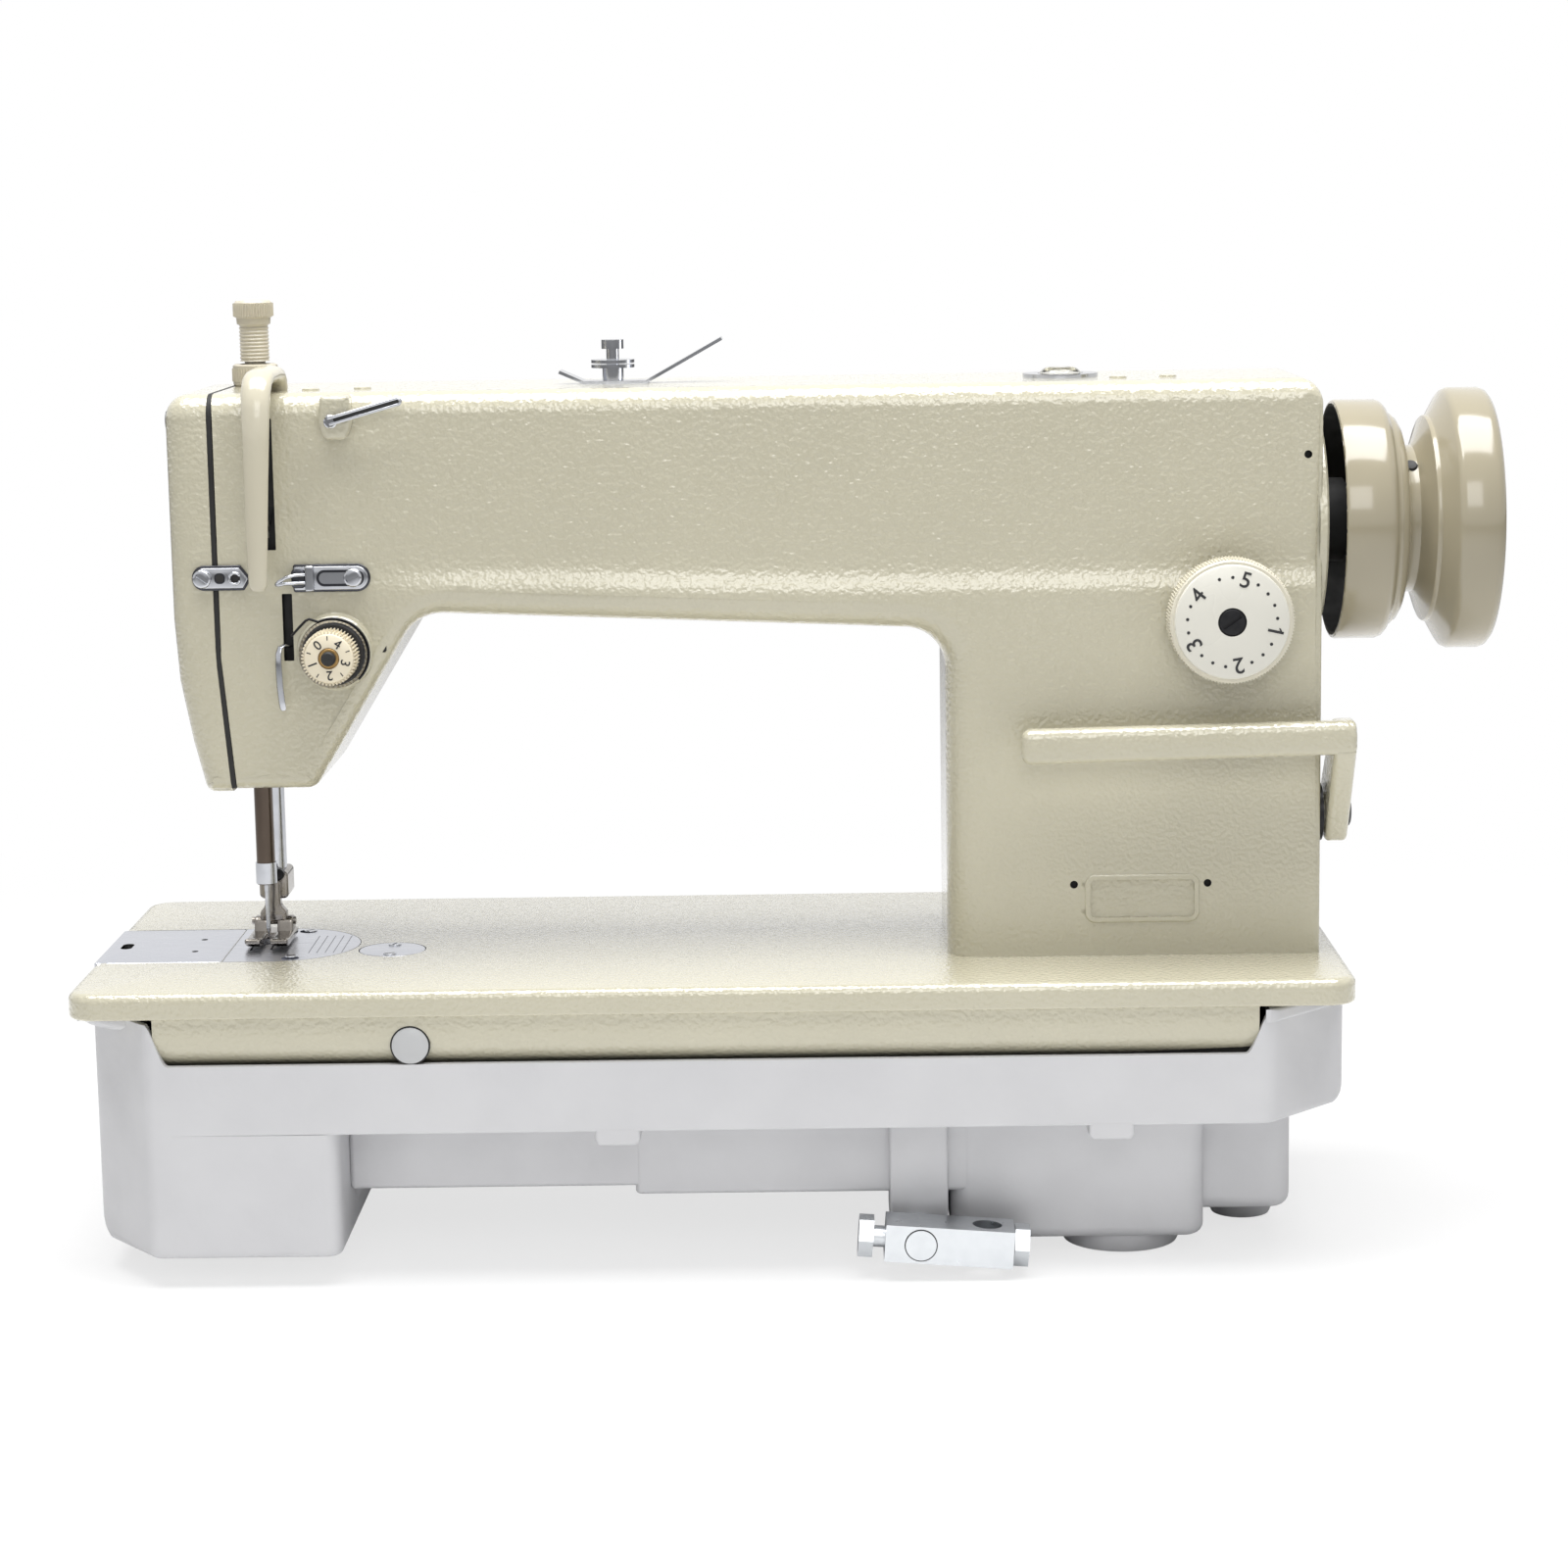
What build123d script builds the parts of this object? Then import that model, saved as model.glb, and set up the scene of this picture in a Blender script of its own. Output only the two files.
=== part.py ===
from build123d import *
import math
import os

# Industrial single-needle lockstitch sewing machine head standing on its oil pan, in millimetres.
#
# X runs along the arm from the needle to the handwheel, Y runs away from the operator, Z is up.
# While it is drawn, the needle drops through the bed's top face at X = Y = Z = 0. At the end the
# whole machine moves so that its box stands centred on the origin.

# Fits
RUN_CLEAR = 0.05
SEAT_CLEAR = 0.02
SIDE_GAP = 0.3
PAST = 1.0

# Bed casting
BED_LENGTH = 476.0
BED_WIDTH = 178.0
BED_LEFT_OF_NEEDLE = 62.6
BED_THICK = 9.8
BED_CORNER_R = 9.0
BED_EDGE_R = 2.5
SKIRT_LEFT_INSET = 35.5
SKIRT_RIGHT_INSET = 40.5
SKIRT_SIDE_INSET = 4.5
SKIRT_DEPTH = 35.0
SKIRT_WALL = 6.0
SKIRT_CORNER_R = 12.0
PLUG_X = 64.6
PLUG_BELOW_TOP = 20.6
PLUG_R = 6.8
PLUG_STEM_R = 5.0
PLUG_HEAD = 1.6
HINGE_LEFT_X = 50.0
HINGE_FROM_RIGHT = 103.4
HINGE_BELOW_TOP = 21.0
HINGE_BORE_R = 4.75
HINGE_BOSS_R = 8.8
HINGE_BOSS_LENGTH = 20.0

# Needle plate, slide plate and round cover let into the bed
PLATE_WIDTH = 61.0
PLATE_CENTRE_Y = -2.5
PLATE_THICK = 2.5
PLATE_LEDGE = 9.0
NEEDLE_PLATE_LEFT = -13.0
NEEDLE_PLATE_RIGHT = 36.0
NEEDLE_HOLE_R = 1.3
FINGER_HOLE_FROM_EDGE = 7.5
FINGER_HOLE_R = 3.0
COVER_X = 50.0
COVER_Y = -14.0
COVER_R = 12.8
COVER_HOLE_R = 6.0
COVER_SCREW_SPREAD = 8.6
PLATE_SCREW_HEAD_R = 3.4
PLATE_SCREW_HEAD = 1.7
PLATE_SCREW_R = 1.8
PLATE_SCREW_LENGTH = 7.5
PLATE_SCREW_ANGLE = 75.0

# Arm casting: arm, head and column in one hollow piece
ARM_TOP = 216.5
ARM_RIGHT_INSET = 8.4
ARM_FRONT = 40.0
ARM_REAR = 44.0
ARM_WALL = 6.0
ARM_TOP_R = 8.0
ARM_EDGE_R = 4.0
COLUMN_LENGTH = 140.5
COLUMN_PROUD = 3.0
COLUMN_CORNER_R = 2.6
LEDGE_Z = 147.0
LEDGE_RAMP = 8.0
LEDGE_START = 84.0
UNDERSIDE_AT_HEAD = 133.5
UNDERSIDE_FALL = 8.8
THROAT_R = 15.0
HEAD_BOTTOM = 68.5
HEAD_FLOOR = 8.0
HEAD_TOE_X = 26.3
HEAD_SLOPE_X = 66.5
HEAD_ARM_R = 12.0
COLUMN_BOSS = 18.0
COLUMN_BOSS_HEIGHT = 30.0
PAD_X = 39.0
PAD_WIDTH = 13.0
PAD_BOTTOM = 200.0
PAD_PROUD = 2.5
SERIAL_FROM_RIGHT = 67.0
SERIAL_Z = 22.0
SERIAL_LENGTH = 39.0
SERIAL_HEIGHT = 14.0
SERIAL_DEPTH = 1.0
RIVET_SPREAD = 50.3
RIVET_RISE = 5.5
RIVET_R = 1.5
RIVET_DEPTH = 3.0
SLOPE_HOLE_X = 52.0
SLOPE_HOLE_R = 2.2

# Arm bolts
BOLT_R = 5.0
BOLT_HEAD_R = 8.6
BOLT_HEAD = 6.0
BOLT_REACH = 22.0

# Face plate and its gasket close the left end of the head
SEAM_X = -7.5
SEAM_FOOT_X = -3.6
SEAM_BEND_Z = 118.0
GASKET_THICK = 1.7
FACE_LEFT = -25.7
FACE_FOOT_X = -14.6
FACE_BEND_Z = 109.0
FACE_BEND_R = 240.0
FACE_TOP_R = 11.0
FACE_WALL = 3.5
FACE_BOSS_R = 6.0
FACE_BOSS_DEPTH = 14.0
FACE_BOSS_INSET = 4.0
FLOOR_BOSS_WALL = 2.5

# Rear cover of the column
REAR_COVER_FROM_COLUMN = 23.5
REAR_COVER_LENGTH = 94.0
REAR_COVER_BOTTOM = 28.0
REAR_COVER_HEIGHT = 150.0
REAR_COVER_THICK = 2.5
REAR_COVER_MARGIN = 9.0
REAR_COVER_R = 8.0

# Cheese-head screws of the covers and thread guides
SCREW_HEAD_R = 3.7
SCREW_HEAD = 2.2
SCREW_R = 2.0
SCREW_LENGTH = 9.0
SCREW_SLOT = 0.9

# Shafts, bushes and gears
MAIN_Z = 160.5
MAIN_R = 7.0
MAIN_BUSH_R = 11.0
MAIN_WEB_LEFT = 50.0
MID_WEB_FROM_COLUMN = 28.5
MAIN_WEB_THICK = 12.0
MAIN_BUSH_PROUD = 2.0
MAIN_BOSS_R = 17.0
MAIN_BOSS_LENGTH = 5.0
UPRIGHT_FROM_RIGHT = 75.0
UPRIGHT_R = 7.0
UPRIGHT_BUSH_R = 11.0
UPRIGHT_WEB_BOTTOM = 96.0
UPRIGHT_WEB_THICK = 12.0
UPRIGHT_BOSS_R = 16.0
UPRIGHT_BOSS_DEPTH = 6.5
HOOK_Z = -33.0
HOOK_SHAFT_R = 6.0
HOOK_BUSH_R = 9.0
HOOK_BLOCK_LEFT = 34.0
HOOK_BLOCK_FROM_UPRIGHT = 62.0
HOOK_BLOCK_LENGTH = 14.0
HOOK_BLOCK_WIDTH = 30.0
HOOK_BLOCK_BELOW = 14.0
TOP_GEAR_TEETH = 24
TOP_GEAR_R = 20.0
PINION_TEETH = 16
PINION_R = 12.0
PINION_RATIO = 2
GEAR_FACE = 0.4
GEAR_TOOTH = 0.30
GEAR_TIP_SHARE = 0.7
GEAR_ROOT_SHARE = 1.6
GEAR_TIP_ANGLE = 2.8
GEAR_ROOT_ANGLE = 3.8
GEAR_HUB_R = 12.0
GEAR_HUB = 8.0
PINION_HUB_R = 9.0
LOWER_GEAR_HUB = 2.6

# Handwheel with its belt groove
WHEEL_GAP = 8.2
WHEEL_CUP_R = 45.5
WHEEL_CUP_LENGTH = 17.7
WHEEL_CUP_WALL = 4.0
WHEEL_CUP_DEPTH = 16.0
WHEEL_BEVEL = 5.7
WHEEL_GROOVE_R = 28.0
WHEEL_GROOVE_WIDTH = 7.6
WHEEL_FLANK = 10.5
WHEEL_RIM_R = 49.6
WHEEL_RIM_WIDTH = 13.5
WHEEL_DOME = 4.0
WHEEL_DISH_R = 36.0
WHEEL_DISH = 3.5
WHEEL_HUB_R = 14.0
WHEEL_CORNER_R = 3.0
WHEEL_LIP_R = 2.0
WHEEL_GROOVE_CORNER_R = 1.0

# Needle bar, its drive and the needle
NEEDLE_BAR_R = 3.6
NEEDLE_BAR_END = 24.0
NEEDLE_BAR_TOP = 188.0
NEEDLE_DOWN = 11.0
NEEDLE_UP = 19.8
BAR_SHELF_BOTTOM = 160.0
BAR_SHELF_THICK = 12.0
BAR_SHELF_RIGHT = 8.0
BAR_BUSH_R = 6.0
BUSH_FLANGE_R = 7.4
BUSH_FLANGE = 4.0
BUSH_FLANGE_DROP = 7.5
CLAMP_R = 4.1
CLAMP_BOTTOM = 24.4
CLAMP_TOP = 32.6
NEEDLE_R = 0.8
NEEDLE_SHANK_R = 1.0
NEEDLE_SHANK_LENGTH = 12.0
NEEDLE_POINT = 3.2
NEEDLE_TAPER = 3.0
COLLAR_R = 8.0
COLLAR_HALF = 6.0
STUD_R = 4.0
CRANK_LEFT = 19.0
CRANK_THICK = 10.0
CRANK_R = 21.0
CRANK_THROW = 15.4
LINK_THICK = 4.0
LINK_GAP = 0.4
LINK_EYE_R = 6.5
LINK_LENGTH = 45.0
LINK_WIDTH = 8.0

# Take-up lever and the guard in front of it
TAKE_UP_X = 12.0
TAKE_UP_THICK = 3.0
TAKE_UP_PIVOT_Y = 8.0
TAKE_UP_PIVOT_Z = 190.0
TAKE_UP_LENGTH = 60.0
TAKE_UP_REST = 22.5
TAKE_UP_HUB_R = 7.0
TAKE_UP_SHAFT_R = 4.0
TAKE_UP_WIDTH = 6.0
TAKE_UP_EYE_R = 3.4
TAKE_UP_HOLE_R = 1.2
TAKE_UP_SLOT_WIDTH = 5.4
TAKE_UP_SLOT_BOTTOM = 158.4
TAKE_UP_SLOT_TOP = 211.0
GUARD_FRONT = 63.0
GUARD_THICK = 5.0
GUARD_TOP = 226.0
GUARD_BOTTOM = 144.6
GUARD_ROOT_NEAR = 12.0
GUARD_ROOT_LENGTH = 20.0
GUARD_WIDTH_TOP = 10.4
GUARD_WIDTH_BOTTOM = 6.6
GUARD_BEND_R = 9.0
GUARD_EDGE_R = 2.0
GUARD_TIP_SHARE = 0.9

# Presser bar, foot, spring and pressure screw
PRESSER_Y = 22.0
PRESSER_R = 4.75
PRESSER_BOTTOM = 15.0
PRESSER_TOP = 150.0
PRESSER_BUSH_R = 7.5
SPRING_WIRE = 1.6
SPRING_R = 4.4
SPRING_TURNS = 9
SPRING_HOLE_R = 7.0
SHANK_WIDTH = 6.4
SHANK_TOP = 27.0
SHANK_BOTTOM = 7.0
SHANK_FRONT = 7.5
SHANK_THICK = 4.0
SHANK_WALL = 2.0
SOLE_WIDTH = 17.0
SOLE_FRONT = 13.0
SOLE_BACK = 17.0
SOLE_BOTTOM = 1.2
SOLE_THICK = 2.6
SOLE_SLOT = 4.4
SOLE_SLOT_BACK = 3.0
SOLE_EAR_HEIGHT = 9.8
SOLE_EAR_THICK = 3.0
SOLE_PIN_R = 1.4
SOLE_PIN_Z = 8.0
PRESSURE_BODY_R = 5.7
PRESSURE_BODY_BOTTOM = 206.0
PRESSURE_HEAD_R = 7.8
PRESSURE_HEAD = 6.4
PRESSURE_COLLAR_R = 5.2
PRESSURE_COLLAR = 3.0
PRESSURE_TOP = 249.3
LOCK_NUT_R = 9.0
LOCK_NUT_HEIGHT = 8.4
LIFTER_X = 10.0
LIFTER_Z = 95.0
LIFTER_SHAFT_R = 4.0
LIFTER_BOSS_R = 9.0
LIFTER_BOSS = 4.0
LIFTER_THICK = 7.0
LIFTER_ARM_X = 3.0
LIFTER_ARM_DROP = 30.0
LIFTER_HUB_R = 8.5
LIFTER_TIP_R = 6.0

# Feed dog on its bar
FEED_ROW_IN = 2.5
FEED_ROW_WIDTH = 2.8
FEED_ROW_FRONT = 9.0
FEED_ROW_BACK = 16.0
FEED_BELOW_PLATE = 0.3
FEED_ROW_DEPTH = 7.0
FEED_BAR_HALF = 6.5
FEED_BAR_TOP = -10.4
FEED_BAR_THICK = 6.0
FEED_BAR_START = 10.0
FEED_BAR_END = 62.0
FEED_STROKE = 2.5
FEED_SLOT_SIDE = 0.5
FEED_SLOT_END = 0.8
FEED_GUIDE_START = 34.0
FEED_GUIDE_LENGTH = 18.0
FEED_GUIDE_WALL = 6.0

# Rotary hook, bobbin case and bobbin
HOOK_R = 17.0
HOOK_WALL = 3.0
HOOK_OPEN_X = -14.0
HOOK_FLOOR_X = -1.0
HOOK_BACK_X = 3.0
CASE_WALL = 1.6
CASE_PROUD = 1.0
CASE_STUD_R = 3.0
CASE_HOLDER_THICK = 3.0
CASE_HOLDER_START = 6.0
CASE_HOLDER_WIDTH = 20.0
CASE_HOLDER_BELOW = 5.0
BOBBIN_R = 10.3
BOBBIN_CORE_R = 5.0
BOBBIN_FLANGE = 1.0
BOBBIN_GAP = 0.4

# Thread guides on the head
GUIDE_THICK = 1.2
LEFT_GUIDE_X = -16.6
LEFT_GUIDE_LENGTH = 21.6
GUIDE_Z = 148.2
GUIDE_HEIGHT = 9.6
LEFT_GUIDE_SCREW = 4.4
RIGHT_GUIDE_X = 22.0
RIGHT_GUIDE_LENGTH = 27.6
RIGHT_GUIDE_SCREW = 6.2
GUIDE_EYE_R = 1.6
GUIDE_SLOT_LENGTH = 10.8
GUIDE_SLOT_WIDTH = 4.4
GUIDE_SLOT_ROUND = 0.95
HOOK_SLOT_X = 18.2
HOOK_SLOT_WIDTH = 4.0
HOOK_SLOT_BOTTOM = 116.7
HOOK_SLOT_TOP = 142.0
THREAD_HOOK_R = 1.3
THREAD_HOOK_REACH = 6.0
THREAD_HOOK_Z = 125.0
THREAD_HOOK_END = 99.0
THREAD_HOOK_LEAN = 2.2
THREAD_HOOK_BASE = 3.0
THREAD_HOOK_BEND_R = 3.0
THREAD_PIN_R = 1.3
THREAD_PIN_LENGTH = 27.0
THREAD_PIN_RISE = 7.6
THREAD_PIN_SPREAD = 3.4
THREAD_PIN_OUT = 6.0
THREAD_PIN_Z = 205.5

# Top thread guide and pre-tension post
TOP_GUIDE_X = 140.0
TOP_GUIDE_THICK = 1.2
TOP_GUIDE_WIDTH = 12.0
TOP_GUIDE_BACK = 11.0
TOP_GUIDE_FRONT = 13.0
TOP_GUIDE_TAB = 9.5
TOP_GUIDE_TAB_RISE = 4.2
TOP_GUIDE_ARM = 29.0
TOP_GUIDE_ARM_RISE = 16.0
POST_R = 2.4
POST_TOP = 233.0
POST_HEAD_R = 4.2
POST_HEAD = 3.4
POST_SPACER_R = 4.0
POST_SPACER = 4.8
POST_DISC_R = 8.2
POST_DISC = 1.2
POST_DISC_GAP = 0.6

# Oil sight window on the arm
WINDOW_FROM_RIGHT = 94.7
WINDOW_RING_R = 14.3
WINDOW_RING = 1.4
WINDOW_R = 8.5
WINDOW_WALL = 1.4
WINDOW_RISE = 6.6

# Tension assembly
TENSION_X = 36.0
TENSION_Z = 120.0
TENSION_BOSS_R = 13.0
TENSION_BOSS = 5.5
TENSION_STUD_R = 3.0
TENSION_STUD_REACH = 23.0
TENSION_STUD_INSIDE = 8.0
TENSION_RING = 1.6
TENSION_DISC_R = 12.6
TENSION_DISC = 1.1
TENSION_DISC_GAP = 0.5
TENSION_DIAL_R = 10.3
TENSION_DIAL_BACK = 12.5
TENSION_DIAL = 8.5
CHECK_WIRE_R = 0.55
CHECK_GAP = 0.5
CHECK_OUT = 3.0
CHECK_START = 10.0
CHECK_SWEEP = 135.0
CHECK_TAIL = 5.0
CHECK_TAIL_ANGLE = 57.0

# Stitch length dial
DIAL_FROM_RIGHT = 35.5
DIAL_Z = 128.6
DIAL_R = 23.2
DIAL_THICK = 14.5
DIAL_HUB_R = 9.0
DIAL_HUB = 2.0
DIAL_SHAFT_R = 5.0
DIAL_SHAFT_INSIDE = 16.0

# Reverse lever
LEVER_LENGTH = 123.0
LEVER_PAST_ARM = 11.0
LEVER_FRONT = 61.0
LEVER_THICK = 6.0
LEVER_TOP = 91.2
LEVER_HEIGHT = 12.6
LEVER_SIDE_GAP = 2.2
LEVER_SIDE_THICK = 8.0
LEVER_PIVOT_Y = -28.0
LEVER_PIVOT_Z = 52.0
LEVER_HUB_R = 8.0
LEVER_SHAFT_R = 5.0
LEVER_SHAFT_INSIDE = 30.0
LEVER_CORNER_R = 2.5

# Oil pan
PAN_LEFT_INSET = 1.8
PAN_RIGHT_INSET = 4.6
PAN_SIDE_INSET = 0.6
PAN_WALL = 3.2
PAN_FLOOR = 4.0
PAN_END_WALL = 9.0
CUSHION_THICK = 1.2
CUSHION_WIDTH = 8.0
PAN_RIM = -27.6
PAN_FLANGE_BOTTOM = -54.0
PAN_FLARE = 7.6
PAN_FLARE_Z = -17.5
PAN_POST_GAP_LEFT = 3.4
PAN_POST_GAP_RIGHT = 6.1
PAN_POST_SLANT = 4.0
PAN_POST_R = 5.0
PAN_RIGHT_R = 9.0
PAN_FLARE_R = 1.0
LEFT_SUMP_RIGHT = 37.0
LEFT_SUMP_BOTTOM = -103.0
LEFT_SUMP_R = 13.0
TRAY_SIDE_INSET = 26.4
TRAY_BOTTOM = -85.0
RIGHT_SUMP_LENGTH = 96.0
RIGHT_SUMP_FROM_END = 48.8
RIGHT_SUMP_BOTTOM = -105.0
RIGHT_BLOCK_LENGTH = 34.0
RIGHT_BLOCK_FROM_FRONT = 42.0
RIGHT_BLOCK_BOTTOM = -98.0
PAN_R = 7.0
FOOT_BOTTOM = -112.0
PILLAR_R = 17.0
PILLAR_X = 29.0
PILLAR_FROM_SIDE = 48.4
DRAIN_R = 22.5
DRAIN_FROM_RIGHT = 30.0
DRAIN_FROM_FRONT = 26.0
BACK_FOOT_R = 10.0
BACK_FOOT_PAST_SUMP = 17.0
BACK_FOOT_FROM_REAR = 32.0
LUG_LEFT_X = 140.3
LUG_SPREAD = 182.5
LUG_LENGTH = 17.0
LUG_DROP = 5.0
LUG_DEPTH = 8.0

# Knee lifter
KNEE_FROM_SUMP = 12.0
KNEE_Z = -98.5
KNEE_SHAFT_R = 5.7
KNEE_PROUD = 1.0
KNEE_SHAFT_PAST = 4.0
KNEE_BOSS_WIDTH = 22.0
KNEE_BOSS_PROUD = 4.0
KNEE_BOSS_LENGTH = 36.0
KNEE_BLOCK_LEFT = 13.3
KNEE_BLOCK_RIGHT = 34.6
KNEE_BLOCK_HEIGHT = 14.0
KNEE_BLOCK_DEPTH = 18.0
KNEE_TILT = 4.3
KNEE_ROD_R = 5.5
KNEE_ROD_FROM_SHAFT = 24.5
KNEE_BOLT_R = 4.0
KNEE_BOLT_HEAD_R = 8.2
KNEE_BOLT_HEAD = 5.5
KNEE_BOLT_PROUD = 4.4

AXES = {"X": (1, 0, 0), "Y": (0, 1, 0), "Z": (0, 0, 1)}
SPIN = {"X": Rot(0, 90, 0), "Y": Rot(-90, 0, 0), "Z": Rot(0, 0, 0)}

# Places that several pieces share
bed_left = -BED_LEFT_OF_NEEDLE
bed_right = bed_left + BED_LENGTH
bed_front = -BED_WIDTH / 2
bed_rear = BED_WIDTH / 2
slab_bottom = -BED_THICK
skirt_left = bed_left + SKIRT_LEFT_INSET
skirt_right = bed_right - SKIRT_RIGHT_INSET
skirt_front = bed_front + SKIRT_SIDE_INSET
skirt_rear = bed_rear - SKIRT_SIDE_INSET
arm_right = bed_right - ARM_RIGHT_INSET
column_left = arm_right - COLUMN_LENGTH
arm_front = -ARM_FRONT
arm_rear = ARM_REAR
column_front = arm_front - COLUMN_PROUD
inner_front = arm_front + ARM_WALL
inner_rear = arm_rear - ARM_WALL
underside_at_column = UNDERSIDE_AT_HEAD - UNDERSIDE_FALL
serial_x = arm_right - SERIAL_FROM_RIGHT
rear_cover_left = column_left + REAR_COVER_FROM_COLUMN
main_web_mid = column_left - MID_WEB_FROM_COLUMN
upright_x = arm_right - UPRIGHT_FROM_RIGHT
hook_block_right = upright_x - HOOK_BLOCK_FROM_UPRIGHT
window_x = arm_right - WINDOW_FROM_RIGHT
dial_x = arm_right - DIAL_FROM_RIGHT
lever_right = arm_right + LEVER_PAST_ARM
lever_left = lever_right - LEVER_LENGTH
hinge_spots = (HINGE_LEFT_X, bed_right - HINGE_FROM_RIGHT)
pan_left = bed_left + PAN_LEFT_INSET
pan_right = bed_right - PAN_RIGHT_INSET
pan_half_width = BED_WIDTH / 2 - PAN_SIDE_INSET
pan_post_left = skirt_left - PAN_POST_GAP_LEFT
pan_post_right = skirt_right + PAN_POST_GAP_RIGHT
tray_half_width = pan_half_width - TRAY_SIDE_INSET
right_sump_right = pan_right - RIGHT_SUMP_FROM_END
right_sump_left = right_sump_right - RIGHT_SUMP_LENGTH
right_block_right = right_sump_right + RIGHT_BLOCK_LENGTH
right_block_front = RIGHT_BLOCK_FROM_FRONT - tray_half_width
pillar_y = pan_half_width - PILLAR_FROM_SIDE
drain_x = right_sump_right - DRAIN_FROM_RIGHT
drain_y = DRAIN_FROM_FRONT - tray_half_width
back_foot_x = right_sump_right + BACK_FOOT_PAST_SUMP
back_foot_y = tray_half_width - BACK_FOOT_FROM_REAR
lug_spots = (LUG_LEFT_X, LUG_LEFT_X + LUG_SPREAD)
knee_x = right_sump_left - KNEE_FROM_SUMP
knee_front = bed_front - KNEE_PROUD
knee_boss_front = -tray_half_width - KNEE_BOSS_PROUD
knee_boss_back = knee_boss_front + KNEE_BOSS_LENGTH
knee_shaft_back = knee_boss_back + KNEE_SHAFT_PAST
plate_r = PLATE_WIDTH / 2
plate_end_x = NEEDLE_PLATE_RIGHT - plate_r
plate_front = PLATE_CENTRE_Y - plate_r
plate_rear = PLATE_CENTRE_Y + plate_r
nodes = {}


def place(axis, u, v, w):
    """Puts a point of a section, and its height along the axis, into space."""
    if axis == "X":
        return (w, u, v)
    if axis == "Y":
        return (u, w, v)
    return (u, v, w)


def prism(axis, points, low, high, radii=0.0):
    """Extrudes an outline along an axis, with one radius for all corners or one for each."""
    corners = [place(axis, u, v, low) for u, v in points]
    radius = list(radii) if isinstance(radii, (list, tuple)) else [radii] * len(corners)
    outline = FilletPolyline(*corners, radius=radius, close=True)
    return extrude(make_face(outline), amount=high - low, dir=AXES[axis])


def block(x0, x1, y0, y1, z0, z1):
    """A box between two corners."""
    centre = Pos((x0 + x1) / 2, (y0 + y1) / 2, (z0 + z1) / 2)
    return centre * Box(x1 - x0, y1 - y0, z1 - z0)


def bar(axis, radius, low, high, u, v):
    """A round bar along an axis, between two heights."""
    base = (Align.CENTER, Align.CENTER, Align.MIN)
    return Pos(*place(axis, u, v, low)) * SPIN[axis] * Cylinder(radius, high - low, align=base)


def tube(axis, outer, inner, low, high, u, v):
    """A round bar with a hole through it."""
    return bar(axis, outer, low, high, u, v) - bar(axis, inner, low, high, u, v)


def hexagon(axis, radius, low, high, u, v):
    """A hexagonal bar, measured over its corners."""
    points = []
    for corner in range(6):
        angle = math.radians(60 * corner)
        points.append((u + radius * math.cos(angle), v + radius * math.sin(angle)))
    return prism(axis, points, low, high)


def wire(points, radius, bend):
    """A round wire along straight runs with rounded corners."""
    path = FilletPolyline(*points, radius=bend)
    start = Plane(origin=path @ 0, z_dir=path % 0)
    return sweep(start * Circle(radius), path=path)


def inset(points, distances):
    """Moves each side of an outline, drawn counterclockwise, inwards by its own distance."""
    count = len(points)
    sides = []
    for index, distance in enumerate(distances):
        (u0, v0), (u1, v1) = points[index], points[(index + 1) % count]
        length = math.hypot(u1 - u0, v1 - v0)
        du, dv = (u1 - u0) / length, (v1 - v0) / length
        sides.append((u0 - dv * distance, v0 + du * distance, du, dv))
    corners = []
    for index in range(count):
        u0, v0, du0, dv0 = sides[index - 1]
        u1, v1, du1, dv1 = sides[index]
        along = ((u1 - u0) * dv1 - (v1 - v0) * du1) / (du0 * dv1 - dv0 * du1)
        corners.append((u0 + along * du0, v0 + along * dv0))
    return corners


def band(points, thickness):
    """The outline of a strip that follows a path, with its thickness on the path's left."""
    offset = []
    for index, (u, v) in enumerate(points):
        before = points[max(index - 1, 0)]
        after = points[min(index + 1, len(points) - 1)]
        length = math.hypot(after[0] - before[0], after[1] - before[1])
        shift_u = -(after[1] - before[1]) / length * thickness
        shift_v = (after[0] - before[0]) / length * thickness
        offset.append((u + shift_u, v + shift_v))
    return list(points) + offset[::-1]


def cheese_screw(origin, outwards, length=SCREW_LENGTH):
    """A slotted cheese-head screw whose head stands on a seat and points outwards."""
    low = (Align.CENTER, Align.CENTER, Align.MIN)
    high = (Align.CENTER, Align.CENTER, Align.MAX)
    head = Cylinder(SCREW_HEAD_R, SCREW_HEAD, align=low)
    slot = Pos(0, 0, SCREW_HEAD) * Box(3 * SCREW_HEAD_R, SCREW_SLOT, SCREW_HEAD)
    screw = head - slot + Cylinder(SCREW_R, length, align=high)
    return Plane(origin=origin, z_dir=outwards) * screw


def edges_on(shape, axis, level, near=0.01):
    """The edges that lie in one plane across an axis."""
    found = []
    for edge in shape.edges():
        box = edge.bounding_box()
        low = getattr(box.min, axis)
        high = getattr(box.max, axis)
        if abs(low - level) < near and abs(high - level) < near:
            found.append(edge)
    return found


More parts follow.
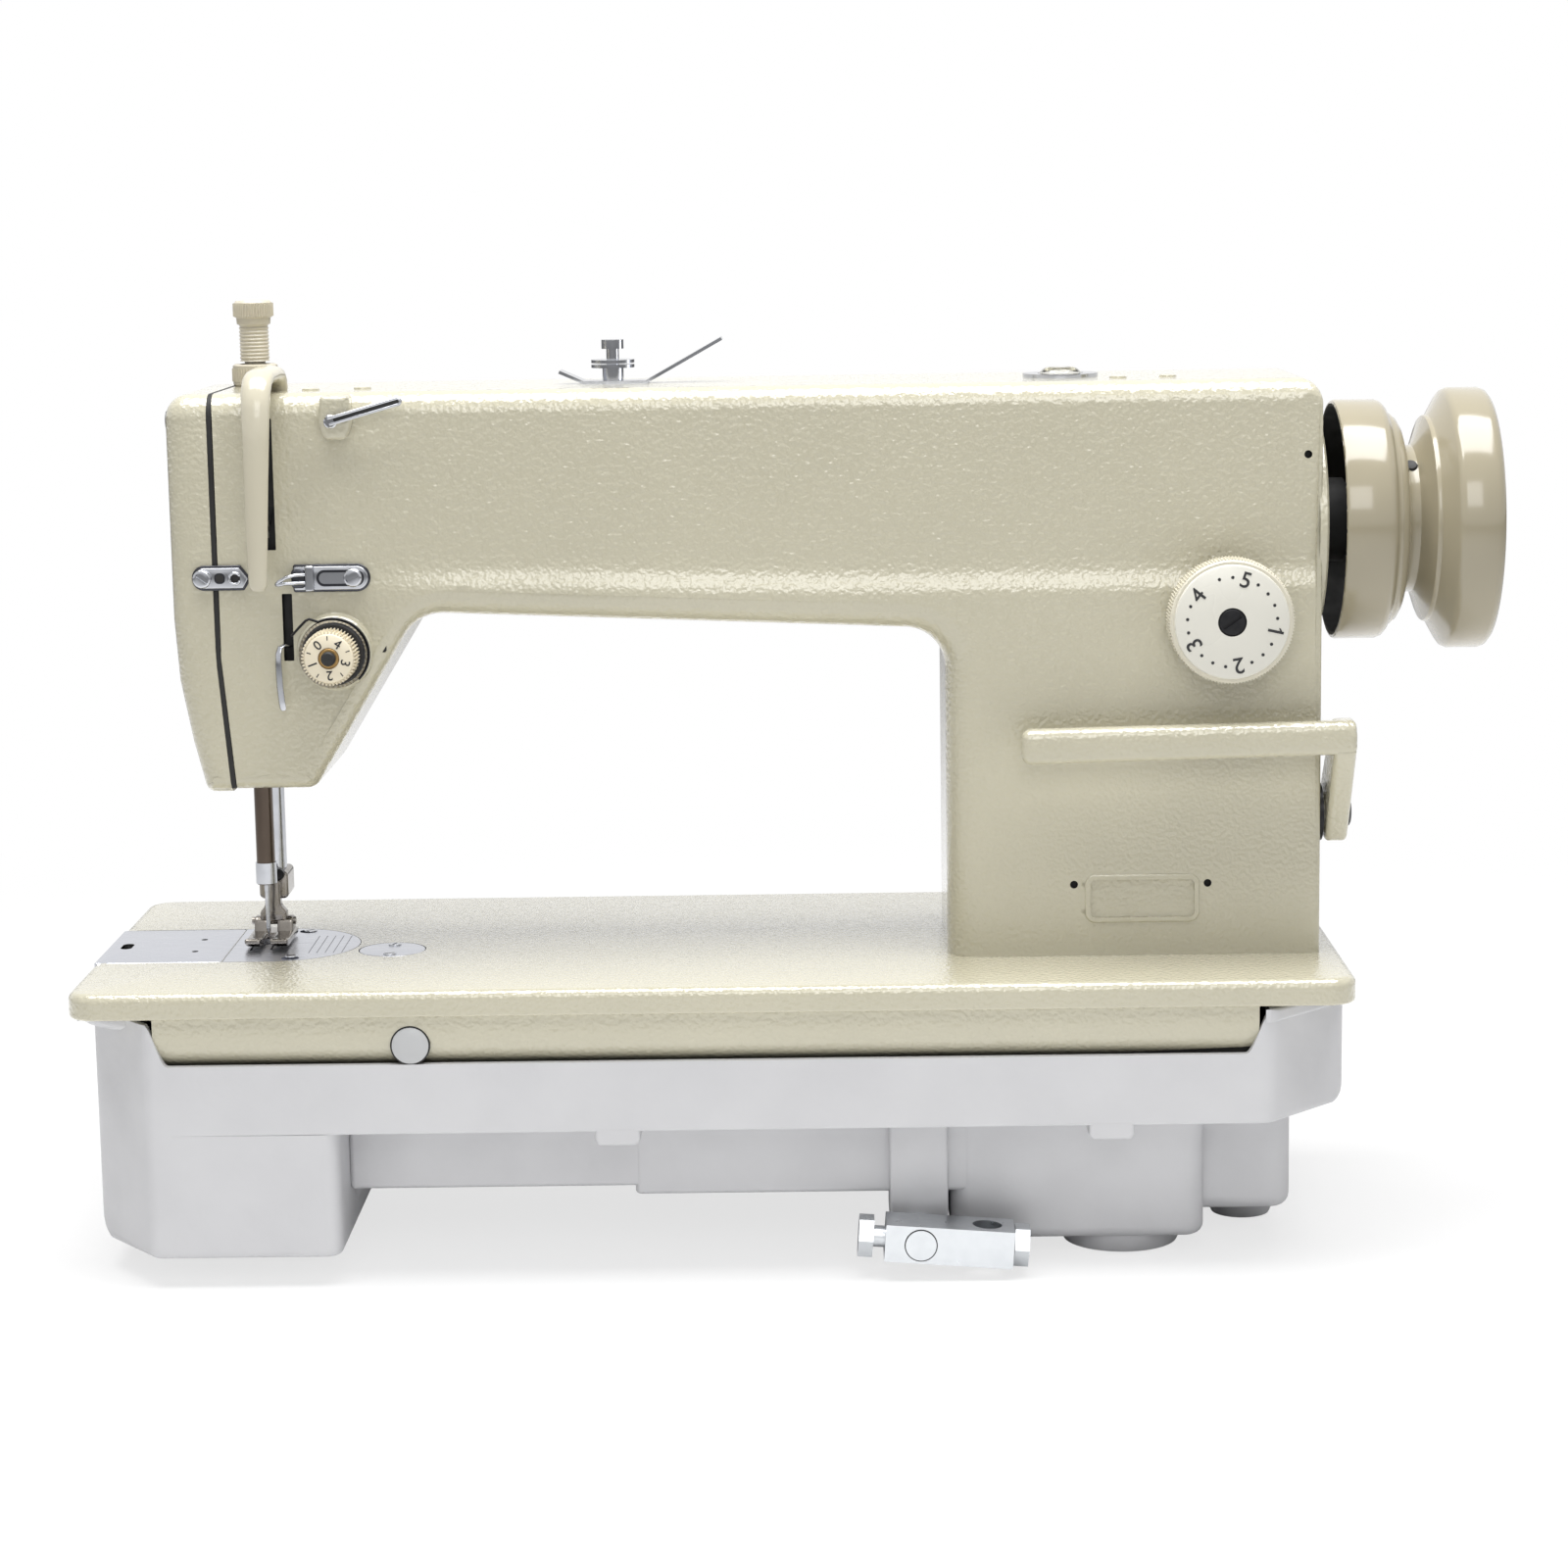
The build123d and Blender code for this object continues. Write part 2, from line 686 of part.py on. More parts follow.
def bevel_gear(teeth, pitch_r, cone, hub_r, hub, bore, phase):
    """A bevel gear below its apex, which is at the origin: its teeth all point at the apex."""
    step = 2 * math.pi / teeth
    flank = GEAR_TOOTH * step / 2
    pitch_angle = math.atan2(pitch_r, cone)
    tip_r = cone * math.tan(pitch_angle + math.radians(GEAR_TIP_ANGLE))
    root_r = cone * math.tan(pitch_angle - math.radians(GEAR_ROOT_ANGLE))
    points = []
    for tooth in range(teeth):
        middle = (tooth + phase) * step
        for side, radius in ((-GEAR_ROOT_SHARE, root_r), (-GEAR_TIP_SHARE, tip_r),
                             (GEAR_TIP_SHARE, tip_r), (GEAR_ROOT_SHARE, root_r)):
            angle = middle + side * flank
            points.append((radius * math.cos(angle), radius * math.sin(angle)))
    near = 1 - GEAR_FACE
    large = make_face(Polyline(*[(u, v, -cone) for u, v in points], close=True))
    small = make_face(Polyline(*[(u * near, v * near, -cone * near) for u, v in points], close=True))
    body = loft([large, small], ruled=True)
    body += bar("Z", hub_r, -cone - hub, -cone, 0, 0)
    return body - bar("Z", bore, -cone - hub - PAST, 0, 0, 0)


# Outline of the arm casting, counterclockwise from the front of the head's foot
arm_outline = [
    (SEAM_FOOT_X, HEAD_BOTTOM),
    (HEAD_TOE_X, HEAD_BOTTOM),
    (HEAD_SLOPE_X, UNDERSIDE_AT_HEAD),
    (column_left, underside_at_column),
    (column_left, 0.0),
    (arm_right, 0.0),
    (arm_right, ARM_TOP),
    (SEAM_X, ARM_TOP),
    (SEAM_X, SEAM_BEND_Z),
]
OPEN = -30.0
arm_insets = [HEAD_FLOOR, ARM_WALL, ARM_WALL, ARM_WALL, OPEN, ARM_WALL, ARM_WALL, OPEN, OPEN]
arm_cavity = prism("Y", inset(arm_outline, arm_insets), inner_front, inner_rear)
bolt_spots = []
for bolt_x in (column_left + ARM_WALL + COLUMN_BOSS / 2, arm_right - ARM_WALL - COLUMN_BOSS / 2):
    for bolt_y in (inner_front + COLUMN_BOSS / 2, inner_rear - COLUMN_BOSS / 2):
        bolt_spots.append((bolt_x, bolt_y))
face_spots = []
for face_y in (inner_front + FACE_BOSS_INSET, inner_rear - FACE_BOSS_INSET):
    for face_z in (HEAD_BOTTOM + HEAD_FLOOR + 2 * FACE_BOSS_R, ARM_TOP - ARM_WALL - FACE_BOSS_INSET):
        face_spots.append((face_y, face_z))
bush_flange_bottom = HEAD_BOTTOM - BUSH_FLANGE_DROP - BUSH_FLANGE
crank_drop = (NEEDLE_UP - NEEDLE_DOWN) / 2
crank_side = math.sqrt(CRANK_THROW ** 2 - crank_drop ** 2)
pin_y = -crank_side
pin_z = MAIN_Z - crank_drop
stud_z = pin_z - math.sqrt(LINK_LENGTH ** 2 - crank_side ** 2)


def arm_casting():
    """The hollow arm, with its webs, bosses, slots and bores."""
    radii = [0, ARM_EDGE_R, HEAD_ARM_R, THROAT_R, 0, 0, ARM_TOP_R, 0, 0]
    body = prism("Y", arm_outline, arm_front, arm_rear, radii)
    ledge = [
        (LEDGE_START, LEDGE_Z),
        (LEDGE_START, UNDERSIDE_AT_HEAD - (LEDGE_START - HEAD_SLOPE_X) * UNDERSIDE_FALL
         / (column_left - HEAD_SLOPE_X)),
        (column_left, underside_at_column),
        (column_left, 0.0),
        (arm_right, 0.0),
        (arm_right, LEDGE_Z),
    ]
    proud = prism("Y", ledge, column_front, arm_front, [0, 0, THROAT_R, 0, 0, 0])
    proud_edges = [edge for edge in edges_on(proud, "Y", column_front)
                   if PAST < edge.center().Z < LEDGE_Z - PAST and edge.center().X > LEDGE_START + PAST]
    body += fillet(proud_edges, COLUMN_CORNER_R)
    top_edges = [edge for level in (arm_front, arm_rear) for edge in edges_on(body, "Y", level)
                 if edge.center().Z > ARM_TOP - PAST]
    body = fillet(top_edges, ARM_TOP_R)
    ramp = [
        (column_front - PAST, LEDGE_Z + PAST),
        (column_front - PAST, LEDGE_Z - LEDGE_RAMP - LEDGE_RAMP / COLUMN_PROUD),
        (arm_front, LEDGE_Z),
        (arm_front, LEDGE_Z + PAST),
    ]
    body -= prism("X", ramp, LEDGE_START - PAST, arm_right + PAST)
    body -= arm_cavity
    webs = block(MAIN_WEB_LEFT, MAIN_WEB_LEFT + MAIN_WEB_THICK, -BED_WIDTH, BED_WIDTH, 0, ARM_TOP)
    webs += block(main_web_mid, main_web_mid + MAIN_WEB_THICK, -BED_WIDTH, BED_WIDTH, 0, ARM_TOP)
    webs += block(column_left, arm_right, -BED_WIDTH, BED_WIDTH, UPRIGHT_WEB_BOTTOM,
                  UPRIGHT_WEB_BOTTOM + UPRIGHT_WEB_THICK)
    webs += block(SEAM_X, BAR_SHELF_RIGHT, -BED_WIDTH, BED_WIDTH, BAR_SHELF_BOTTOM,
                  BAR_SHELF_BOTTOM + BAR_SHELF_THICK)
    body += webs & arm_cavity
    for x, y in bolt_spots:
        half = COLUMN_BOSS / 2
        body += block(x - half, x + half, y - half, y + half, 0, COLUMN_BOSS_HEIGHT)
        body -= bar("Z", BOLT_R + SEAT_CLEAR, -PAST, BOLT_REACH + PAST, x, y)
    shell = prism("Y", arm_outline, arm_front, arm_rear)
    for y, z in face_spots:
        boss = bar("X", FACE_BOSS_R, SEAM_X - PAST, SEAM_X + FACE_BOSS_DEPTH, y, z)
        body += boss & shell
        body -= bar("X", SCREW_R + SEAT_CLEAR, SEAM_X - PAST, SEAM_X + FACE_BOSS_DEPTH - PAST, y, z)
    for radius, y in ((BAR_BUSH_R, 0), (PRESSER_BUSH_R, PRESSER_Y)):
        body += bar("Z", radius + FLOOR_BOSS_WALL, HEAD_BOTTOM, HEAD_BOTTOM + HEAD_FLOOR, 0, y)
    body += bar("X", MAIN_BOSS_R, arm_right - ARM_WALL, arm_right + MAIN_BOSS_LENGTH, 0, MAIN_Z)
    body += bar("Y", TENSION_BOSS_R, arm_front - TENSION_BOSS, arm_front, TENSION_X, TENSION_Z)
    body += bar("Y", LIFTER_BOSS_R, arm_rear, arm_rear + LIFTER_BOSS, LIFTER_X, LIFTER_Z)
    pad = [(PAD_X - PAD_WIDTH / 2, PAD_BOTTOM), (PAD_X + PAD_WIDTH / 2, PAD_BOTTOM),
           (PAD_X + PAD_WIDTH / 2, ARM_TOP), (PAD_X - PAD_WIDTH / 2, ARM_TOP)]
    body += prism("Y", pad, arm_front - PAD_PROUD, arm_front + ARM_WALL, PAD_WIDTH / 4)
    body -= bar("X", MAIN_BUSH_R + SEAT_CLEAR, MAIN_WEB_LEFT - PAST, arm_right + WHEEL_GAP, 0, MAIN_Z)
    body -= bar("Z", UPRIGHT_BUSH_R + SEAT_CLEAR, UPRIGHT_WEB_BOTTOM - PAST,
                UPRIGHT_WEB_BOTTOM + UPRIGHT_WEB_THICK + PAST, upright_x, 0)
    body -= bar("X", TAKE_UP_SHAFT_R + RUN_CLEAR, MAIN_WEB_LEFT - PAST,
                MAIN_WEB_LEFT + MAIN_WEB_THICK + PAST, TAKE_UP_PIVOT_Y, TAKE_UP_PIVOT_Z)
    body -= bar("Z", BAR_BUSH_R + SEAT_CLEAR, HEAD_BOTTOM - PAST, BAR_SHELF_BOTTOM + BAR_SHELF_THICK + PAST,
                0, 0)
    body -= bar("Z", PRESSER_BUSH_R + SEAT_CLEAR, HEAD_BOTTOM - PAST, HEAD_BOTTOM + HEAD_FLOOR + PAST,
                0, PRESSER_Y)
    body -= bar("Z", SPRING_HOLE_R, BAR_SHELF_BOTTOM - PAST, BAR_SHELF_BOTTOM + BAR_SHELF_THICK + PAST,
                0, PRESSER_Y)
    body -= bar("Z", PRESSURE_BODY_R + RUN_CLEAR, ARM_TOP - ARM_WALL - PAST, ARM_TOP + PAST, 0, PRESSER_Y)
    body -= bar("Y", LIFTER_SHAFT_R + RUN_CLEAR, inner_rear - PAST, arm_rear + LIFTER_BOSS + PAST,
                LIFTER_X, LIFTER_Z)
    body -= bar("Y", TENSION_STUD_R + SEAT_CLEAR, arm_front - TENSION_BOSS - PAST, inner_front + PAST,
                TENSION_X, TENSION_Z)
    body -= bar("Y", DIAL_SHAFT_R + RUN_CLEAR, column_front - PAST, inner_front + PAST, dial_x, DIAL_Z)
    body -= bar("X", LEVER_SHAFT_R + RUN_CLEAR, arm_right - ARM_WALL - PAST, arm_right + PAST,
                LEVER_PIVOT_Y, LEVER_PIVOT_Z)
    body -= bar("Z", WINDOW_R + SEAT_CLEAR, ARM_TOP - ARM_WALL - PAST, ARM_TOP + PAST, window_x, 0)
    body -= bar("Z", POST_R + SEAT_CLEAR, ARM_TOP - ARM_WALL - PAST, ARM_TOP + PAST, TOP_GUIDE_X, 0)
    half_slot = TAKE_UP_SLOT_WIDTH / 2
    body -= block(TAKE_UP_X - half_slot, TAKE_UP_X + half_slot, arm_front - PAST, inner_front + PAST,
                  TAKE_UP_SLOT_BOTTOM, TAKE_UP_SLOT_TOP)
    half_slot = HOOK_SLOT_WIDTH / 2
    body -= block(HOOK_SLOT_X - half_slot, HOOK_SLOT_X + half_slot, arm_front - PAST, inner_front + PAST,
                  HOOK_SLOT_BOTTOM, HOOK_SLOT_TOP)
    guide_screw_x = RIGHT_GUIDE_X + RIGHT_GUIDE_LENGTH - RIGHT_GUIDE_SCREW
    body -= bar("Y", SCREW_R + SEAT_CLEAR, arm_front - PAST, arm_front + SCREW_LENGTH + PAST,
                guide_screw_x, GUIDE_Z)
    body -= rear_cover_outline(arm_rear - ARM_WALL - PAST, arm_rear + PAST, REAR_COVER_MARGIN)
    for x, z in rear_screw_spots():
        body -= bar("Y", SCREW_R + SEAT_CLEAR, inner_rear - PAST, arm_rear + PAST, x, z)
    recess = [(serial_x - SERIAL_LENGTH / 2, SERIAL_Z - SERIAL_HEIGHT / 2),
              (serial_x + SERIAL_LENGTH / 2, SERIAL_Z - SERIAL_HEIGHT / 2),
              (serial_x + SERIAL_LENGTH / 2, SERIAL_Z + SERIAL_HEIGHT / 2),
              (serial_x - SERIAL_LENGTH / 2, SERIAL_Z + SERIAL_HEIGHT / 2)]
    body -= prism("Y", recess, column_front - PAST, column_front + SERIAL_DEPTH, SERIAL_HEIGHT / 7)
    for side in (-1, 1):
        body -= bar("Y", RIVET_R, column_front - PAST, column_front + RIVET_DEPTH,
                    serial_x + side * RIVET_SPREAD / 2, SERIAL_Z + RIVET_RISE)
    body -= thread_pin_wire(SEAT_CLEAR)
    slope_z = HEAD_BOTTOM + (SLOPE_HOLE_X - HEAD_TOE_X) * (UNDERSIDE_AT_HEAD - HEAD_BOTTOM) \
        / (HEAD_SLOPE_X - HEAD_TOE_X)
    body -= bar("X", SLOPE_HOLE_R, SLOPE_HOLE_X - 2 * ARM_WALL, SLOPE_HOLE_X + 2 * ARM_WALL,
                arm_front + 2 * ARM_WALL, slope_z)
    return body


def rear_cover_outline(low, high, margin):
    """The rounded oblong of the rear cover, made smaller by a margin."""
    left = rear_cover_left + margin
    right = rear_cover_left + REAR_COVER_LENGTH - margin
    bottom = REAR_COVER_BOTTOM + margin
    top = REAR_COVER_BOTTOM + REAR_COVER_HEIGHT - margin
    points = [(left, bottom), (right, bottom), (right, top), (left, top)]
    return prism("Y", points, low, high, REAR_COVER_R)


def rear_screw_spots():
    """One screw in each corner of the rear cover."""
    step = REAR_COVER_MARGIN / 2
    spots = []
    for x in (rear_cover_left + step, rear_cover_left + REAR_COVER_LENGTH - step):
        for z in (REAR_COVER_BOTTOM + step, REAR_COVER_BOTTOM + REAR_COVER_HEIGHT - step):
            spots.append((x, z))
    return spots


def thread_pin_wire(grow):
    """The hairpin of wire whose two ends sit in the pad at the head's top corner."""
    root_y = arm_front + ARM_WALL / 2
    tip_y = arm_front - PAD_PROUD - THREAD_PIN_OUT
    tip_x = PAD_X + THREAD_PIN_LENGTH
    tip_z = THREAD_PIN_Z + THREAD_PIN_RISE
    points = [(PAD_X, root_y, THREAD_PIN_Z), (tip_x, tip_y, tip_z),
              (tip_x, tip_y, tip_z + THREAD_PIN_SPREAD),
              (PAD_X, root_y, THREAD_PIN_Z + THREAD_PIN_SPREAD)]
    return wire(points, THREAD_PIN_R + grow, THREAD_PIN_R)


def arm_thread_pin():
    """The hairpin of wire at the top of the head."""
    return thread_pin_wire(0.0)


def bed_casting():
    """The bed: a slab with a skirt below it, plate pockets, bearing blocks and hinge bosses."""
    corners = [(bed_left, bed_front), (bed_right, bed_front), (bed_right, bed_rear), (bed_left, bed_rear)]
    slab = prism("Z", corners, slab_bottom, 0, BED_CORNER_R)
    slab = fillet(edges_on(slab, "Z", slab_bottom) + edges_on(slab, "Z", 0), BED_EDGE_R)
    skirt = [(skirt_left, skirt_front), (skirt_right, skirt_front), (skirt_right, skirt_rear),
             (skirt_left, skirt_rear)]
    bottom = slab_bottom - SKIRT_DEPTH
    body = slab + prism("Z", skirt, bottom, slab_bottom, SKIRT_CORNER_R)
    hollow = inset(skirt, [SKIRT_WALL] * len(skirt))
    body -= prism("Z", hollow, bottom - PAST, slab_bottom, SKIRT_CORNER_R - SKIRT_WALL)
    for x in (HOOK_BLOCK_LEFT, hook_block_right):
        body += block(x, x + HOOK_BLOCK_LENGTH, -HOOK_BLOCK_WIDTH / 2, HOOK_BLOCK_WIDTH / 2,
                      HOOK_Z - HOOK_BLOCK_BELOW, slab_bottom)
        body -= bar("X", HOOK_BUSH_R + SEAT_CLEAR, x - PAST, x + HOOK_BLOCK_LENGTH + PAST, 0, HOOK_Z)
    body += bar("Z", UPRIGHT_BOSS_R, slab_bottom - UPRIGHT_BOSS_DEPTH, slab_bottom, upright_x, 0)
    body -= bar("Z", UPRIGHT_BUSH_R + SEAT_CLEAR, slab_bottom - UPRIGHT_BOSS_DEPTH - PAST, PAST, upright_x, 0)
    guide_half = FEED_BAR_HALF + FEED_GUIDE_WALL
    guide_end = FEED_GUIDE_START + FEED_GUIDE_LENGTH
    body += block(-guide_half, guide_half, FEED_GUIDE_START, guide_end,
                  FEED_BAR_TOP - FEED_BAR_THICK - FEED_GUIDE_WALL, slab_bottom)
    body -= block(-FEED_BAR_HALF - RUN_CLEAR, FEED_BAR_HALF + RUN_CLEAR, FEED_GUIDE_START - PAST,
                  guide_end + PAST, FEED_BAR_TOP - FEED_BAR_THICK - RUN_CLEAR, FEED_BAR_TOP + RUN_CLEAR)
    for x in hinge_spots:
        body += bar("Y", HINGE_BOSS_R, skirt_rear - HINGE_BOSS_LENGTH, skirt_rear, x, -HINGE_BELOW_TOP)
        body -= bar("Y", HINGE_BORE_R, skirt_rear - HINGE_BOSS_LENGTH - PAST, skirt_rear + PAST, x,
                    -HINGE_BELOW_TOP)
    pocket_r = plate_r + SIDE_GAP
    pocket = block(bed_left - PAST, plate_end_x, PLATE_CENTRE_Y - pocket_r, PLATE_CENTRE_Y + pocket_r,
                   -PLATE_THICK, PAST)
    body -= pocket + bar("Z", pocket_r, -PLATE_THICK, PAST, plate_end_x, PLATE_CENTRE_Y)
    well_r = plate_r - PLATE_LEDGE
    well = block(bed_left + PLATE_LEDGE, plate_end_x, PLATE_CENTRE_Y - well_r, PLATE_CENTRE_Y + well_r,
                 slab_bottom - PAST, PAST)
    body -= well + bar("Z", well_r, slab_bottom - PAST, PAST, plate_end_x, PLATE_CENTRE_Y)
    body -= bar("Z", COVER_R + SIDE_GAP, -PLATE_THICK, PAST, COVER_X, COVER_Y)
    body -= bar("Z", COVER_HOLE_R, slab_bottom - PAST, PAST, COVER_X, COVER_Y)
    for x, y in plate_screw_spots():
        body -= bar("Z", PLATE_SCREW_R + SEAT_CLEAR, slab_bottom - PAST, PAST, x, y)
    for x, y in bolt_spots:
        body -= bar("Z", BOLT_R + SEAT_CLEAR, slab_bottom - PAST, PAST, x, y)
    body -= bar("Y", PLUG_STEM_R + SEAT_CLEAR, skirt_front - PAST, skirt_front + SKIRT_WALL + PAST,
                PLUG_X, -PLUG_BELOW_TOP)
    return body


def plate_screw_spots():
    """Two screws on the needle plate's round end and two on the round cover."""
    ring = plate_r - PLATE_LEDGE / 2
    angle = math.radians(PLATE_SCREW_ANGLE)
    spots = []
    for side in (-1, 1):
        spots.append((plate_end_x + ring * math.cos(angle), PLATE_CENTRE_Y + side * ring * math.sin(angle)))
        spots.append((COVER_X, COVER_Y + side * COVER_SCREW_SPREAD))
    return spots


def plate_holes(body):
    """Cuts the seats and clearances of the plate screws."""
    for x, y in plate_screw_spots():
        body -= bar("Z", PLATE_SCREW_HEAD_R + SEAT_CLEAR, -PLATE_SCREW_HEAD, PAST, x, y)
        body -= bar("Z", PLATE_SCREW_R + SEAT_CLEAR, -PLATE_THICK - PAST, PAST, x, y)
    return body


def face_plate_points():
    """Outline of the face plate, counterclockwise from its foot."""
    return [
        (FACE_FOOT_X, HEAD_BOTTOM),
        (SEAM_FOOT_X - GASKET_THICK, HEAD_BOTTOM),
        (SEAM_X - GASKET_THICK, SEAM_BEND_Z),
        (SEAM_X - GASKET_THICK, ARM_TOP),
        (FACE_LEFT, ARM_TOP),
        (FACE_LEFT, FACE_BEND_Z),
    ]


def face_plate():
    """The thin cast cover of the head's end, with a boss behind each screw."""
    points = face_plate_points()
    outer = prism("Y", points, arm_front, arm_rear, [0, 0, 0, 0, FACE_TOP_R, FACE_BEND_R])
    rounded = [edge for level in (arm_front, arm_rear) for edge in edges_on(outer, "Y", level)
               if edge.center().X < FACE_FOOT_X and edge.center().Z > HEAD_BOTTOM + PAST
               or edge.center().Z > ARM_TOP - PAST]
    outer = fillet(rounded, ARM_TOP_R)
    hollow = inset(points, [OPEN, OPEN, OPEN, ARM_WALL, FACE_WALL, FACE_WALL])
    body = outer - prism("Y", hollow, inner_front, inner_rear)
    for y, z in face_spots:
        body += bar("X", FACE_BOSS_R, FACE_LEFT - PAST, SEAM_X + PAST, y, z) & outer
    for y, z in face_spots:
        body -= bar("X", SCREW_R + SEAT_CLEAR, FACE_LEFT - PAST, SEAM_X + FACE_BOSS_DEPTH, y, z)
        body -= bar("X", SCREW_HEAD_R + SIDE_GAP, FACE_LEFT - PAST, face_seat_x(z), y, z)
    screw_x = LEFT_GUIDE_X + LEFT_GUIDE_SCREW
    body -= bar("Y", SCREW_R + SEAT_CLEAR, arm_front - PAST, inner_front + SCREW_LENGTH, screw_x, GUIDE_Z)
    return body


def face_seat_x(z):
    """Depth of the flat seat under a face plate screw, a head's height below the face."""
    foot = max(0.0, (FACE_BEND_Z - z) / (FACE_BEND_Z - HEAD_BOTTOM))
    return FACE_LEFT + foot * (FACE_FOOT_X - FACE_LEFT) + SCREW_HEAD


def face_plate_gasket():
    """The black gasket between the face plate and the arm, with the head's open end."""
    points = [
        (SEAM_FOOT_X - GASKET_THICK, HEAD_BOTTOM),
        (SEAM_FOOT_X, HEAD_BOTTOM),
        (SEAM_X, SEAM_BEND_Z),
        (SEAM_X, ARM_TOP),
        (SEAM_X - GASKET_THICK, ARM_TOP),
        (SEAM_X - GASKET_THICK, SEAM_BEND_Z),
    ]
    body = prism("Y", points, arm_front, arm_rear)
    rounded = [edge for level in (arm_front, arm_rear) for edge in edges_on(body, "Y", level)
               if edge.center().Z > ARM_TOP - PAST]
    body = fillet(rounded, ARM_TOP_R)
    opening = [
        (SEAM_FOOT_X + GASKET_THICK, HEAD_BOTTOM - PAST),
        (SEAM_FOOT_X + GASKET_THICK, ARM_TOP - ARM_WALL),
        (FACE_LEFT, ARM_TOP - ARM_WALL),
        (FACE_LEFT, HEAD_BOTTOM - PAST),
    ]
    ring = body - prism("Y", opening, inner_front, inner_rear)
    for y, z in face_spots:
        ring += bar("X", FACE_BOSS_R, FACE_LEFT, 0, y, z) & body
    for y, z in face_spots:
        ring -= bar("X", SCREW_R + SEAT_CLEAR, FACE_LEFT, 0, y, z)
    return ring


def cover_screws():
    """The screws of the face plate and of the rear cover."""
    screws = []
    for y, z in face_spots:
        seat = face_seat_x(z)
        reach = SEAM_X - seat + FACE_BOSS_DEPTH - 2
        screws.append(cheese_screw((seat, y, z), (-1, 0, 0), reach))
    for x, z in rear_screw_spots():
        screws.append(cheese_screw((x, arm_rear + REAR_COVER_THICK, z), (0, 1, 0), ARM_WALL))
    return screws


def rear_cover():
    """The flat cover over the opening in the back of the column."""
    cover = rear_cover_outline(arm_rear, arm_rear + REAR_COVER_THICK, 0.0)
    for x, z in rear_screw_spots():
        cover -= bar("Y", SCREW_R + SEAT_CLEAR, arm_rear - PAST, arm_rear + REAR_COVER_THICK + PAST, x, z)
    return cover


def arm_bolts():
    """Hexagon bolts from below the bed into the column's corner bosses."""
    bolts = []
    for x, y in bolt_spots:
        head = hexagon("Z", BOLT_HEAD_R, slab_bottom - BOLT_HEAD, slab_bottom, x, y)
        bolts.append(head + bar("Z", BOLT_R, slab_bottom, BOLT_REACH, x, y))
    return bolts


def needle_plate():
    """The needle plate, round at its right end, with its needle hole and feed slots."""
    body = block(NEEDLE_PLATE_LEFT, plate_end_x, plate_front, plate_rear, -PLATE_THICK, 0)
    body += bar("Z", plate_r, -PLATE_THICK, 0, plate_end_x, PLATE_CENTRE_Y)
    body -= block(bed_left, NEEDLE_PLATE_LEFT, bed_front, bed_rear, slab_bottom, PAST)
    for side in (-1, 1):
        inner = FEED_ROW_IN - FEED_SLOT_SIDE
        outer = FEED_ROW_IN + FEED_ROW_WIDTH + FEED_SLOT_SIDE
        low, high = sorted((side * inner, side * outer))
        body -= block(low, high, -FEED_ROW_FRONT - FEED_STROKE - FEED_SLOT_END,
                      FEED_ROW_BACK + FEED_STROKE + FEED_SLOT_END, -PLATE_THICK - PAST, PAST)
    body -= bar("Z", NEEDLE_HOLE_R, -PLATE_THICK - PAST, PAST, 0, 0)
    return plate_holes(body)


def slide_plate():
    """The plate that slides left to reach the bobbin."""
    right = NEEDLE_PLATE_LEFT - SIDE_GAP
    body = block(bed_left, right, plate_front, plate_rear, -PLATE_THICK, 0)
    return body - bar("Z", FINGER_HOLE_R, -PLATE_THICK - PAST, PAST, bed_left + FINGER_HOLE_FROM_EDGE,
                      PLATE_CENTRE_Y)


def bed_cover():
    """The round cover beside the needle plate."""
    return plate_holes(bar("Z", COVER_R, -PLATE_THICK, 0, COVER_X, COVER_Y))


def plate_screws():
    """Flush screws of the needle plate and the round cover."""
    screws = []
    for x, y in plate_screw_spots():
        screw = bar("Z", PLATE_SCREW_HEAD_R, -PLATE_SCREW_HEAD, 0, x, y)
        slot = Pos(x, y, 0) * Box(3 * PLATE_SCREW_HEAD_R, SCREW_SLOT, PLATE_SCREW_HEAD)
        screws.append(screw - slot + bar("Z", PLATE_SCREW_R, -PLATE_SCREW_LENGTH, -PLATE_SCREW_HEAD, x, y))
    return screws


def bed_plug():
    """The plug that closes the oil hole in the skirt's front."""
    head = bar("Y", PLUG_R, skirt_front - PLUG_HEAD, skirt_front, PLUG_X, -PLUG_BELOW_TOP)
    return head + bar("Y", PLUG_STEM_R, skirt_front, skirt_front + SKIRT_WALL, PLUG_X, -PLUG_BELOW_TOP)


pan_top = slab_bottom - CUSHION_THICK
pan_wall_left = pan_left + PAN_FLARE


def pan_box(left, right, front, rear, bottom, wall):
    """One hollow of the pan's underside: its outside, or its inside when it has a wall."""
    top = PAN_FLANGE_BOTTOM + PAN_FLOOR if wall else PAN_FLANGE_BOTTOM
    floor = bottom + (PAN_FLOOR if wall else 0.0)
    points = [(left + wall, front + wall), (right - wall, front + wall),
              (right - wall, rear - wall), (left + wall, rear - wall)]
    shape = prism("Z", points, floor, top + (PAST if wall else PAN_FLOOR), PAN_R - wall)
    return fillet(edges_on(shape, "Z", floor), (PAN_R - wall) / 2)


pan_hollows = [
    (LEFT_SUMP_RIGHT - 2 * PAN_R, right_sump_left + 2 * PAN_R, -tray_half_width, tray_half_width,
     TRAY_BOTTOM),
    (right_sump_left, right_sump_right, -tray_half_width, tray_half_width, RIGHT_SUMP_BOTTOM),
    (right_sump_right - 2 * PAN_R, right_block_right, right_block_front, tray_half_width,
     RIGHT_BLOCK_BOTTOM),
]


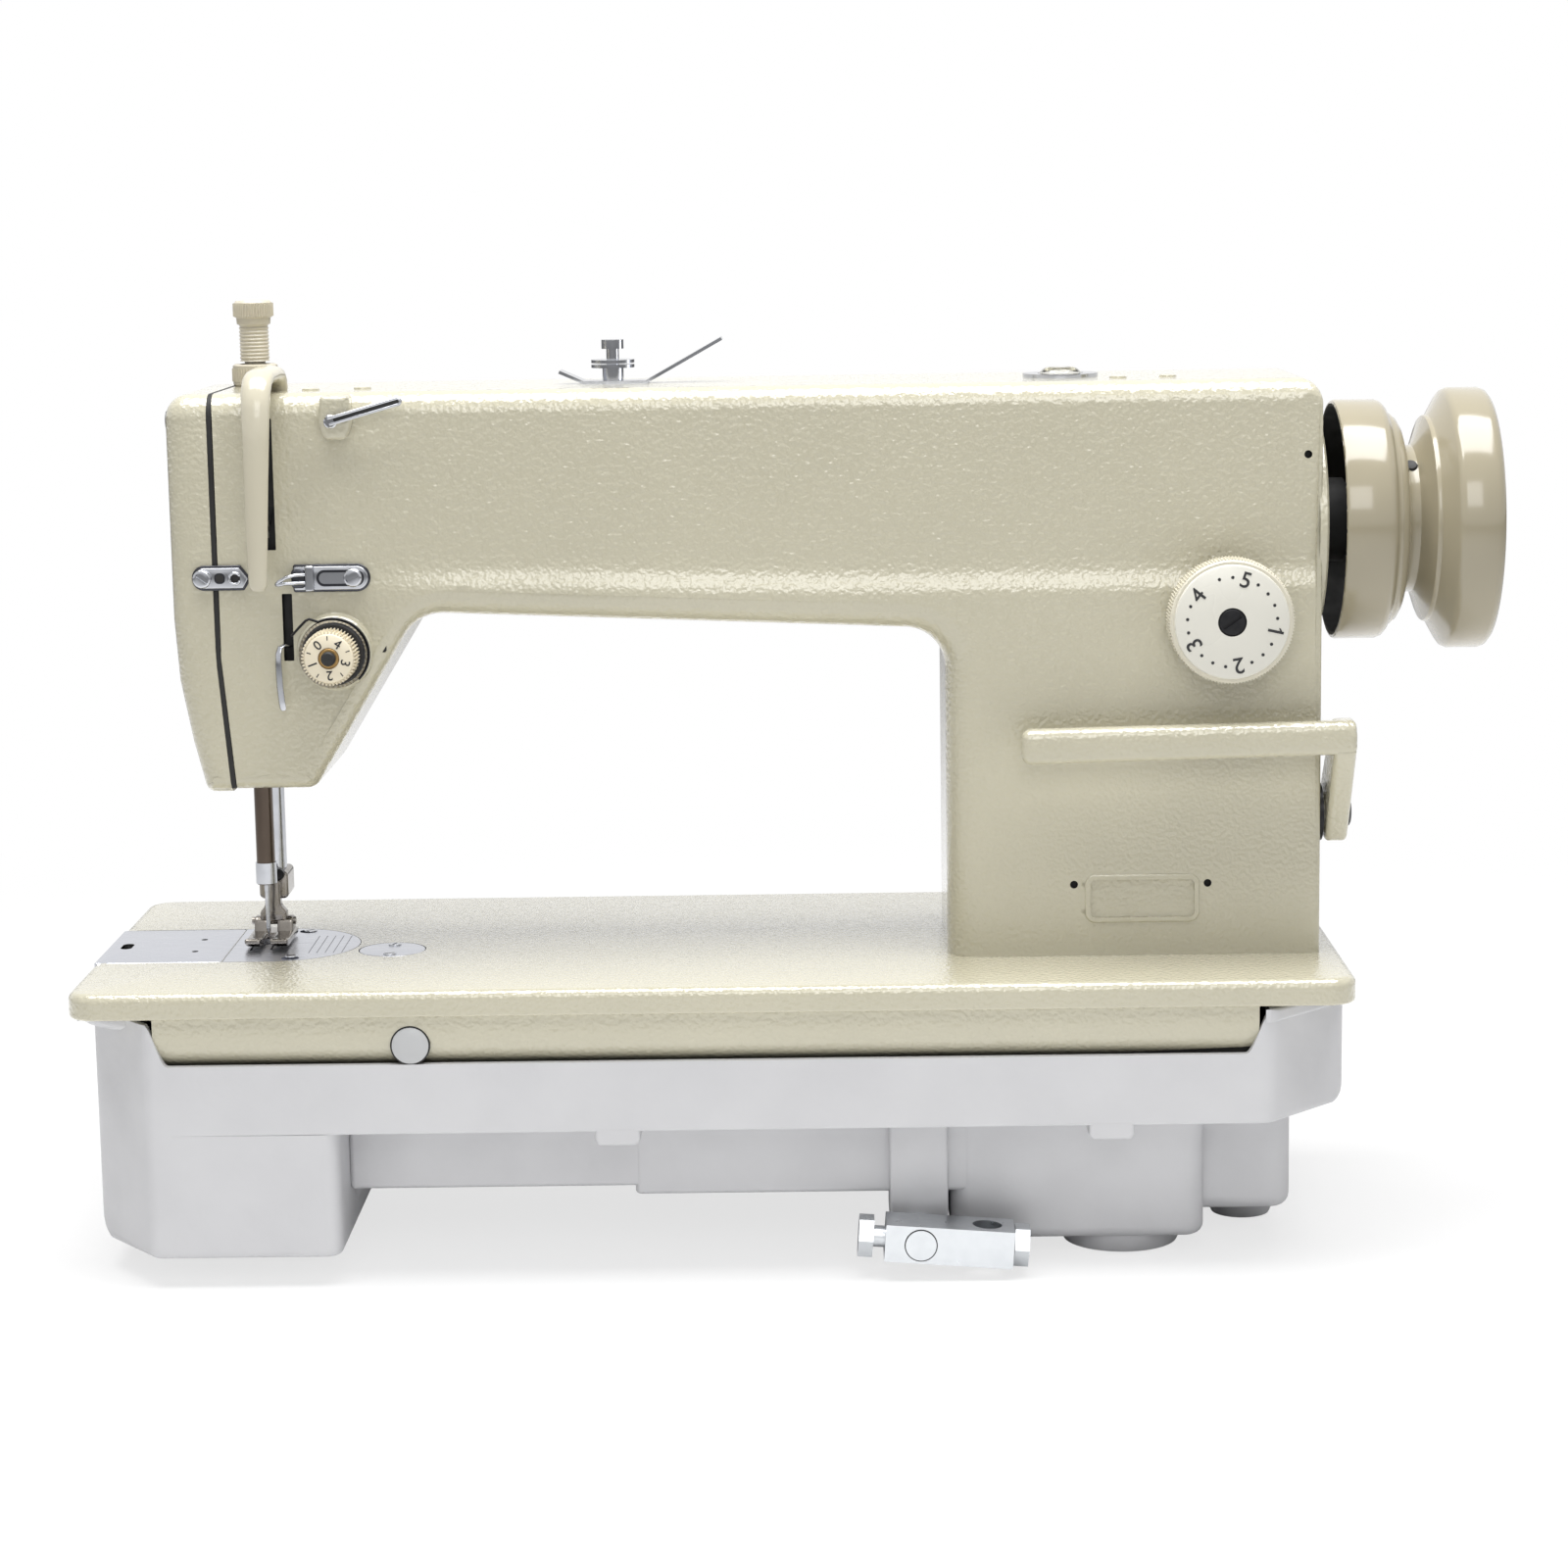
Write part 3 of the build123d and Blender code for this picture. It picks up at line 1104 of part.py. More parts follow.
def left_sump(wall):
    """The deep left end of the pan, or its hollow when it has a wall."""
    top = PAN_FLANGE_BOTTOM + (PAN_FLOOR + PAST if wall else PAN_FLOOR)
    floor = LEFT_SUMP_BOTTOM + (PAN_FLOOR if wall else 0.0)
    points = [(pan_wall_left + wall, floor), (LEFT_SUMP_RIGHT - wall, floor),
              (LEFT_SUMP_RIGHT - wall, top), (pan_wall_left + wall, top)]
    half = pan_half_width - wall
    return prism("Y", points, -half, half, [LEFT_SUMP_R - wall, PAN_R - wall, 0, 0])


def oil_pan():
    """The cast pan: a rimmed tray with deeper sumps, feet and the knee lifter's bearing boss."""
    rim = [
        (pan_wall_left, PAN_FLANGE_BOTTOM),
        (pan_right, PAN_FLANGE_BOTTOM),
        (pan_right, pan_top),
        (pan_post_right, pan_top),
        (pan_post_right - PAN_POST_SLANT, PAN_RIM),
        (pan_post_left + PAN_POST_SLANT, PAN_RIM),
        (pan_post_left, pan_top),
        (pan_left, pan_top),
        (pan_left, PAN_FLARE_Z),
        (pan_wall_left, PAN_FLARE_Z - PAN_FLARE / 2),
    ]
    radii = [0, PAN_RIGHT_R, 0, PAN_POST_R, PAN_POST_R, PAN_POST_R, PAN_POST_R, 0,
             PAN_FLARE_R, PAN_FLARE_R]
    body = prism("Y", rim, -pan_half_width, pan_half_width, radii)
    upright = [edge for level in (-pan_half_width, pan_half_width) for edge in edges_on(body, "Y", level)
               if edge.center().X > pan_right - PAN_RIGHT_R]
    upright = [edge for edge in upright if edge.center().Z < pan_top - PAST]
    body = fillet(upright, PAN_R)
    body += left_sump(0.0)
    for hollow in pan_hollows:
        body += pan_box(*hollow, 0.0)
    for y in (-pillar_y, pillar_y):
        body += foot(PILLAR_R, PILLAR_X, y, PAN_FLANGE_BOTTOM)
    body += foot(DRAIN_R, drain_x, drain_y, RIGHT_SUMP_BOTTOM + PAN_FLOOR)
    body += foot(BACK_FOOT_R, back_foot_x, back_foot_y, RIGHT_BLOCK_BOTTOM + PAN_FLOOR)
    for x in lug_spots:
        body += block(x - LUG_LENGTH / 2, x + LUG_LENGTH / 2, -pan_half_width,
                      -pan_half_width + LUG_DEPTH, PAN_FLANGE_BOTTOM - LUG_DROP, PAN_FLANGE_BOTTOM)
    body -= block(pan_wall_left + PAN_WALL, pan_right - PAN_END_WALL, -pan_half_width + PAN_WALL,
                  pan_half_width - PAN_WALL, PAN_FLANGE_BOTTOM + PAN_FLOOR, 0)
    body -= left_sump(PAN_WALL)
    for hollow in pan_hollows:
        body -= pan_box(*hollow, PAN_WALL)
    half = KNEE_BOSS_WIDTH / 2
    body += block(knee_x - half, knee_x + half, knee_boss_front, knee_boss_back, KNEE_Z,
                  TRAY_BOTTOM + PAN_FLOOR)
    body += block(knee_x - half, knee_x + half, knee_boss_front, -tray_half_width,
                  TRAY_BOTTOM, PAN_FLANGE_BOTTOM)
    body += bar("Y", half, knee_boss_front, knee_boss_back, knee_x, KNEE_Z)
    return body - bar("Y", KNEE_SHAFT_R + RUN_CLEAR, knee_boss_front - PAST, knee_boss_back + PAST,
                      knee_x, KNEE_Z)


def foot(radius, x, y, top):
    """A round foot under the pan with a rounded lower edge."""
    shape = bar("Z", radius, FOOT_BOTTOM, top, x, y)
    return fillet(edges_on(shape, "Z", FOOT_BOTTOM), radius / 8)


def pan_cushions():
    """Rubber strips between the pan's ends and the bed."""
    half = pan_half_width - PAN_R
    strips = []
    for left in (pan_left + PAN_WALL / 2, pan_right - PAN_WALL / 2 - CUSHION_WIDTH):
        strips.append(block(left, left + CUSHION_WIDTH, -half, half, pan_top, slab_bottom))
    return strips


def main_bush_spans():
    """Where the main shaft's three bushes start and end."""
    spans = []
    for left in (MAIN_WEB_LEFT, main_web_mid):
        spans.append((left - MAIN_BUSH_PROUD, left + MAIN_WEB_THICK + MAIN_BUSH_PROUD))
    spans.append((arm_right - ARM_WALL - MAIN_BUSH_PROUD, arm_right + MAIN_BOSS_LENGTH))
    return spans


def main_shaft_bushes():
    """Bronze bushes of the main shaft, in the arm's webs and its end wall."""
    return [tube("X", MAIN_BUSH_R, MAIN_R + RUN_CLEAR, low, high, 0, MAIN_Z)
            for low, high in main_bush_spans()]


def lower_shaft_bushes():
    """Bronze bushes of the upright shaft and of the hook shaft."""
    bushes = [
        tube("Z", UPRIGHT_BUSH_R, UPRIGHT_R + RUN_CLEAR, UPRIGHT_WEB_BOTTOM,
             UPRIGHT_WEB_BOTTOM + UPRIGHT_WEB_THICK, upright_x, 0),
        tube("Z", UPRIGHT_BUSH_R, UPRIGHT_R + RUN_CLEAR, slab_bottom - UPRIGHT_BOSS_DEPTH, 0, upright_x, 0),
    ]
    for x in (HOOK_BLOCK_LEFT, hook_block_right):
        bushes.append(tube("X", HOOK_BUSH_R, HOOK_SHAFT_R + RUN_CLEAR, x, x + HOOK_BLOCK_LENGTH, 0, HOOK_Z))
    return bushes


def bar_bushes():
    """Bushes of the needle bar and the presser bar; the lower needle bush ends in a flange."""
    lower = bar("Z", BAR_BUSH_R, HEAD_BOTTOM - BUSH_FLANGE_DROP, HEAD_BOTTOM + HEAD_FLOOR, 0, 0)
    lower += bar("Z", BUSH_FLANGE_R, bush_flange_bottom, bush_flange_bottom + BUSH_FLANGE, 0, 0)
    lower -= bar("Z", NEEDLE_BAR_R + RUN_CLEAR, bush_flange_bottom - PAST,
                 HEAD_BOTTOM + HEAD_FLOOR + PAST, 0, 0)
    upper = tube("Z", BAR_BUSH_R, NEEDLE_BAR_R + RUN_CLEAR, BAR_SHELF_BOTTOM,
                 BAR_SHELF_BOTTOM + BAR_SHELF_THICK, 0, 0)
    presser = tube("Z", PRESSER_BUSH_R, PRESSER_R + RUN_CLEAR, HEAD_BOTTOM, HEAD_BOTTOM + HEAD_FLOOR,
                   0, PRESSER_Y)
    return [lower, upper, presser]


wheel_left = arm_right + WHEEL_GAP
groove_start = WHEEL_CUP_LENGTH + WHEEL_BEVEL
groove_end = groove_start + WHEEL_GROOVE_WIDTH
rim_start = groove_end + WHEEL_FLANK
rim_end = rim_start + WHEEL_RIM_WIDTH
wheel_length = rim_end + WHEEL_DOME
wheel_right = wheel_left + wheel_length


def handwheel():
    """The turned handwheel: a cup over the arm's end, a belt groove and a domed rim."""
    bore = MAIN_R + SEAT_CLEAR
    outline = [
        (0.0, WHEEL_CUP_R - WHEEL_CUP_WALL),
        (WHEEL_CUP_DEPTH, WHEEL_CUP_R - WHEEL_CUP_WALL),
        (WHEEL_CUP_DEPTH, WHEEL_HUB_R),
        (MAIN_BOSS_LENGTH, WHEEL_HUB_R),
        (MAIN_BOSS_LENGTH, bore),
        (wheel_length - WHEEL_DISH, bore),
        (wheel_length - WHEEL_DISH, WHEEL_DISH_R),
        (wheel_length, WHEEL_DISH_R + WHEEL_DISH),
        (wheel_length - WHEEL_DOME / 4, WHEEL_RIM_R - WHEEL_DOME / 2),
        (rim_end, WHEEL_RIM_R),
        (rim_start, WHEEL_RIM_R),
        (rim_start - WHEEL_FLANK * 2 / 3, WHEEL_RIM_R - WHEEL_FLANK * 2 / 3),
        (groove_end, WHEEL_GROOVE_R),
        (groove_start, WHEEL_GROOVE_R),
        (groove_start, WHEEL_CUP_R - WHEEL_CUP_WALL),
        (WHEEL_CUP_LENGTH, WHEEL_CUP_R),
        (0.0, WHEEL_CUP_R),
    ]
    large, lip, small = WHEEL_CORNER_R, WHEEL_LIP_R, WHEEL_GROOVE_CORNER_R
    radii = [0, large, 0, 0, 0, 0, 0, lip, large, large, lip, large, small, small, small, small, 0]
    corners = [(wheel_left + x, 0, MAIN_Z + radius) for x, radius in outline]
    face = make_face(FilletPolyline(*corners, radius=radii, close=True))
    return revolve(face, Axis((0, 0, MAIN_Z), (1, 0, 0)))


main_gear_back = upright_x + TOP_GEAR_R
lower_gear_r = PINION_R * PINION_RATIO


def main_shaft():
    """The shaft from the needle crank to the handwheel."""
    return bar("X", MAIN_R, CRANK_LEFT, wheel_right - WHEEL_DISH, 0, MAIN_Z)


def main_bevel_gear():
    """The bevel gear on the main shaft, which drives the upright shaft."""
    gear = bevel_gear(TOP_GEAR_TEETH, TOP_GEAR_R, TOP_GEAR_R, GEAR_HUB_R, GEAR_HUB,
                      MAIN_R + SEAT_CLEAR, 0.0)
    return Pos(upright_x, 0, MAIN_Z) * Rot(0, -90, 0) * gear


def upright_gears():
    """The bevel gears at the top and the bottom of the upright shaft."""
    top = bevel_gear(TOP_GEAR_TEETH, TOP_GEAR_R, TOP_GEAR_R, GEAR_HUB_R, GEAR_HUB,
                     UPRIGHT_R + SEAT_CLEAR, 0.5)
    bottom = bevel_gear(PINION_TEETH * PINION_RATIO, lower_gear_r, PINION_R, GEAR_HUB_R,
                        LOWER_GEAR_HUB, UPRIGHT_R + SEAT_CLEAR, 0.5)
    return [Pos(upright_x, 0, MAIN_Z) * top, Pos(upright_x, 0, HOOK_Z) * Rot(180, 0, 0) * bottom]


def upright_shaft():
    """The shaft that carries the drive down the column."""
    low = HOOK_Z + PINION_R * (1 - GEAR_FACE)
    return bar("Z", UPRIGHT_R, low, MAIN_Z - TOP_GEAR_R * (1 - GEAR_FACE), upright_x, 0)


def hook_pinion():
    """The bevel pinion that turns the hook shaft twice for each turn of the main shaft."""
    gear = bevel_gear(PINION_TEETH, PINION_R, lower_gear_r, PINION_HUB_R, GEAR_HUB,
                      HOOK_SHAFT_R + SEAT_CLEAR, 0.0)
    return Pos(upright_x, 0, HOOK_Z) * Rot(0, 90, 0) * gear


def hook_shaft():
    """The lower shaft, from the pinion to the rotary hook."""
    return bar("X", HOOK_SHAFT_R, HOOK_BACK_X, upright_x - lower_gear_r * (1 - GEAR_FACE), 0, HOOK_Z)


def rotary_hook():
    """The cup-shaped hook that carries the thread round the bobbin case."""
    body = bar("X", HOOK_R, HOOK_OPEN_X, HOOK_BACK_X, 0, HOOK_Z)
    body -= bar("X", HOOK_R - HOOK_WALL, HOOK_OPEN_X - PAST, HOOK_FLOOR_X, 0, HOOK_Z)
    gap = block(HOOK_OPEN_X - PAST, HOOK_FLOOR_X - HOOK_WALL, -HOOK_R, -HOOK_R / 2, HOOK_Z - HOOK_WALL,
                HOOK_Z + HOOK_R)
    return body - gap


case_r = HOOK_R - HOOK_WALL - SIDE_GAP
case_left = HOOK_OPEN_X - CASE_PROUD
case_right = HOOK_FLOOR_X - SIDE_GAP


def bobbin_case():
    """The still case inside the hook, with the bobbin's stud and the bracket under the bed."""
    body = bar("X", case_r, case_left, case_right, 0, HOOK_Z)
    body -= bar("X", case_r - CASE_WALL, case_left + CASE_WALL, case_right + PAST, 0, HOOK_Z)
    body += block(case_left - CASE_HOLDER_THICK, case_left, CASE_HOLDER_START,
                  CASE_HOLDER_START + CASE_HOLDER_WIDTH, HOOK_Z - CASE_HOLDER_BELOW, slab_bottom)
    return body + bar("X", CASE_STUD_R, case_left + CASE_WALL, case_right, 0, HOOK_Z)


def bobbin():
    """The steel bobbin."""
    low = case_left + CASE_WALL + BOBBIN_GAP
    high = case_right - BOBBIN_GAP
    body = bar("X", BOBBIN_CORE_R, low, high, 0, HOOK_Z)
    body += bar("X", BOBBIN_R, low, low + BOBBIN_FLANGE, 0, HOOK_Z)
    body += bar("X", BOBBIN_R, high - BOBBIN_FLANGE, high, 0, HOOK_Z)
    return body - bar("X", CASE_STUD_R + RUN_CLEAR, low - PAST, high + PAST, 0, HOOK_Z)


link_right = CRANK_LEFT - LINK_GAP
link_left = link_right - LINK_THICK


def needle_crank():
    """The counterweighted crank on the end of the main shaft, with its pin."""
    body = bar("X", CRANK_R, CRANK_LEFT, CRANK_LEFT + CRANK_THICK, 0, MAIN_Z)
    body -= bar("X", MAIN_R + SEAT_CLEAR, CRANK_LEFT - PAST, CRANK_LEFT + CRANK_THICK + PAST, 0, MAIN_Z)
    return body + bar("X", STUD_R, link_left, CRANK_LEFT, pin_y, pin_z)


def needle_link():
    """The link that hangs from the crank pin towards the needle bar's stud."""
    side = LINK_WIDTH / 2
    across_y = (pin_z - stud_z) / LINK_LENGTH * side
    across_z = pin_y / LINK_LENGTH * side
    points = [(-across_y, stud_z - across_z), (across_y, stud_z + across_z),
              (pin_y + across_y, pin_z + across_z), (pin_y - across_y, pin_z - across_z)]
    body = prism("X", points, link_left, link_right)
    body += bar("X", LINK_EYE_R, link_left, link_right, pin_y, pin_z)
    body += bar("X", LINK_EYE_R, link_left, link_right, 0, stud_z)
    body -= bar("X", STUD_R + RUN_CLEAR, link_left - PAST, link_right + PAST, pin_y, pin_z)
    return body - bar("X", STUD_R + RUN_CLEAR, link_left - PAST, link_right + PAST, 0, stud_z)


def needle_bar():
    """The straight ground bar that carries the needle."""
    body = bar("Z", NEEDLE_BAR_R, NEEDLE_BAR_END, NEEDLE_BAR_TOP, 0, 0)
    return body - bar("Z", NEEDLE_SHANK_R + SEAT_CLEAR, NEEDLE_BAR_END - PAST,
                      NEEDLE_BAR_END + NEEDLE_SHANK_LENGTH, 0, 0)


def needle_clamp():
    """The clamp at the bar's end, and the collar with the stud for the link."""
    clamp = tube("Z", CLAMP_R, NEEDLE_BAR_R + SEAT_CLEAR, CLAMP_BOTTOM, CLAMP_TOP, 0, 0)
    collar = bar("Z", COLLAR_R, stud_z - COLLAR_HALF, stud_z + COLLAR_HALF, 0, 0)
    collar += bar("X", STUD_R, 0, link_left - LINK_GAP, 0, stud_z)
    collar -= bar("Z", NEEDLE_BAR_R + SEAT_CLEAR, stud_z - COLLAR_R, stud_z + COLLAR_R, 0, 0)
    return [clamp, collar]


def needle():
    """The needle: a shank in the bar, a blade and a conical point."""
    shank_bottom = NEEDLE_BAR_END - NEEDLE_TAPER
    point_top = NEEDLE_POINT + NEEDLE_TAPER
    body = bar("Z", NEEDLE_SHANK_R, shank_bottom, NEEDLE_BAR_END + NEEDLE_SHANK_LENGTH - PAST, 0, 0)
    body += bar("Z", NEEDLE_R, point_top, shank_bottom, 0, 0)
    point = Cone(NEEDLE_R / 10, NEEDLE_R, NEEDLE_TAPER, align=(Align.CENTER, Align.CENTER, Align.MIN))
    return body + Pos(0, 0, NEEDLE_POINT) * point


def take_up_lever():
    """The take-up lever: a flat arm through the head's slot, and the shaft that it swings on."""
    angle = math.radians(TAKE_UP_REST)
    eye_y = TAKE_UP_PIVOT_Y - TAKE_UP_LENGTH * math.cos(angle)
    eye_z = TAKE_UP_PIVOT_Z - TAKE_UP_LENGTH * math.sin(angle)
    across_y = math.sin(angle) * TAKE_UP_WIDTH / 2
    across_z = math.cos(angle) * TAKE_UP_WIDTH / 2
    points = [(eye_y + across_y / 2, eye_z - across_z / 2),
              (TAKE_UP_PIVOT_Y + across_y, TAKE_UP_PIVOT_Z - across_z),
              (TAKE_UP_PIVOT_Y - across_y, TAKE_UP_PIVOT_Z + across_z),
              (eye_y - across_y / 2, eye_z + across_z / 2)]
    left = TAKE_UP_X - TAKE_UP_THICK / 2
    right = TAKE_UP_X + TAKE_UP_THICK / 2
    body = prism("X", points, left, right)
    body += bar("X", TAKE_UP_EYE_R, left, right, eye_y, eye_z)
    body += bar("X", TAKE_UP_HUB_R, left, right, TAKE_UP_PIVOT_Y, TAKE_UP_PIVOT_Z)
    body += bar("X", TAKE_UP_SHAFT_R, right, MAIN_WEB_LEFT + MAIN_WEB_THICK,
                TAKE_UP_PIVOT_Y, TAKE_UP_PIVOT_Z)
    return body - bar("X", TAKE_UP_HOLE_R, left - PAST, right + PAST, eye_y, eye_z)


def take_up_guard():
    """The painted finger that hooks over the arm's top and hangs in front of the take-up slot."""
    front = -GUARD_FRONT
    back = front + GUARD_THICK
    root_near = -GUARD_ROOT_NEAR
    root_far = root_near - GUARD_ROOT_LENGTH
    under = GUARD_TOP - GUARD_THICK
    side = [
        (front, GUARD_BOTTOM),
        (back, GUARD_BOTTOM),
        (back, under),
        (root_far - GUARD_THICK, under),
        (root_far, ARM_TOP),
        (root_near, ARM_TOP),
        (root_near, under),
        (root_far, GUARD_TOP),
        (front, GUARD_TOP),
    ]
    inner_bend = GUARD_BEND_R - GUARD_THICK
    radii = [GUARD_EDGE_R, 0, inner_bend, GUARD_EDGE_R, 0, 0, GUARD_EDGE_R, GUARD_BEND_R, GUARD_BEND_R]
    top = GUARD_WIDTH_TOP / 2
    bottom = GUARD_WIDTH_BOTTOM / 2
    body = prism("X", side, TAKE_UP_X - top, TAKE_UP_X + top, radii)
    finger = [
        (TAKE_UP_X - bottom, GUARD_BOTTOM),
        (TAKE_UP_X + bottom, GUARD_BOTTOM),
        (TAKE_UP_X + top, ARM_TOP),
        (TAKE_UP_X + top, GUARD_TOP + PAST),
        (TAKE_UP_X - top, GUARD_TOP + PAST),
        (TAKE_UP_X - top, ARM_TOP),
    ]
    tip = bottom * GUARD_TIP_SHARE
    return body & prism("Y", finger, front - PAST, root_near + PAST, [tip, tip, 0, 0, 0, 0])


def presser_bar():
    """The bar that presses the foot down."""
    return bar("Z", PRESSER_R, PRESSER_BOTTOM, PRESSER_TOP, 0, PRESSER_Y)


def presser_spring():
    """The coil spring between the presser bar and the pressure screw."""
    low = PRESSER_TOP + SPRING_WIRE / 2 + SIDE_GAP
    high = PRESSURE_BODY_BOTTOM - SPRING_WIRE / 2 - SIDE_GAP
    path = Helix(pitch=(high - low) / SPRING_TURNS, height=high - low, radius=SPRING_R)
    start = Plane(origin=path @ 0, z_dir=path % 0)
    return Pos(0, PRESSER_Y, low) * sweep(start * Circle(SPRING_WIRE / 2), path=path, is_frenet=True)


sole_pin_y = SHANK_FRONT + SHANK_THICK / 2


def foot_shank():
    """The foot's shank, clamped round the bar's end and reaching down in front of it."""
    half = SHANK_WIDTH / 2
    side = [
        (SHANK_FRONT, SHANK_BOTTOM - PAST),
        (SHANK_FRONT + SHANK_THICK, SHANK_BOTTOM - PAST),
        (SHANK_FRONT + SHANK_THICK, PRESSER_BOTTOM + PAST),
        (PRESSER_Y, PRESSER_BOTTOM + PAST),
        (PRESSER_Y, SHANK_TOP),
        (SHANK_FRONT, SHANK_TOP - SHANK_THICK),
    ]
    body = prism("X", side, -half, half)
    body += tube("Z", PRESSER_R + SHANK_WALL, PRESSER_R + SEAT_CLEAR, PRESSER_BOTTOM + PAST, SHANK_TOP,
                 0, PRESSER_Y)
    body -= bar("Z", PRESSER_R + SEAT_CLEAR, PRESSER_BOTTOM, SHANK_TOP + PAST, 0, PRESSER_Y)
    body -= bar("X", SOLE_PIN_R + RUN_CLEAR, -half - PAST, half + PAST, sole_pin_y, SOLE_PIN_Z)
    return body


def foot_sole():
    """The foot's sole with its needle slot, its two ears and the pin that it tilts on."""
    half = SOLE_WIDTH / 2
    top = SOLE_BOTTOM + SOLE_THICK
    plan = [(-half, -SOLE_FRONT), (half, -SOLE_FRONT), (half, SOLE_BACK), (-half, SOLE_BACK)]
    body = prism("Z", plan, SOLE_BOTTOM, top, SOLE_THICK)
    body -= block(-SOLE_SLOT / 2, SOLE_SLOT / 2, -SOLE_FRONT - PAST, SOLE_SLOT_BACK,
                  SOLE_BOTTOM - PAST, top + PAST)
    inner = SHANK_WIDTH / 2 + SIDE_GAP
    ear = SOLE_PIN_R + SHANK_THICK / 2
    for side in (-1, 1):
        low, high = sorted((side * inner, side * (inner + SOLE_EAR_THICK)))
        body += block(low, high, sole_pin_y - ear, sole_pin_y + ear, SOLE_BOTTOM, SOLE_EAR_HEIGHT)
    reach = inner + SOLE_EAR_THICK / 2
    return body + bar("X", SOLE_PIN_R, -reach, reach, sole_pin_y, SOLE_PIN_Z)


def pressure_screw():
    """The thumb screw on top of the head that sets the spring's load."""
    head_bottom = PRESSURE_TOP - PRESSURE_HEAD
    collar_bottom = head_bottom - PRESSURE_COLLAR
    body = bar("Z", PRESSURE_BODY_R, PRESSURE_BODY_BOTTOM, collar_bottom, 0, PRESSER_Y)
    body += bar("Z", PRESSURE_COLLAR_R, collar_bottom, head_bottom, 0, PRESSER_Y)
    head = bar("Z", PRESSURE_HEAD_R, head_bottom, PRESSURE_TOP, 0, PRESSER_Y)
    return body + chamfer(edges_on(head, "Z", PRESSURE_TOP), PRESSURE_HEAD / 8)


def pressure_lock_nut():
    """The knurled nut that locks the pressure screw."""
    return tube("Z", LOCK_NUT_R, PRESSURE_BODY_R + RUN_CLEAR, ARM_TOP, ARM_TOP + LOCK_NUT_HEIGHT,
                0, PRESSER_Y)


def hand_lifter():
    """The lever behind the head that lifts the foot by hand."""
    near = arm_rear + LIFTER_BOSS + SIDE_GAP
    far = near + LIFTER_THICK
    tip_x = LIFTER_X + LIFTER_ARM_X
    tip_z = LIFTER_Z - LIFTER_ARM_DROP
    length = math.hypot(LIFTER_ARM_X, LIFTER_ARM_DROP)
    across_x = LIFTER_ARM_DROP / length * LIFTER_TIP_R
    across_z = LIFTER_ARM_X / length * LIFTER_TIP_R
    points = [(LIFTER_X - across_x, LIFTER_Z - across_z), (tip_x - across_x, tip_z - across_z),
              (tip_x + across_x, tip_z + across_z), (LIFTER_X + across_x, LIFTER_Z + across_z)]
    body = prism("Y", points, near, far)
    body += bar("Y", LIFTER_HUB_R, near, far, LIFTER_X, LIFTER_Z)
    body += bar("Y", LIFTER_TIP_R, near, far, tip_x, tip_z)
    return body + bar("Y", LIFTER_SHAFT_R, inner_rear, near, LIFTER_X, LIFTER_Z)


def feed_dog():
    """The toothed feed dog on the bar that slides under the needle plate."""
    top = -FEED_BELOW_PLATE
    body = block(-FEED_BAR_HALF, FEED_BAR_HALF, FEED_BAR_START, FEED_BAR_END,
                 FEED_BAR_TOP - FEED_BAR_THICK, FEED_BAR_TOP)
    for side in (-1, 1):
        low, high = sorted((side * FEED_ROW_IN, side * (FEED_ROW_IN + FEED_ROW_WIDTH)))
        body += block(low, high, -FEED_ROW_FRONT, FEED_ROW_BACK, top - FEED_ROW_DEPTH, top)
        body += block(low, high, FEED_BAR_START, FEED_ROW_BACK, FEED_BAR_TOP, top)
    return body


def guide_screw_places():
    """Where the left and the right thread guide are screwed on."""
    return [LEFT_GUIDE_X + LEFT_GUIDE_SCREW, RIGHT_GUIDE_X + RIGHT_GUIDE_LENGTH - RIGHT_GUIDE_SCREW]


def thread_guide(left, length, screw_x, slot_x, eye_x):
    """A pressed thread guide, with a screw hole, a slot and an eye."""
    back = arm_front
    front = back - GUIDE_THICK
    low = GUIDE_Z - GUIDE_HEIGHT / 2
    high = GUIDE_Z + GUIDE_HEIGHT / 2
    points = [(left, low), (left + length, low), (left + length, high), (left, high)]
    body = prism("Y", points, front, back, GUIDE_HEIGHT / 3)
    half = GUIDE_SLOT_WIDTH / 2
    reach = GUIDE_SLOT_LENGTH / 2
    slot = [(slot_x - reach, GUIDE_Z - half), (slot_x + reach, GUIDE_Z - half),
            (slot_x + reach, GUIDE_Z + half), (slot_x - reach, GUIDE_Z + half)]
    if slot_x != eye_x:
        body -= prism("Y", slot, front - PAST, back + PAST, half * GUIDE_SLOT_ROUND)
    body -= bar("Y", GUIDE_EYE_R, front - PAST, back + PAST, eye_x, GUIDE_Z)
    return body - bar("Y", SCREW_R + SEAT_CLEAR, front - PAST, back + PAST, screw_x, GUIDE_Z)


def left_thread_guide():
    """The guide that lies across the face plate and the arm."""
    eye = LEFT_GUIDE_X + LEFT_GUIDE_LENGTH - LEFT_GUIDE_SCREW
    return thread_guide(LEFT_GUIDE_X, LEFT_GUIDE_LENGTH, guide_screw_places()[0], eye, eye)


def right_thread_guide():
    """The slotted guide beside the take-up slot."""
    slot = RIGHT_GUIDE_X + RIGHT_GUIDE_LENGTH / 2
    eye = RIGHT_GUIDE_X + 2 * GUIDE_EYE_R
    return thread_guide(RIGHT_GUIDE_X, RIGHT_GUIDE_LENGTH, guide_screw_places()[1], slot, eye)


def thread_guide_screws():
    """The screws of the two thread guides."""
    return [cheese_screw((x, arm_front - GUIDE_THICK, GUIDE_Z), (0, -1, 0)) for x in guide_screw_places()]


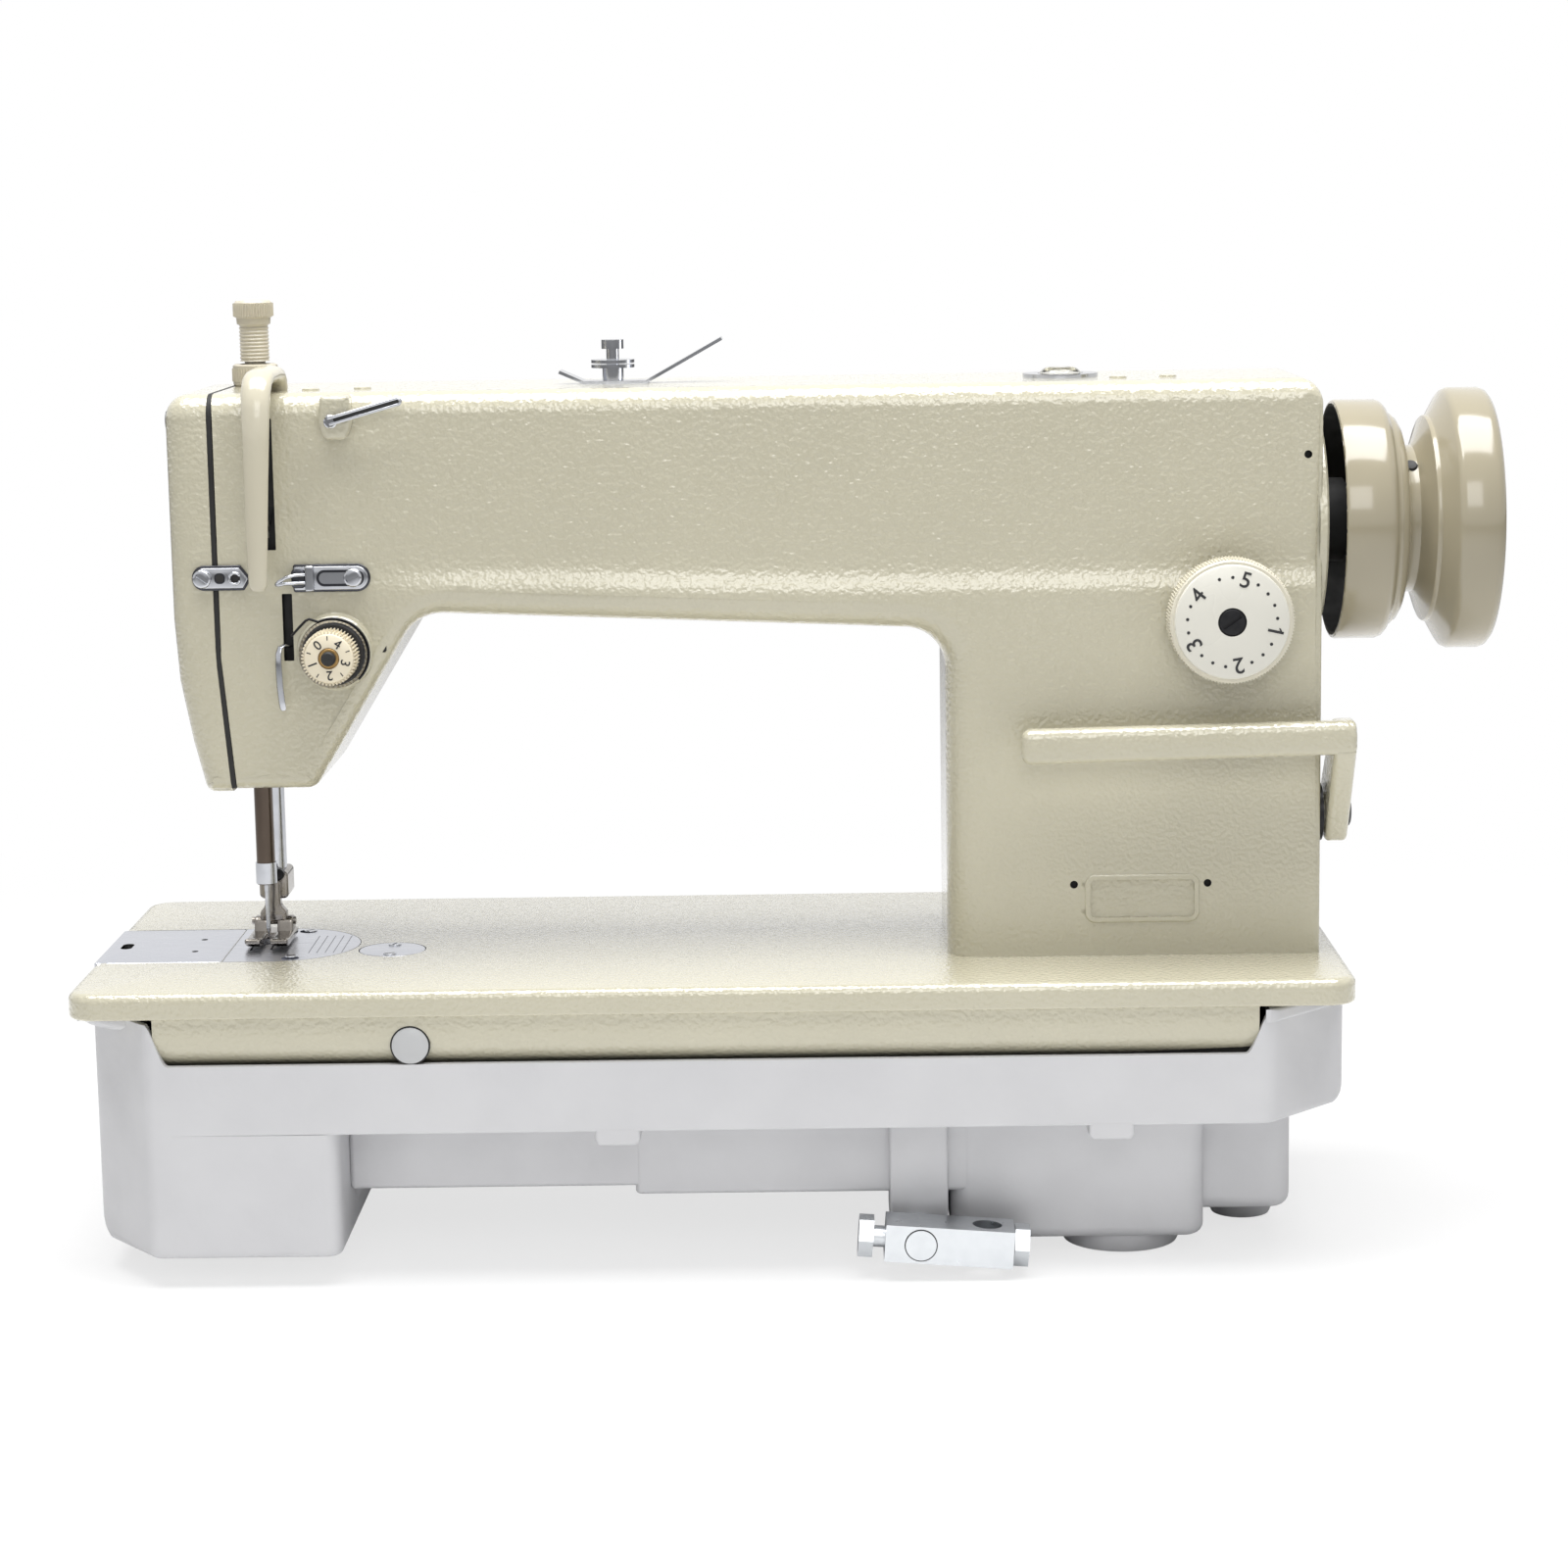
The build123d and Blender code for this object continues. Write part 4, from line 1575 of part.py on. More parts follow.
def thread_hook():
    """The wire hook that comes out of the lower slot, on a foot inside the head's wall."""
    out = arm_front - THREAD_HOOK_REACH
    base = inner_front + THREAD_HOOK_BASE
    points = [(HOOK_SLOT_X, inner_front + THREAD_HOOK_BASE / 2, THREAD_HOOK_Z),
              (HOOK_SLOT_X, out, THREAD_HOOK_Z),
              (HOOK_SLOT_X - THREAD_HOOK_LEAN, out, THREAD_HOOK_END)]
    body = wire(points, THREAD_HOOK_R, THREAD_HOOK_BEND_R)
    wide = HOOK_SLOT_WIDTH
    return body + block(HOOK_SLOT_X - wide, HOOK_SLOT_X + wide, inner_front, base,
                        HOOK_SLOT_BOTTOM - wide, HOOK_SLOT_TOP)


def top_thread_guide():
    """The bent strip on the arm's top that leads the thread to the pre-tension discs."""
    left = TOP_GUIDE_X - TOP_GUIDE_BACK
    right = TOP_GUIDE_X + TOP_GUIDE_FRONT
    path = [(left - TOP_GUIDE_TAB, ARM_TOP + TOP_GUIDE_TAB_RISE), (left, ARM_TOP), (right, ARM_TOP),
            (right + TOP_GUIDE_ARM, ARM_TOP + TOP_GUIDE_ARM_RISE)]
    body = prism("Y", band(path, TOP_GUIDE_THICK), -TOP_GUIDE_WIDTH / 2, TOP_GUIDE_WIDTH / 2)
    return body - bar("Z", POST_R + SEAT_CLEAR, ARM_TOP - PAST, POST_TOP, TOP_GUIDE_X, 0)


def pretension_post():
    """The post on the arm with its spacer, its two discs and its slotted head."""
    base = ARM_TOP + TOP_GUIDE_THICK
    disc_low = base + POST_SPACER
    post = bar("Z", POST_R, ARM_TOP - ARM_WALL, POST_TOP - POST_HEAD, TOP_GUIDE_X, 0)
    post += bar("Z", POST_HEAD_R, POST_TOP - POST_HEAD, POST_TOP, TOP_GUIDE_X, 0)
    post -= Pos(TOP_GUIDE_X, 0, POST_TOP) * Box(3 * POST_HEAD_R, SCREW_SLOT, POST_HEAD)
    spacer = tube("Z", POST_SPACER_R, POST_R + SEAT_CLEAR, base, disc_low, TOP_GUIDE_X, 0)
    pieces = [post, spacer]
    for index in range(2):
        low = disc_low + index * (POST_DISC + POST_DISC_GAP)
        pieces.append(tube("Z", POST_DISC_R, POST_R + SEAT_CLEAR, low, low + POST_DISC, TOP_GUIDE_X, 0))
    return pieces


def oil_window_ring():
    """The ring round the oil sight window."""
    return tube("Z", WINDOW_RING_R, WINDOW_R + SEAT_CLEAR, ARM_TOP, ARM_TOP + WINDOW_RING, window_x, 0)


def oil_window():
    """The clear domed window through which the oil flow is seen."""
    def dome(radius, rise):
        cylinder = bar("Z", radius, ARM_TOP - ARM_WALL / 2, ARM_TOP + rise - radius / 3, window_x, 0)
        return fillet(edges_on(cylinder, "Z", ARM_TOP + rise - radius / 3), radius / 2)
    inner_r = WINDOW_R - WINDOW_WALL
    return dome(WINDOW_R, WINDOW_RISE) - dome(inner_r, WINDOW_RISE - 2 * WINDOW_WALL)


tension_face = arm_front - TENSION_BOSS


def tension_stud():
    """The fixed stud through the head's wall."""
    return bar("Y", TENSION_STUD_R, arm_front - TENSION_STUD_REACH, inner_front + TENSION_STUD_INSIDE,
               TENSION_X, TENSION_Z)


def tension_discs():
    """The base ring and the two thread tension discs on the stud."""
    bore = TENSION_STUD_R + SEAT_CLEAR
    rings = [tube("Y", TENSION_DISC_R, bore, tension_face - TENSION_RING, tension_face, TENSION_X, TENSION_Z)]
    for index in range(2):
        high = tension_face - TENSION_RING - index * (TENSION_DISC + TENSION_DISC_GAP)
        rings.append(tube("Y", TENSION_DISC_R, bore, high - TENSION_DISC, high, TENSION_X, TENSION_Z))
    return rings


def tension_dial():
    """The numbered nut that sets the thread tension, with the sleeve over its spring."""
    back = arm_front - TENSION_DIAL_BACK
    bore = TENSION_STUD_R + RUN_CLEAR
    dial = tube("Y", TENSION_DIAL_R, bore, back - TENSION_DIAL, back, TENSION_X, TENSION_Z)
    sleeve_back = tension_face - TENSION_RING - 2 * TENSION_DISC - TENSION_DISC_GAP - SIDE_GAP
    return dial + tube("Y", 2 * TENSION_STUD_R, bore, back, sleeve_back, TENSION_X, TENSION_Z)


def check_spring():
    """The check spring: a wire round the tension boss with a free end for the thread."""
    ring_r = TENSION_BOSS_R + CHECK_GAP + CHECK_WIRE_R
    wire_y = arm_front - CHECK_OUT
    points = []
    for share in (0, 1 / 2, 1):
        angle = math.radians(CHECK_START + CHECK_SWEEP * share)
        points.append((TENSION_X + ring_r * math.cos(angle), wire_y, TENSION_Z + ring_r * math.sin(angle)))
    arc = ThreePointArc(*points)
    end = math.radians(CHECK_START + CHECK_SWEEP + CHECK_TAIL_ANGLE)
    tail_x = points[-1][0] + CHECK_TAIL * math.cos(end)
    tail_z = points[-1][2] + CHECK_TAIL * math.sin(end)
    tail = (tail_x, wire_y, tail_z)
    body = sweep(Plane(origin=arc @ 0, z_dir=arc % 0) * Circle(CHECK_WIRE_R), path=arc)
    run = Line(points[-1], tail)
    body += sweep(Plane(origin=run @ 0, z_dir=run % 0) * Circle(CHECK_WIRE_R), path=run)
    return body + Pos(*points[-1]) * Sphere(CHECK_WIRE_R)


def stitch_dial():
    """The round dial that sets the stitch length, with its shaft into the column."""
    back = column_front - DIAL_HUB - SIDE_GAP
    dial = bar("Y", DIAL_R, back - DIAL_THICK, back, dial_x, DIAL_Z)
    dial = fillet(edges_on(dial, "Y", back - DIAL_THICK), DIAL_HUB)
    dial += bar("Y", DIAL_HUB_R, back, column_front - SIDE_GAP, dial_x, DIAL_Z)
    return dial + bar("Y", DIAL_SHAFT_R, column_front - SIDE_GAP, inner_front + DIAL_SHAFT_INSIDE,
                      dial_x, DIAL_Z)


def reverse_lever():
    """The bent lever: a bar in front of the column and a leg back to its shaft."""
    front = -LEVER_FRONT
    back = front + LEVER_THICK
    bottom = LEVER_TOP - LEVER_HEIGHT
    face = [(lever_left, bottom), (lever_right, bottom), (lever_right, LEVER_TOP), (lever_left, LEVER_TOP)]
    body = prism("Y", face, front, back, LEVER_CORNER_R)
    left = arm_right + LEVER_SIDE_GAP
    right = left + LEVER_SIDE_THICK
    hub = LEVER_HUB_R
    leg = [
        (front + LEVER_CORNER_R, bottom),
        (LEVER_PIVOT_Y - hub, LEVER_PIVOT_Z - hub),
        (LEVER_PIVOT_Y + hub, LEVER_PIVOT_Z - hub),
        (LEVER_PIVOT_Y + hub, LEVER_PIVOT_Z + hub),
        (back + hub, LEVER_TOP),
        (front + LEVER_CORNER_R, LEVER_TOP),
    ]
    body += prism("X", leg, left, right, [0, hub / 2, hub / 2, hub / 2, hub, 0])
    body += bar("X", hub, arm_right + SIDE_GAP, right, LEVER_PIVOT_Y, LEVER_PIVOT_Z)
    return body + bar("X", LEVER_SHAFT_R, arm_right - LEVER_SHAFT_INSIDE, arm_right + SIDE_GAP,
                      LEVER_PIVOT_Y, LEVER_PIVOT_Z)


knee_place = Pos(knee_x, 0, KNEE_Z) * Rot(0, KNEE_TILT, 0)
knee_back = knee_front + KNEE_BLOCK_DEPTH
knee_mid = (knee_front + knee_back) / 2


def knee_block():
    """The clamp block of the knee lifter, drawn about its shaft and then tilted."""
    half = KNEE_BLOCK_HEIGHT / 2
    body = block(-KNEE_BLOCK_LEFT, KNEE_BLOCK_RIGHT, knee_front, knee_back, -half, half)
    body -= bar("Y", KNEE_SHAFT_R + SEAT_CLEAR, knee_front - PAST, knee_back + PAST, 0, 0)
    body -= bar("Z", KNEE_ROD_R, -half - PAST, half + PAST, KNEE_ROD_FROM_SHAFT, knee_mid)
    bolt = KNEE_BOLT_R + SEAT_CLEAR
    body -= bar("X", bolt, -KNEE_BLOCK_LEFT - PAST, -KNEE_SHAFT_R, knee_mid, 0)
    body -= bar("X", bolt, KNEE_ROD_FROM_SHAFT, KNEE_BLOCK_RIGHT + PAST, knee_mid, 0)
    return knee_place * body


def knee_bolts():
    """The two hexagon bolts that clamp the shaft and the knee rod."""
    left_seat = -KNEE_BLOCK_LEFT - KNEE_BOLT_PROUD
    left = hexagon("X", KNEE_BOLT_HEAD_R, left_seat - KNEE_BOLT_HEAD, left_seat, knee_mid, 0)
    left += bar("X", KNEE_BOLT_R, left_seat, -KNEE_SHAFT_R - SIDE_GAP, knee_mid, 0)
    right_seat = KNEE_BLOCK_RIGHT + SIDE_GAP
    right = hexagon("X", KNEE_BOLT_HEAD_R, right_seat, right_seat + KNEE_BOLT_HEAD, knee_mid, 0)
    right += bar("X", KNEE_BOLT_R, KNEE_ROD_FROM_SHAFT + KNEE_ROD_R + SIDE_GAP, right_seat, knee_mid, 0)
    return [knee_place * left, knee_place * right]


def knee_shaft():
    """The knee lifter's shaft, in the pan's boss."""
    return bar("Y", KNEE_SHAFT_R, knee_front - SIDE_GAP, knee_shaft_back, knee_x, KNEE_Z)


PIECES = [
    arm_casting, bed_casting, arm_bolts, face_plate, face_plate_gasket, cover_screws, rear_cover,
    needle_plate, slide_plate, plate_screws, bed_cover, bed_plug, oil_pan, pan_cushions,
    main_shaft_bushes, lower_shaft_bushes, bar_bushes,
    handwheel, main_shaft, main_bevel_gear, needle_crank, needle_link,
    upright_shaft, upright_gears, hook_shaft, hook_pinion, rotary_hook, bobbin_case, bobbin,
    needle_bar, needle_clamp, needle, take_up_lever, take_up_guard,
    presser_bar, presser_spring, foot_shank, foot_sole, pressure_screw, pressure_lock_nut, hand_lifter,
    feed_dog, left_thread_guide, right_thread_guide, thread_guide_screws, thread_hook, top_thread_guide,
    pretension_post, oil_window_ring, oil_window, arm_thread_pin,
    tension_stud, tension_discs, tension_dial, check_spring,
    stitch_dial, reverse_lever, knee_block, knee_bolts, knee_shaft,
]


for make in PIECES:
    made = make()
    shapes = made if isinstance(made, list) else [made]
    nodes[make.__name__] = [solid for shape in shapes for solid in shape.solids()]

low = [min(getattr(solid.bounding_box().min, axis) for solids in nodes.values() for solid in solids)
       for axis in "XYZ"]
high = [max(getattr(solid.bounding_box().max, axis) for solids in nodes.values() for solid in solids)
        for axis in "XYZ"]
shift = (-(low[0] + high[0]) / 2, -(low[1] + high[1]) / 2, -low[2])

os.makedirs("parts", exist_ok=True)
for name, solids in nodes.items():
    moved = [Pos(*shift) * solid for solid in solids]
    shape = moved[0] if len(moved) == 1 else Compound(children=moved)
    export_step(shape, f"parts/{name}.step")
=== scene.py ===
import math

import bmesh
import bpy
from mathutils import Matrix, Vector
from mathutils.geometry import delaunay_2d_cdt


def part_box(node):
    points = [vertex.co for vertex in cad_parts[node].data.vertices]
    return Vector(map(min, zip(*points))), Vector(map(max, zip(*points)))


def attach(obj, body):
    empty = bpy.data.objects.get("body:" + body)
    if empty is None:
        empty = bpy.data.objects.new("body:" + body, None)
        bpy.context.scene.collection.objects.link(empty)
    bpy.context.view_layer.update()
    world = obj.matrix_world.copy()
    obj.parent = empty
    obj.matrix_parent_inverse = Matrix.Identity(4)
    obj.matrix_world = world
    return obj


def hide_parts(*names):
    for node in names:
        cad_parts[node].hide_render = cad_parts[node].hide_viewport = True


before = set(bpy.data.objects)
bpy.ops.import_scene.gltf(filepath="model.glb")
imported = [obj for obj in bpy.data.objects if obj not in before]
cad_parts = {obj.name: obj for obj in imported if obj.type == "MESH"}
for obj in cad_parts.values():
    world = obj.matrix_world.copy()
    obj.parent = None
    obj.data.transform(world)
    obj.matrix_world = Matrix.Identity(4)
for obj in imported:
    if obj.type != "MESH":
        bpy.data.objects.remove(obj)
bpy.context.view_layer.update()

# Arm casting: arm, head and column in one hollow iron casting, stoved with a glossy wrinkle
# enamel. The lip over the work and the column stand 2 mm proud of the arm's front panel.
# All sizes are in millimetres from the point where the needle meets the bed.
needle_low, needle_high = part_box("needle")
ORIGIN = Vector(((needle_low.x + needle_high.x) / 2, (needle_low.y + needle_high.y) / 2,
                 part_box("needle_plate")[1].z))


def metres(x, y, z):
    """A point in millimetres from the needle, as the scene's metres."""
    return ORIGIN + Vector((x, y, z)) / 1000


def linear(code):
    """An sRGB hex colour as the linear values that shaders take."""
    values = [int(code[i:i + 2], 16) / 255 for i in (1, 3, 5)]
    return [v / 12.92 if v <= 0.04045 else ((v + 0.055) / 1.055) ** 2.4 for v in values] + [1]


def node(tree, kind, settings=(), links=(), **values):
    """Adds one node, sets its settings and socket values, and links its inputs."""
    made = tree.nodes.new(kind)
    for name, value in dict(settings).items():
        setattr(made, name, value)
    for name, value in values.items():
        made.inputs[name.replace("_", " ")].default_value = value
    for name, socket in dict(links).items():
        tree.links.new(socket, made.inputs[name])
    return made


def material(name):
    """A new material with an empty tree, and its output's surface socket."""
    made = bpy.data.materials.new(name)
    made.use_nodes = True
    made.node_tree.nodes.clear()
    output = made.node_tree.nodes.new("ShaderNodeOutputMaterial")
    return made, made.node_tree, output.inputs["Surface"]


def finish(name, code, rough, metal=0.0, vary=0.05, grain=40.0, bump=0.0, bump_size=3.0,
           stretch=(1, 1, 1), coat=0.0, other="#000000"):
    """A finish with blotches of a grain and a surface relief, both in millimetres."""
    made, tree, surface = material(name)
    place = node(tree, "ShaderNodeTexCoord").outputs["Object"]
    scaled = node(tree, "ShaderNodeMapping", links={"Vector": place}, Scale=stretch).outputs["Vector"]
    blotch = node(tree, "ShaderNodeTexNoise", links={"Vector": scaled}, Scale=1000 / grain, Detail=3.0)
    amount = node(tree, "ShaderNodeMapRange", links={"Value": blotch.outputs["Fac"]}, From_Min=0.3,
                  From_Max=0.7, To_Min=0.0, To_Max=vary)
    shade = node(tree, "ShaderNodeMix", {"data_type": "RGBA"}, {0: amount.outputs["Result"]})
    shade.inputs[6].default_value = linear(code)
    shade.inputs[7].default_value = linear(other)
    gloss = node(tree, "ShaderNodeMapRange", links={"Value": blotch.outputs["Fac"]}, From_Min=0.3,
                 From_Max=0.7, To_Min=rough * 0.85, To_Max=rough * 1.15)
    shader = node(tree, "ShaderNodeBsdfPrincipled", links={"Base Color": shade.outputs[2],
                                                           "Roughness": gloss.outputs["Result"]},
                  Metallic=metal, IOR=1.5, Coat_Weight=coat, Coat_Roughness=0.1)
    if bump:
        coarse = node(tree, "ShaderNodeTexNoise", links={"Vector": scaled}, Scale=1000 / bump_size,
                      Detail=0.8, Roughness=0.5)
        relief = node(tree, "ShaderNodeBump", links={"Height": coarse.outputs["Fac"]}, Strength=1.0,
                      Distance=bump / 1000)
        tree.links.new(relief.outputs["Normal"], shader.inputs["Normal"])
        tree.links.new(relief.outputs["Normal"], shader.inputs["Coat Normal"])
    tree.links.new(shader.outputs[0], surface)
    return made


# Wrinkle enamel of the castings: stoved cream paint whose skin shrinks into fine wrinkles.
CREAM = finish("wrinkle_enamel", "#BEB9A3", 0.2, vary=0.06, grain=90.0, bump=0.34, bump_size=1.6, coat=0.9)
# Painted shade: a near-black colour put where the shade falls, inside deep slots, holes and gaps, inside the pan
# and the handwheel's cup, and on dark marks that stand for holes.
PAINTED_SHADE = finish("painted_shade_inside", "#0C0B0A", 0.6, grain=5.0)


def corner_loop(corners, step=7):
    """Turns corners (u, v, radius, share) into a dense loop; share rounds the side that follows."""
    points, shares = [], []
    for index, (u, v, radius, share) in enumerate(corners):
        here = Vector((u, v))
        before = Vector(corners[index - 1][:2]) - here
        after = Vector(corners[(index + 1) % len(corners)][:2]) - here
        if radius <= 0:
            points.append(here)
            shares.append(share)
            continue
        half = before.angle(after) / 2
        centre = here + (before.normalized() + after.normalized()).normalized() * radius / math.sin(half)
        start = here + before.normalized() * radius / math.tan(half) - centre
        turn = math.pi - 2 * half
        if before.x * after.y - before.y * after.x > 0:
            turn = -turn
        count = max(2, math.ceil(abs(math.degrees(turn)) / step))
        for part in range(count + 1):
            angle = math.atan2(start.y, start.x) + turn * part / count
            points.append(centre + radius * Vector((math.cos(angle), math.sin(angle))))
            shares.append(corners[index - 1][3] + (share - corners[index - 1][3]) * part / count)
    return points, shares


def inset_loop(points, distances):
    """Moves every side of a counterclockwise loop inwards by its own distance."""
    moved = []
    for index, here in enumerate(points):
        side0 = (here - points[index - 1]).normalized()
        side1 = (points[(index + 1) % len(points)] - here).normalized()
        n0, n1 = Vector((-side0.y, side0.x)), Vector((-side1.y, side1.x))
        d0, d1 = distances[index - 1], distances[index]
        det = n0.x * n1.y - n0.y * n1.x
        if abs(det) < 0.35:
            middle = (n0 + n1).normalized()
            moved.append(here + middle * (d0 + d1) / 2 / max(middle.dot(n0), 0.5))
        else:
            moved.append(here + Vector(((d0 * n1.y - d1 * n0.y) / det, (d1 * n0.x - d0 * n1.x) / det)))
    return moved


def inside(point, loop):
    """Whether a point lies within a closed loop."""
    found = False
    for index, here in enumerate(loop):
        last = loop[index - 1]
        if (here[1] > point[1]) != (last[1] > point[1]):
            cross = (last[0] - here[0]) * (point[1] - here[1]) / (last[1] - here[1]) + here[0]
            if point[0] < cross:
                found = not found
    return found


SPREAD = {"X": lambda u, v, w: (w, u, v), "Y": lambda u, v, w: (u, w, v), "Z": lambda u, v, w: (u, v, w)}


class Shape:
    """Collects the points and faces of one piece, in millimetres."""

    def __init__(self):
        self.points = []
        self.faces = []
        self.looks = []
        self.look = 0

    def face(self, corners):
        """Adds one face of the present look."""
        self.faces.append(corners)
        self.looks.append(self.look)

    def ring(self, points):
        """Adds a ring of points and returns their numbers."""
        first = len(self.points)
        self.points.extend(points)
        return list(range(first, first + len(points)))

    def bridge(self, ring0, ring1, closed=True):
        """Joins two rings of the same length."""
        for index in range(len(ring0) if closed else len(ring0) - 1):
            after = (index + 1) % len(ring0)
            self.face((ring0[index], ring0[after], ring1[after], ring1[index]))

    def cap(self, axis, ring, loop, level, holes=(), grid=0, relief=None):
        """Fills a ring; holes are (loop, depth) and sink below the face by their depth."""
        flat = [tuple(p) for p in loop]
        edges = [(i, (i + 1) % len(flat)) for i in range(len(flat))]
        numbers = list(ring)
        spread = SPREAD[axis]
        lift = relief or (lambda u, v: 0.0)
        for hole, depth in holes:
            first = len(flat)
            flat.extend(tuple(p) for p in hole)
            edges.extend((first + i, first + (i + 1) % len(hole)) for i in range(len(hole)))
            top = self.ring([spread(u, v, level + lift(u, v)) for u, v in hole])
            floor = self.ring([spread(u, v, level + lift(u, v) + depth) for u, v in hole])
            numbers.extend(top)
            keep = self.look
            # Holes deeper than 2.5 mm take the piece's second look on their walls and floor: painted shade for the
            # shade inside them.
            self.look = 1 if abs(depth) > 2.5 else keep
            self.bridge(top, floor)
            self.face(tuple(floor))
            self.look = keep
        if grid:
            low = [min(p[k] for p in loop) for k in (0, 1)]
            high = [max(p[k] for p in loop) for k in (0, 1)]
            spots = [(low[0] + grid * i, low[1] + grid * j)
                     for i in range(1, int((high[0] - low[0]) / grid) + 1)
                     for j in range(1, int((high[1] - low[1]) / grid) + 1)]
            spots = [p for p in spots if inside(p, loop) and not any(inside(p, h) for h, _ in holes)]
            flat.extend(spots)
            numbers.extend(self.ring([spread(u, v, level + lift(u, v)) for u, v in spots]))
        made = delaunay_2d_cdt([Vector(p) for p in flat], edges, [], 0, 1e-6)
        source = [numbers[o[0]] if o else self.ring([spread(p.x, p.y, level + lift(p.x, p.y))])[0]
                  for p, o in zip(made[0], made[3])]
        for triangle in made[2]:
            middle = sum((made[0][i] for i in triangle), Vector((0, 0))) / len(triangle)
            if inside(middle, loop) and not any(inside(middle, h) for h, _ in holes):
                self.face(tuple(source[i] for i in triangle))

    def prism(self, axis, corners, low, high, round_low=0.0, round_high=0.0, steps=5, **ends):
        """An outline along an axis with rounded ends; ends gives cap settings as low_... or high_..."""
        points, shares = corner_loop(corners)
        widest = [max(shares[i - 1], shares[i]) for i in range(len(shares))]
        spread = SPREAD[axis]
        rings = []
        for level, inward, size, side in ((low, 1, round_low, "low"), (high, -1, round_high, "high")):
            chosen = {k[len(side) + 1:]: v for k, v in ends.items() if k.startswith(side)}
            lift = chosen.get("relief") or (lambda u, v: 0.0)
            last = None
            if size:
                last = self.ring([spread(p.x, p.y, level + lift(p.x, p.y) + inward * (size * w + 0.5))
                                  for p, w in zip(points, widest)])
                rings.append(last)
            for part in range(steps + 1 if size else 1):
                angle = math.pi / 2 * (part / steps if size else 1)
                loop = inset_loop(points, [size * s * (1 - math.cos(angle)) for s in shares])
                ring = self.ring([spread(p.x, p.y, level + lift(p.x, p.y)
                                         + inward * size * w * (1 - math.sin(angle)))
                                  for p, w in zip(loop, widest)])
                if last:
                    self.bridge(last, ring)
                else:
                    rings.append(ring)
                last = ring
            self.cap(axis, last, loop, level, **chosen)
        self.bridge(rings[0], rings[1])

    def lathe(self, axis, u, v, profile, around=48):
        """Turns a profile of (height, radius) about an axis through (u, v)."""
        spread = SPREAD[axis]
        rings = []
        for height, radius in profile:
            if radius < 1e-6:
                rings.append(self.ring([spread(u, v, height)]))
                continue
            rings.append(self.ring([spread(u + radius * math.cos(2 * math.pi * k / around),
                                           v + radius * math.sin(2 * math.pi * k / around), height)
                                    for k in range(around)]))
        for ring0, ring1 in zip(rings, rings[1:]):
            if len(ring0) == len(ring1):
                self.bridge(ring0, ring1)
            else:
                tip, ring = (ring0, ring1) if len(ring0) == 1 else (ring1, ring0)
                for k in range(len(ring)):
                    self.face((tip[0], ring[k], ring[(k + 1) % len(ring)]))

    def tube(self, path, radius, around=14, side=(0.31, 0.22, 0.93), flat=1.0):
        """A wire along a path, with domed ends; flat thins it across the given side."""
        path = [Vector(p) for p in path]
        side = Vector(side)
        rings = []
        for index, here in enumerate(path):
            along = (path[min(index + 1, len(path) - 1)] - path[max(index - 1, 0)]).normalized()
            side = (side - along * side.dot(along)).normalized()
            other = along.cross(side)
            wide = radius(index / (len(path) - 1)) if callable(radius) else radius
            rings.append(self.ring([tuple(here + wide * (side * math.cos(2 * math.pi * k / around)
                                                         + other * flat * math.sin(2 * math.pi * k / around)))
                                    for k in range(around)]))
        for ring0, ring1 in zip(rings, rings[1:]):
            self.bridge(ring0, ring1)
        for ring, here, out in ((rings[0], path[0], path[0] - path[1]),
                                (rings[-1], path[-1], path[-1] - path[-2])):
            wide = (Vector(self.points[ring[0]]) - here).length
            inner = self.ring([tuple(here + (Vector(self.points[k]) - here) * 0.7
                                     + out.normalized() * wide * 0.5) for k in ring])
            self.bridge(ring, inner)
            self.face(tuple(inner))

    def mesh(self, name, looks, smooth=38, base=None):
        """The piece as a mesh, smooth up to an angle, placed from the needle or from a given base."""
        start = metres(0, 0, 0) if base is None else Vector(base)
        mesh = bpy.data.meshes.new(name)
        mesh.from_pydata([start + Vector(p) / 1000 for p in self.points], [], self.faces)
        for look in looks:
            mesh.materials.append(look)
        mesh.polygons.foreach_set("material_index", self.looks)
        work = bmesh.new()
        work.from_mesh(mesh)
        bmesh.ops.remove_doubles(work, verts=work.verts, dist=2e-6)
        bmesh.ops.dissolve_degenerate(work, edges=work.edges, dist=2e-6)
        bmesh.ops.recalc_face_normals(work, faces=work.faces)
        work.to_mesh(mesh)
        work.free()
        mesh.shade_smooth()
        mesh.set_sharp_from_angle(angle=math.radians(smooth))
        return mesh

    def make(self, name, body, looks, nodes=(), smooth=38):
        """Makes the piece, joins it to its body and hides the nodes that it stands for."""
        return add(name, self.mesh(name, looks, smooth), body, nodes)


def add(name, mesh, body, nodes=()):
    """Puts a finished mesh into the scene on a body, in place of the given nodes."""
    made = bpy.data.objects.new(name, mesh)
    bpy.context.scene.collection.objects.link(made)
    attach(made, body)
    if nodes:
        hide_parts(*nodes)
    return made


def circle(u, v, radius, count=28):
    """A closed round loop."""
    return [(u + radius * math.cos(2 * math.pi * k / count), v + radius * math.sin(2 * math.pi * k / count))
            for k in range(count)]


def box_corners(u0, u1, v0, v1, radius, share=1.0):
    """Four rounded corners of a rectangle; a radius of half its size makes it round."""
    return [(u0, v0, radius, share), (u1, v0, radius, share), (u1, v1, radius, share), (u0, v1, radius, share)]


def oblong(u0, u1, v0, v1, radius):
    """A closed loop round a rectangle with rounded corners."""
    return [tuple(p) for p in corner_loop(box_corners(u0, u1, v0, v1, radius * 0.999), 12)[0]]


def ease(low, high, value):
    """A smooth step from 0 at low to 1 at high."""
    t = min(max((value - low) / (high - low), 0.0), 1.0)
    return t * t * (3 - 2 * t)


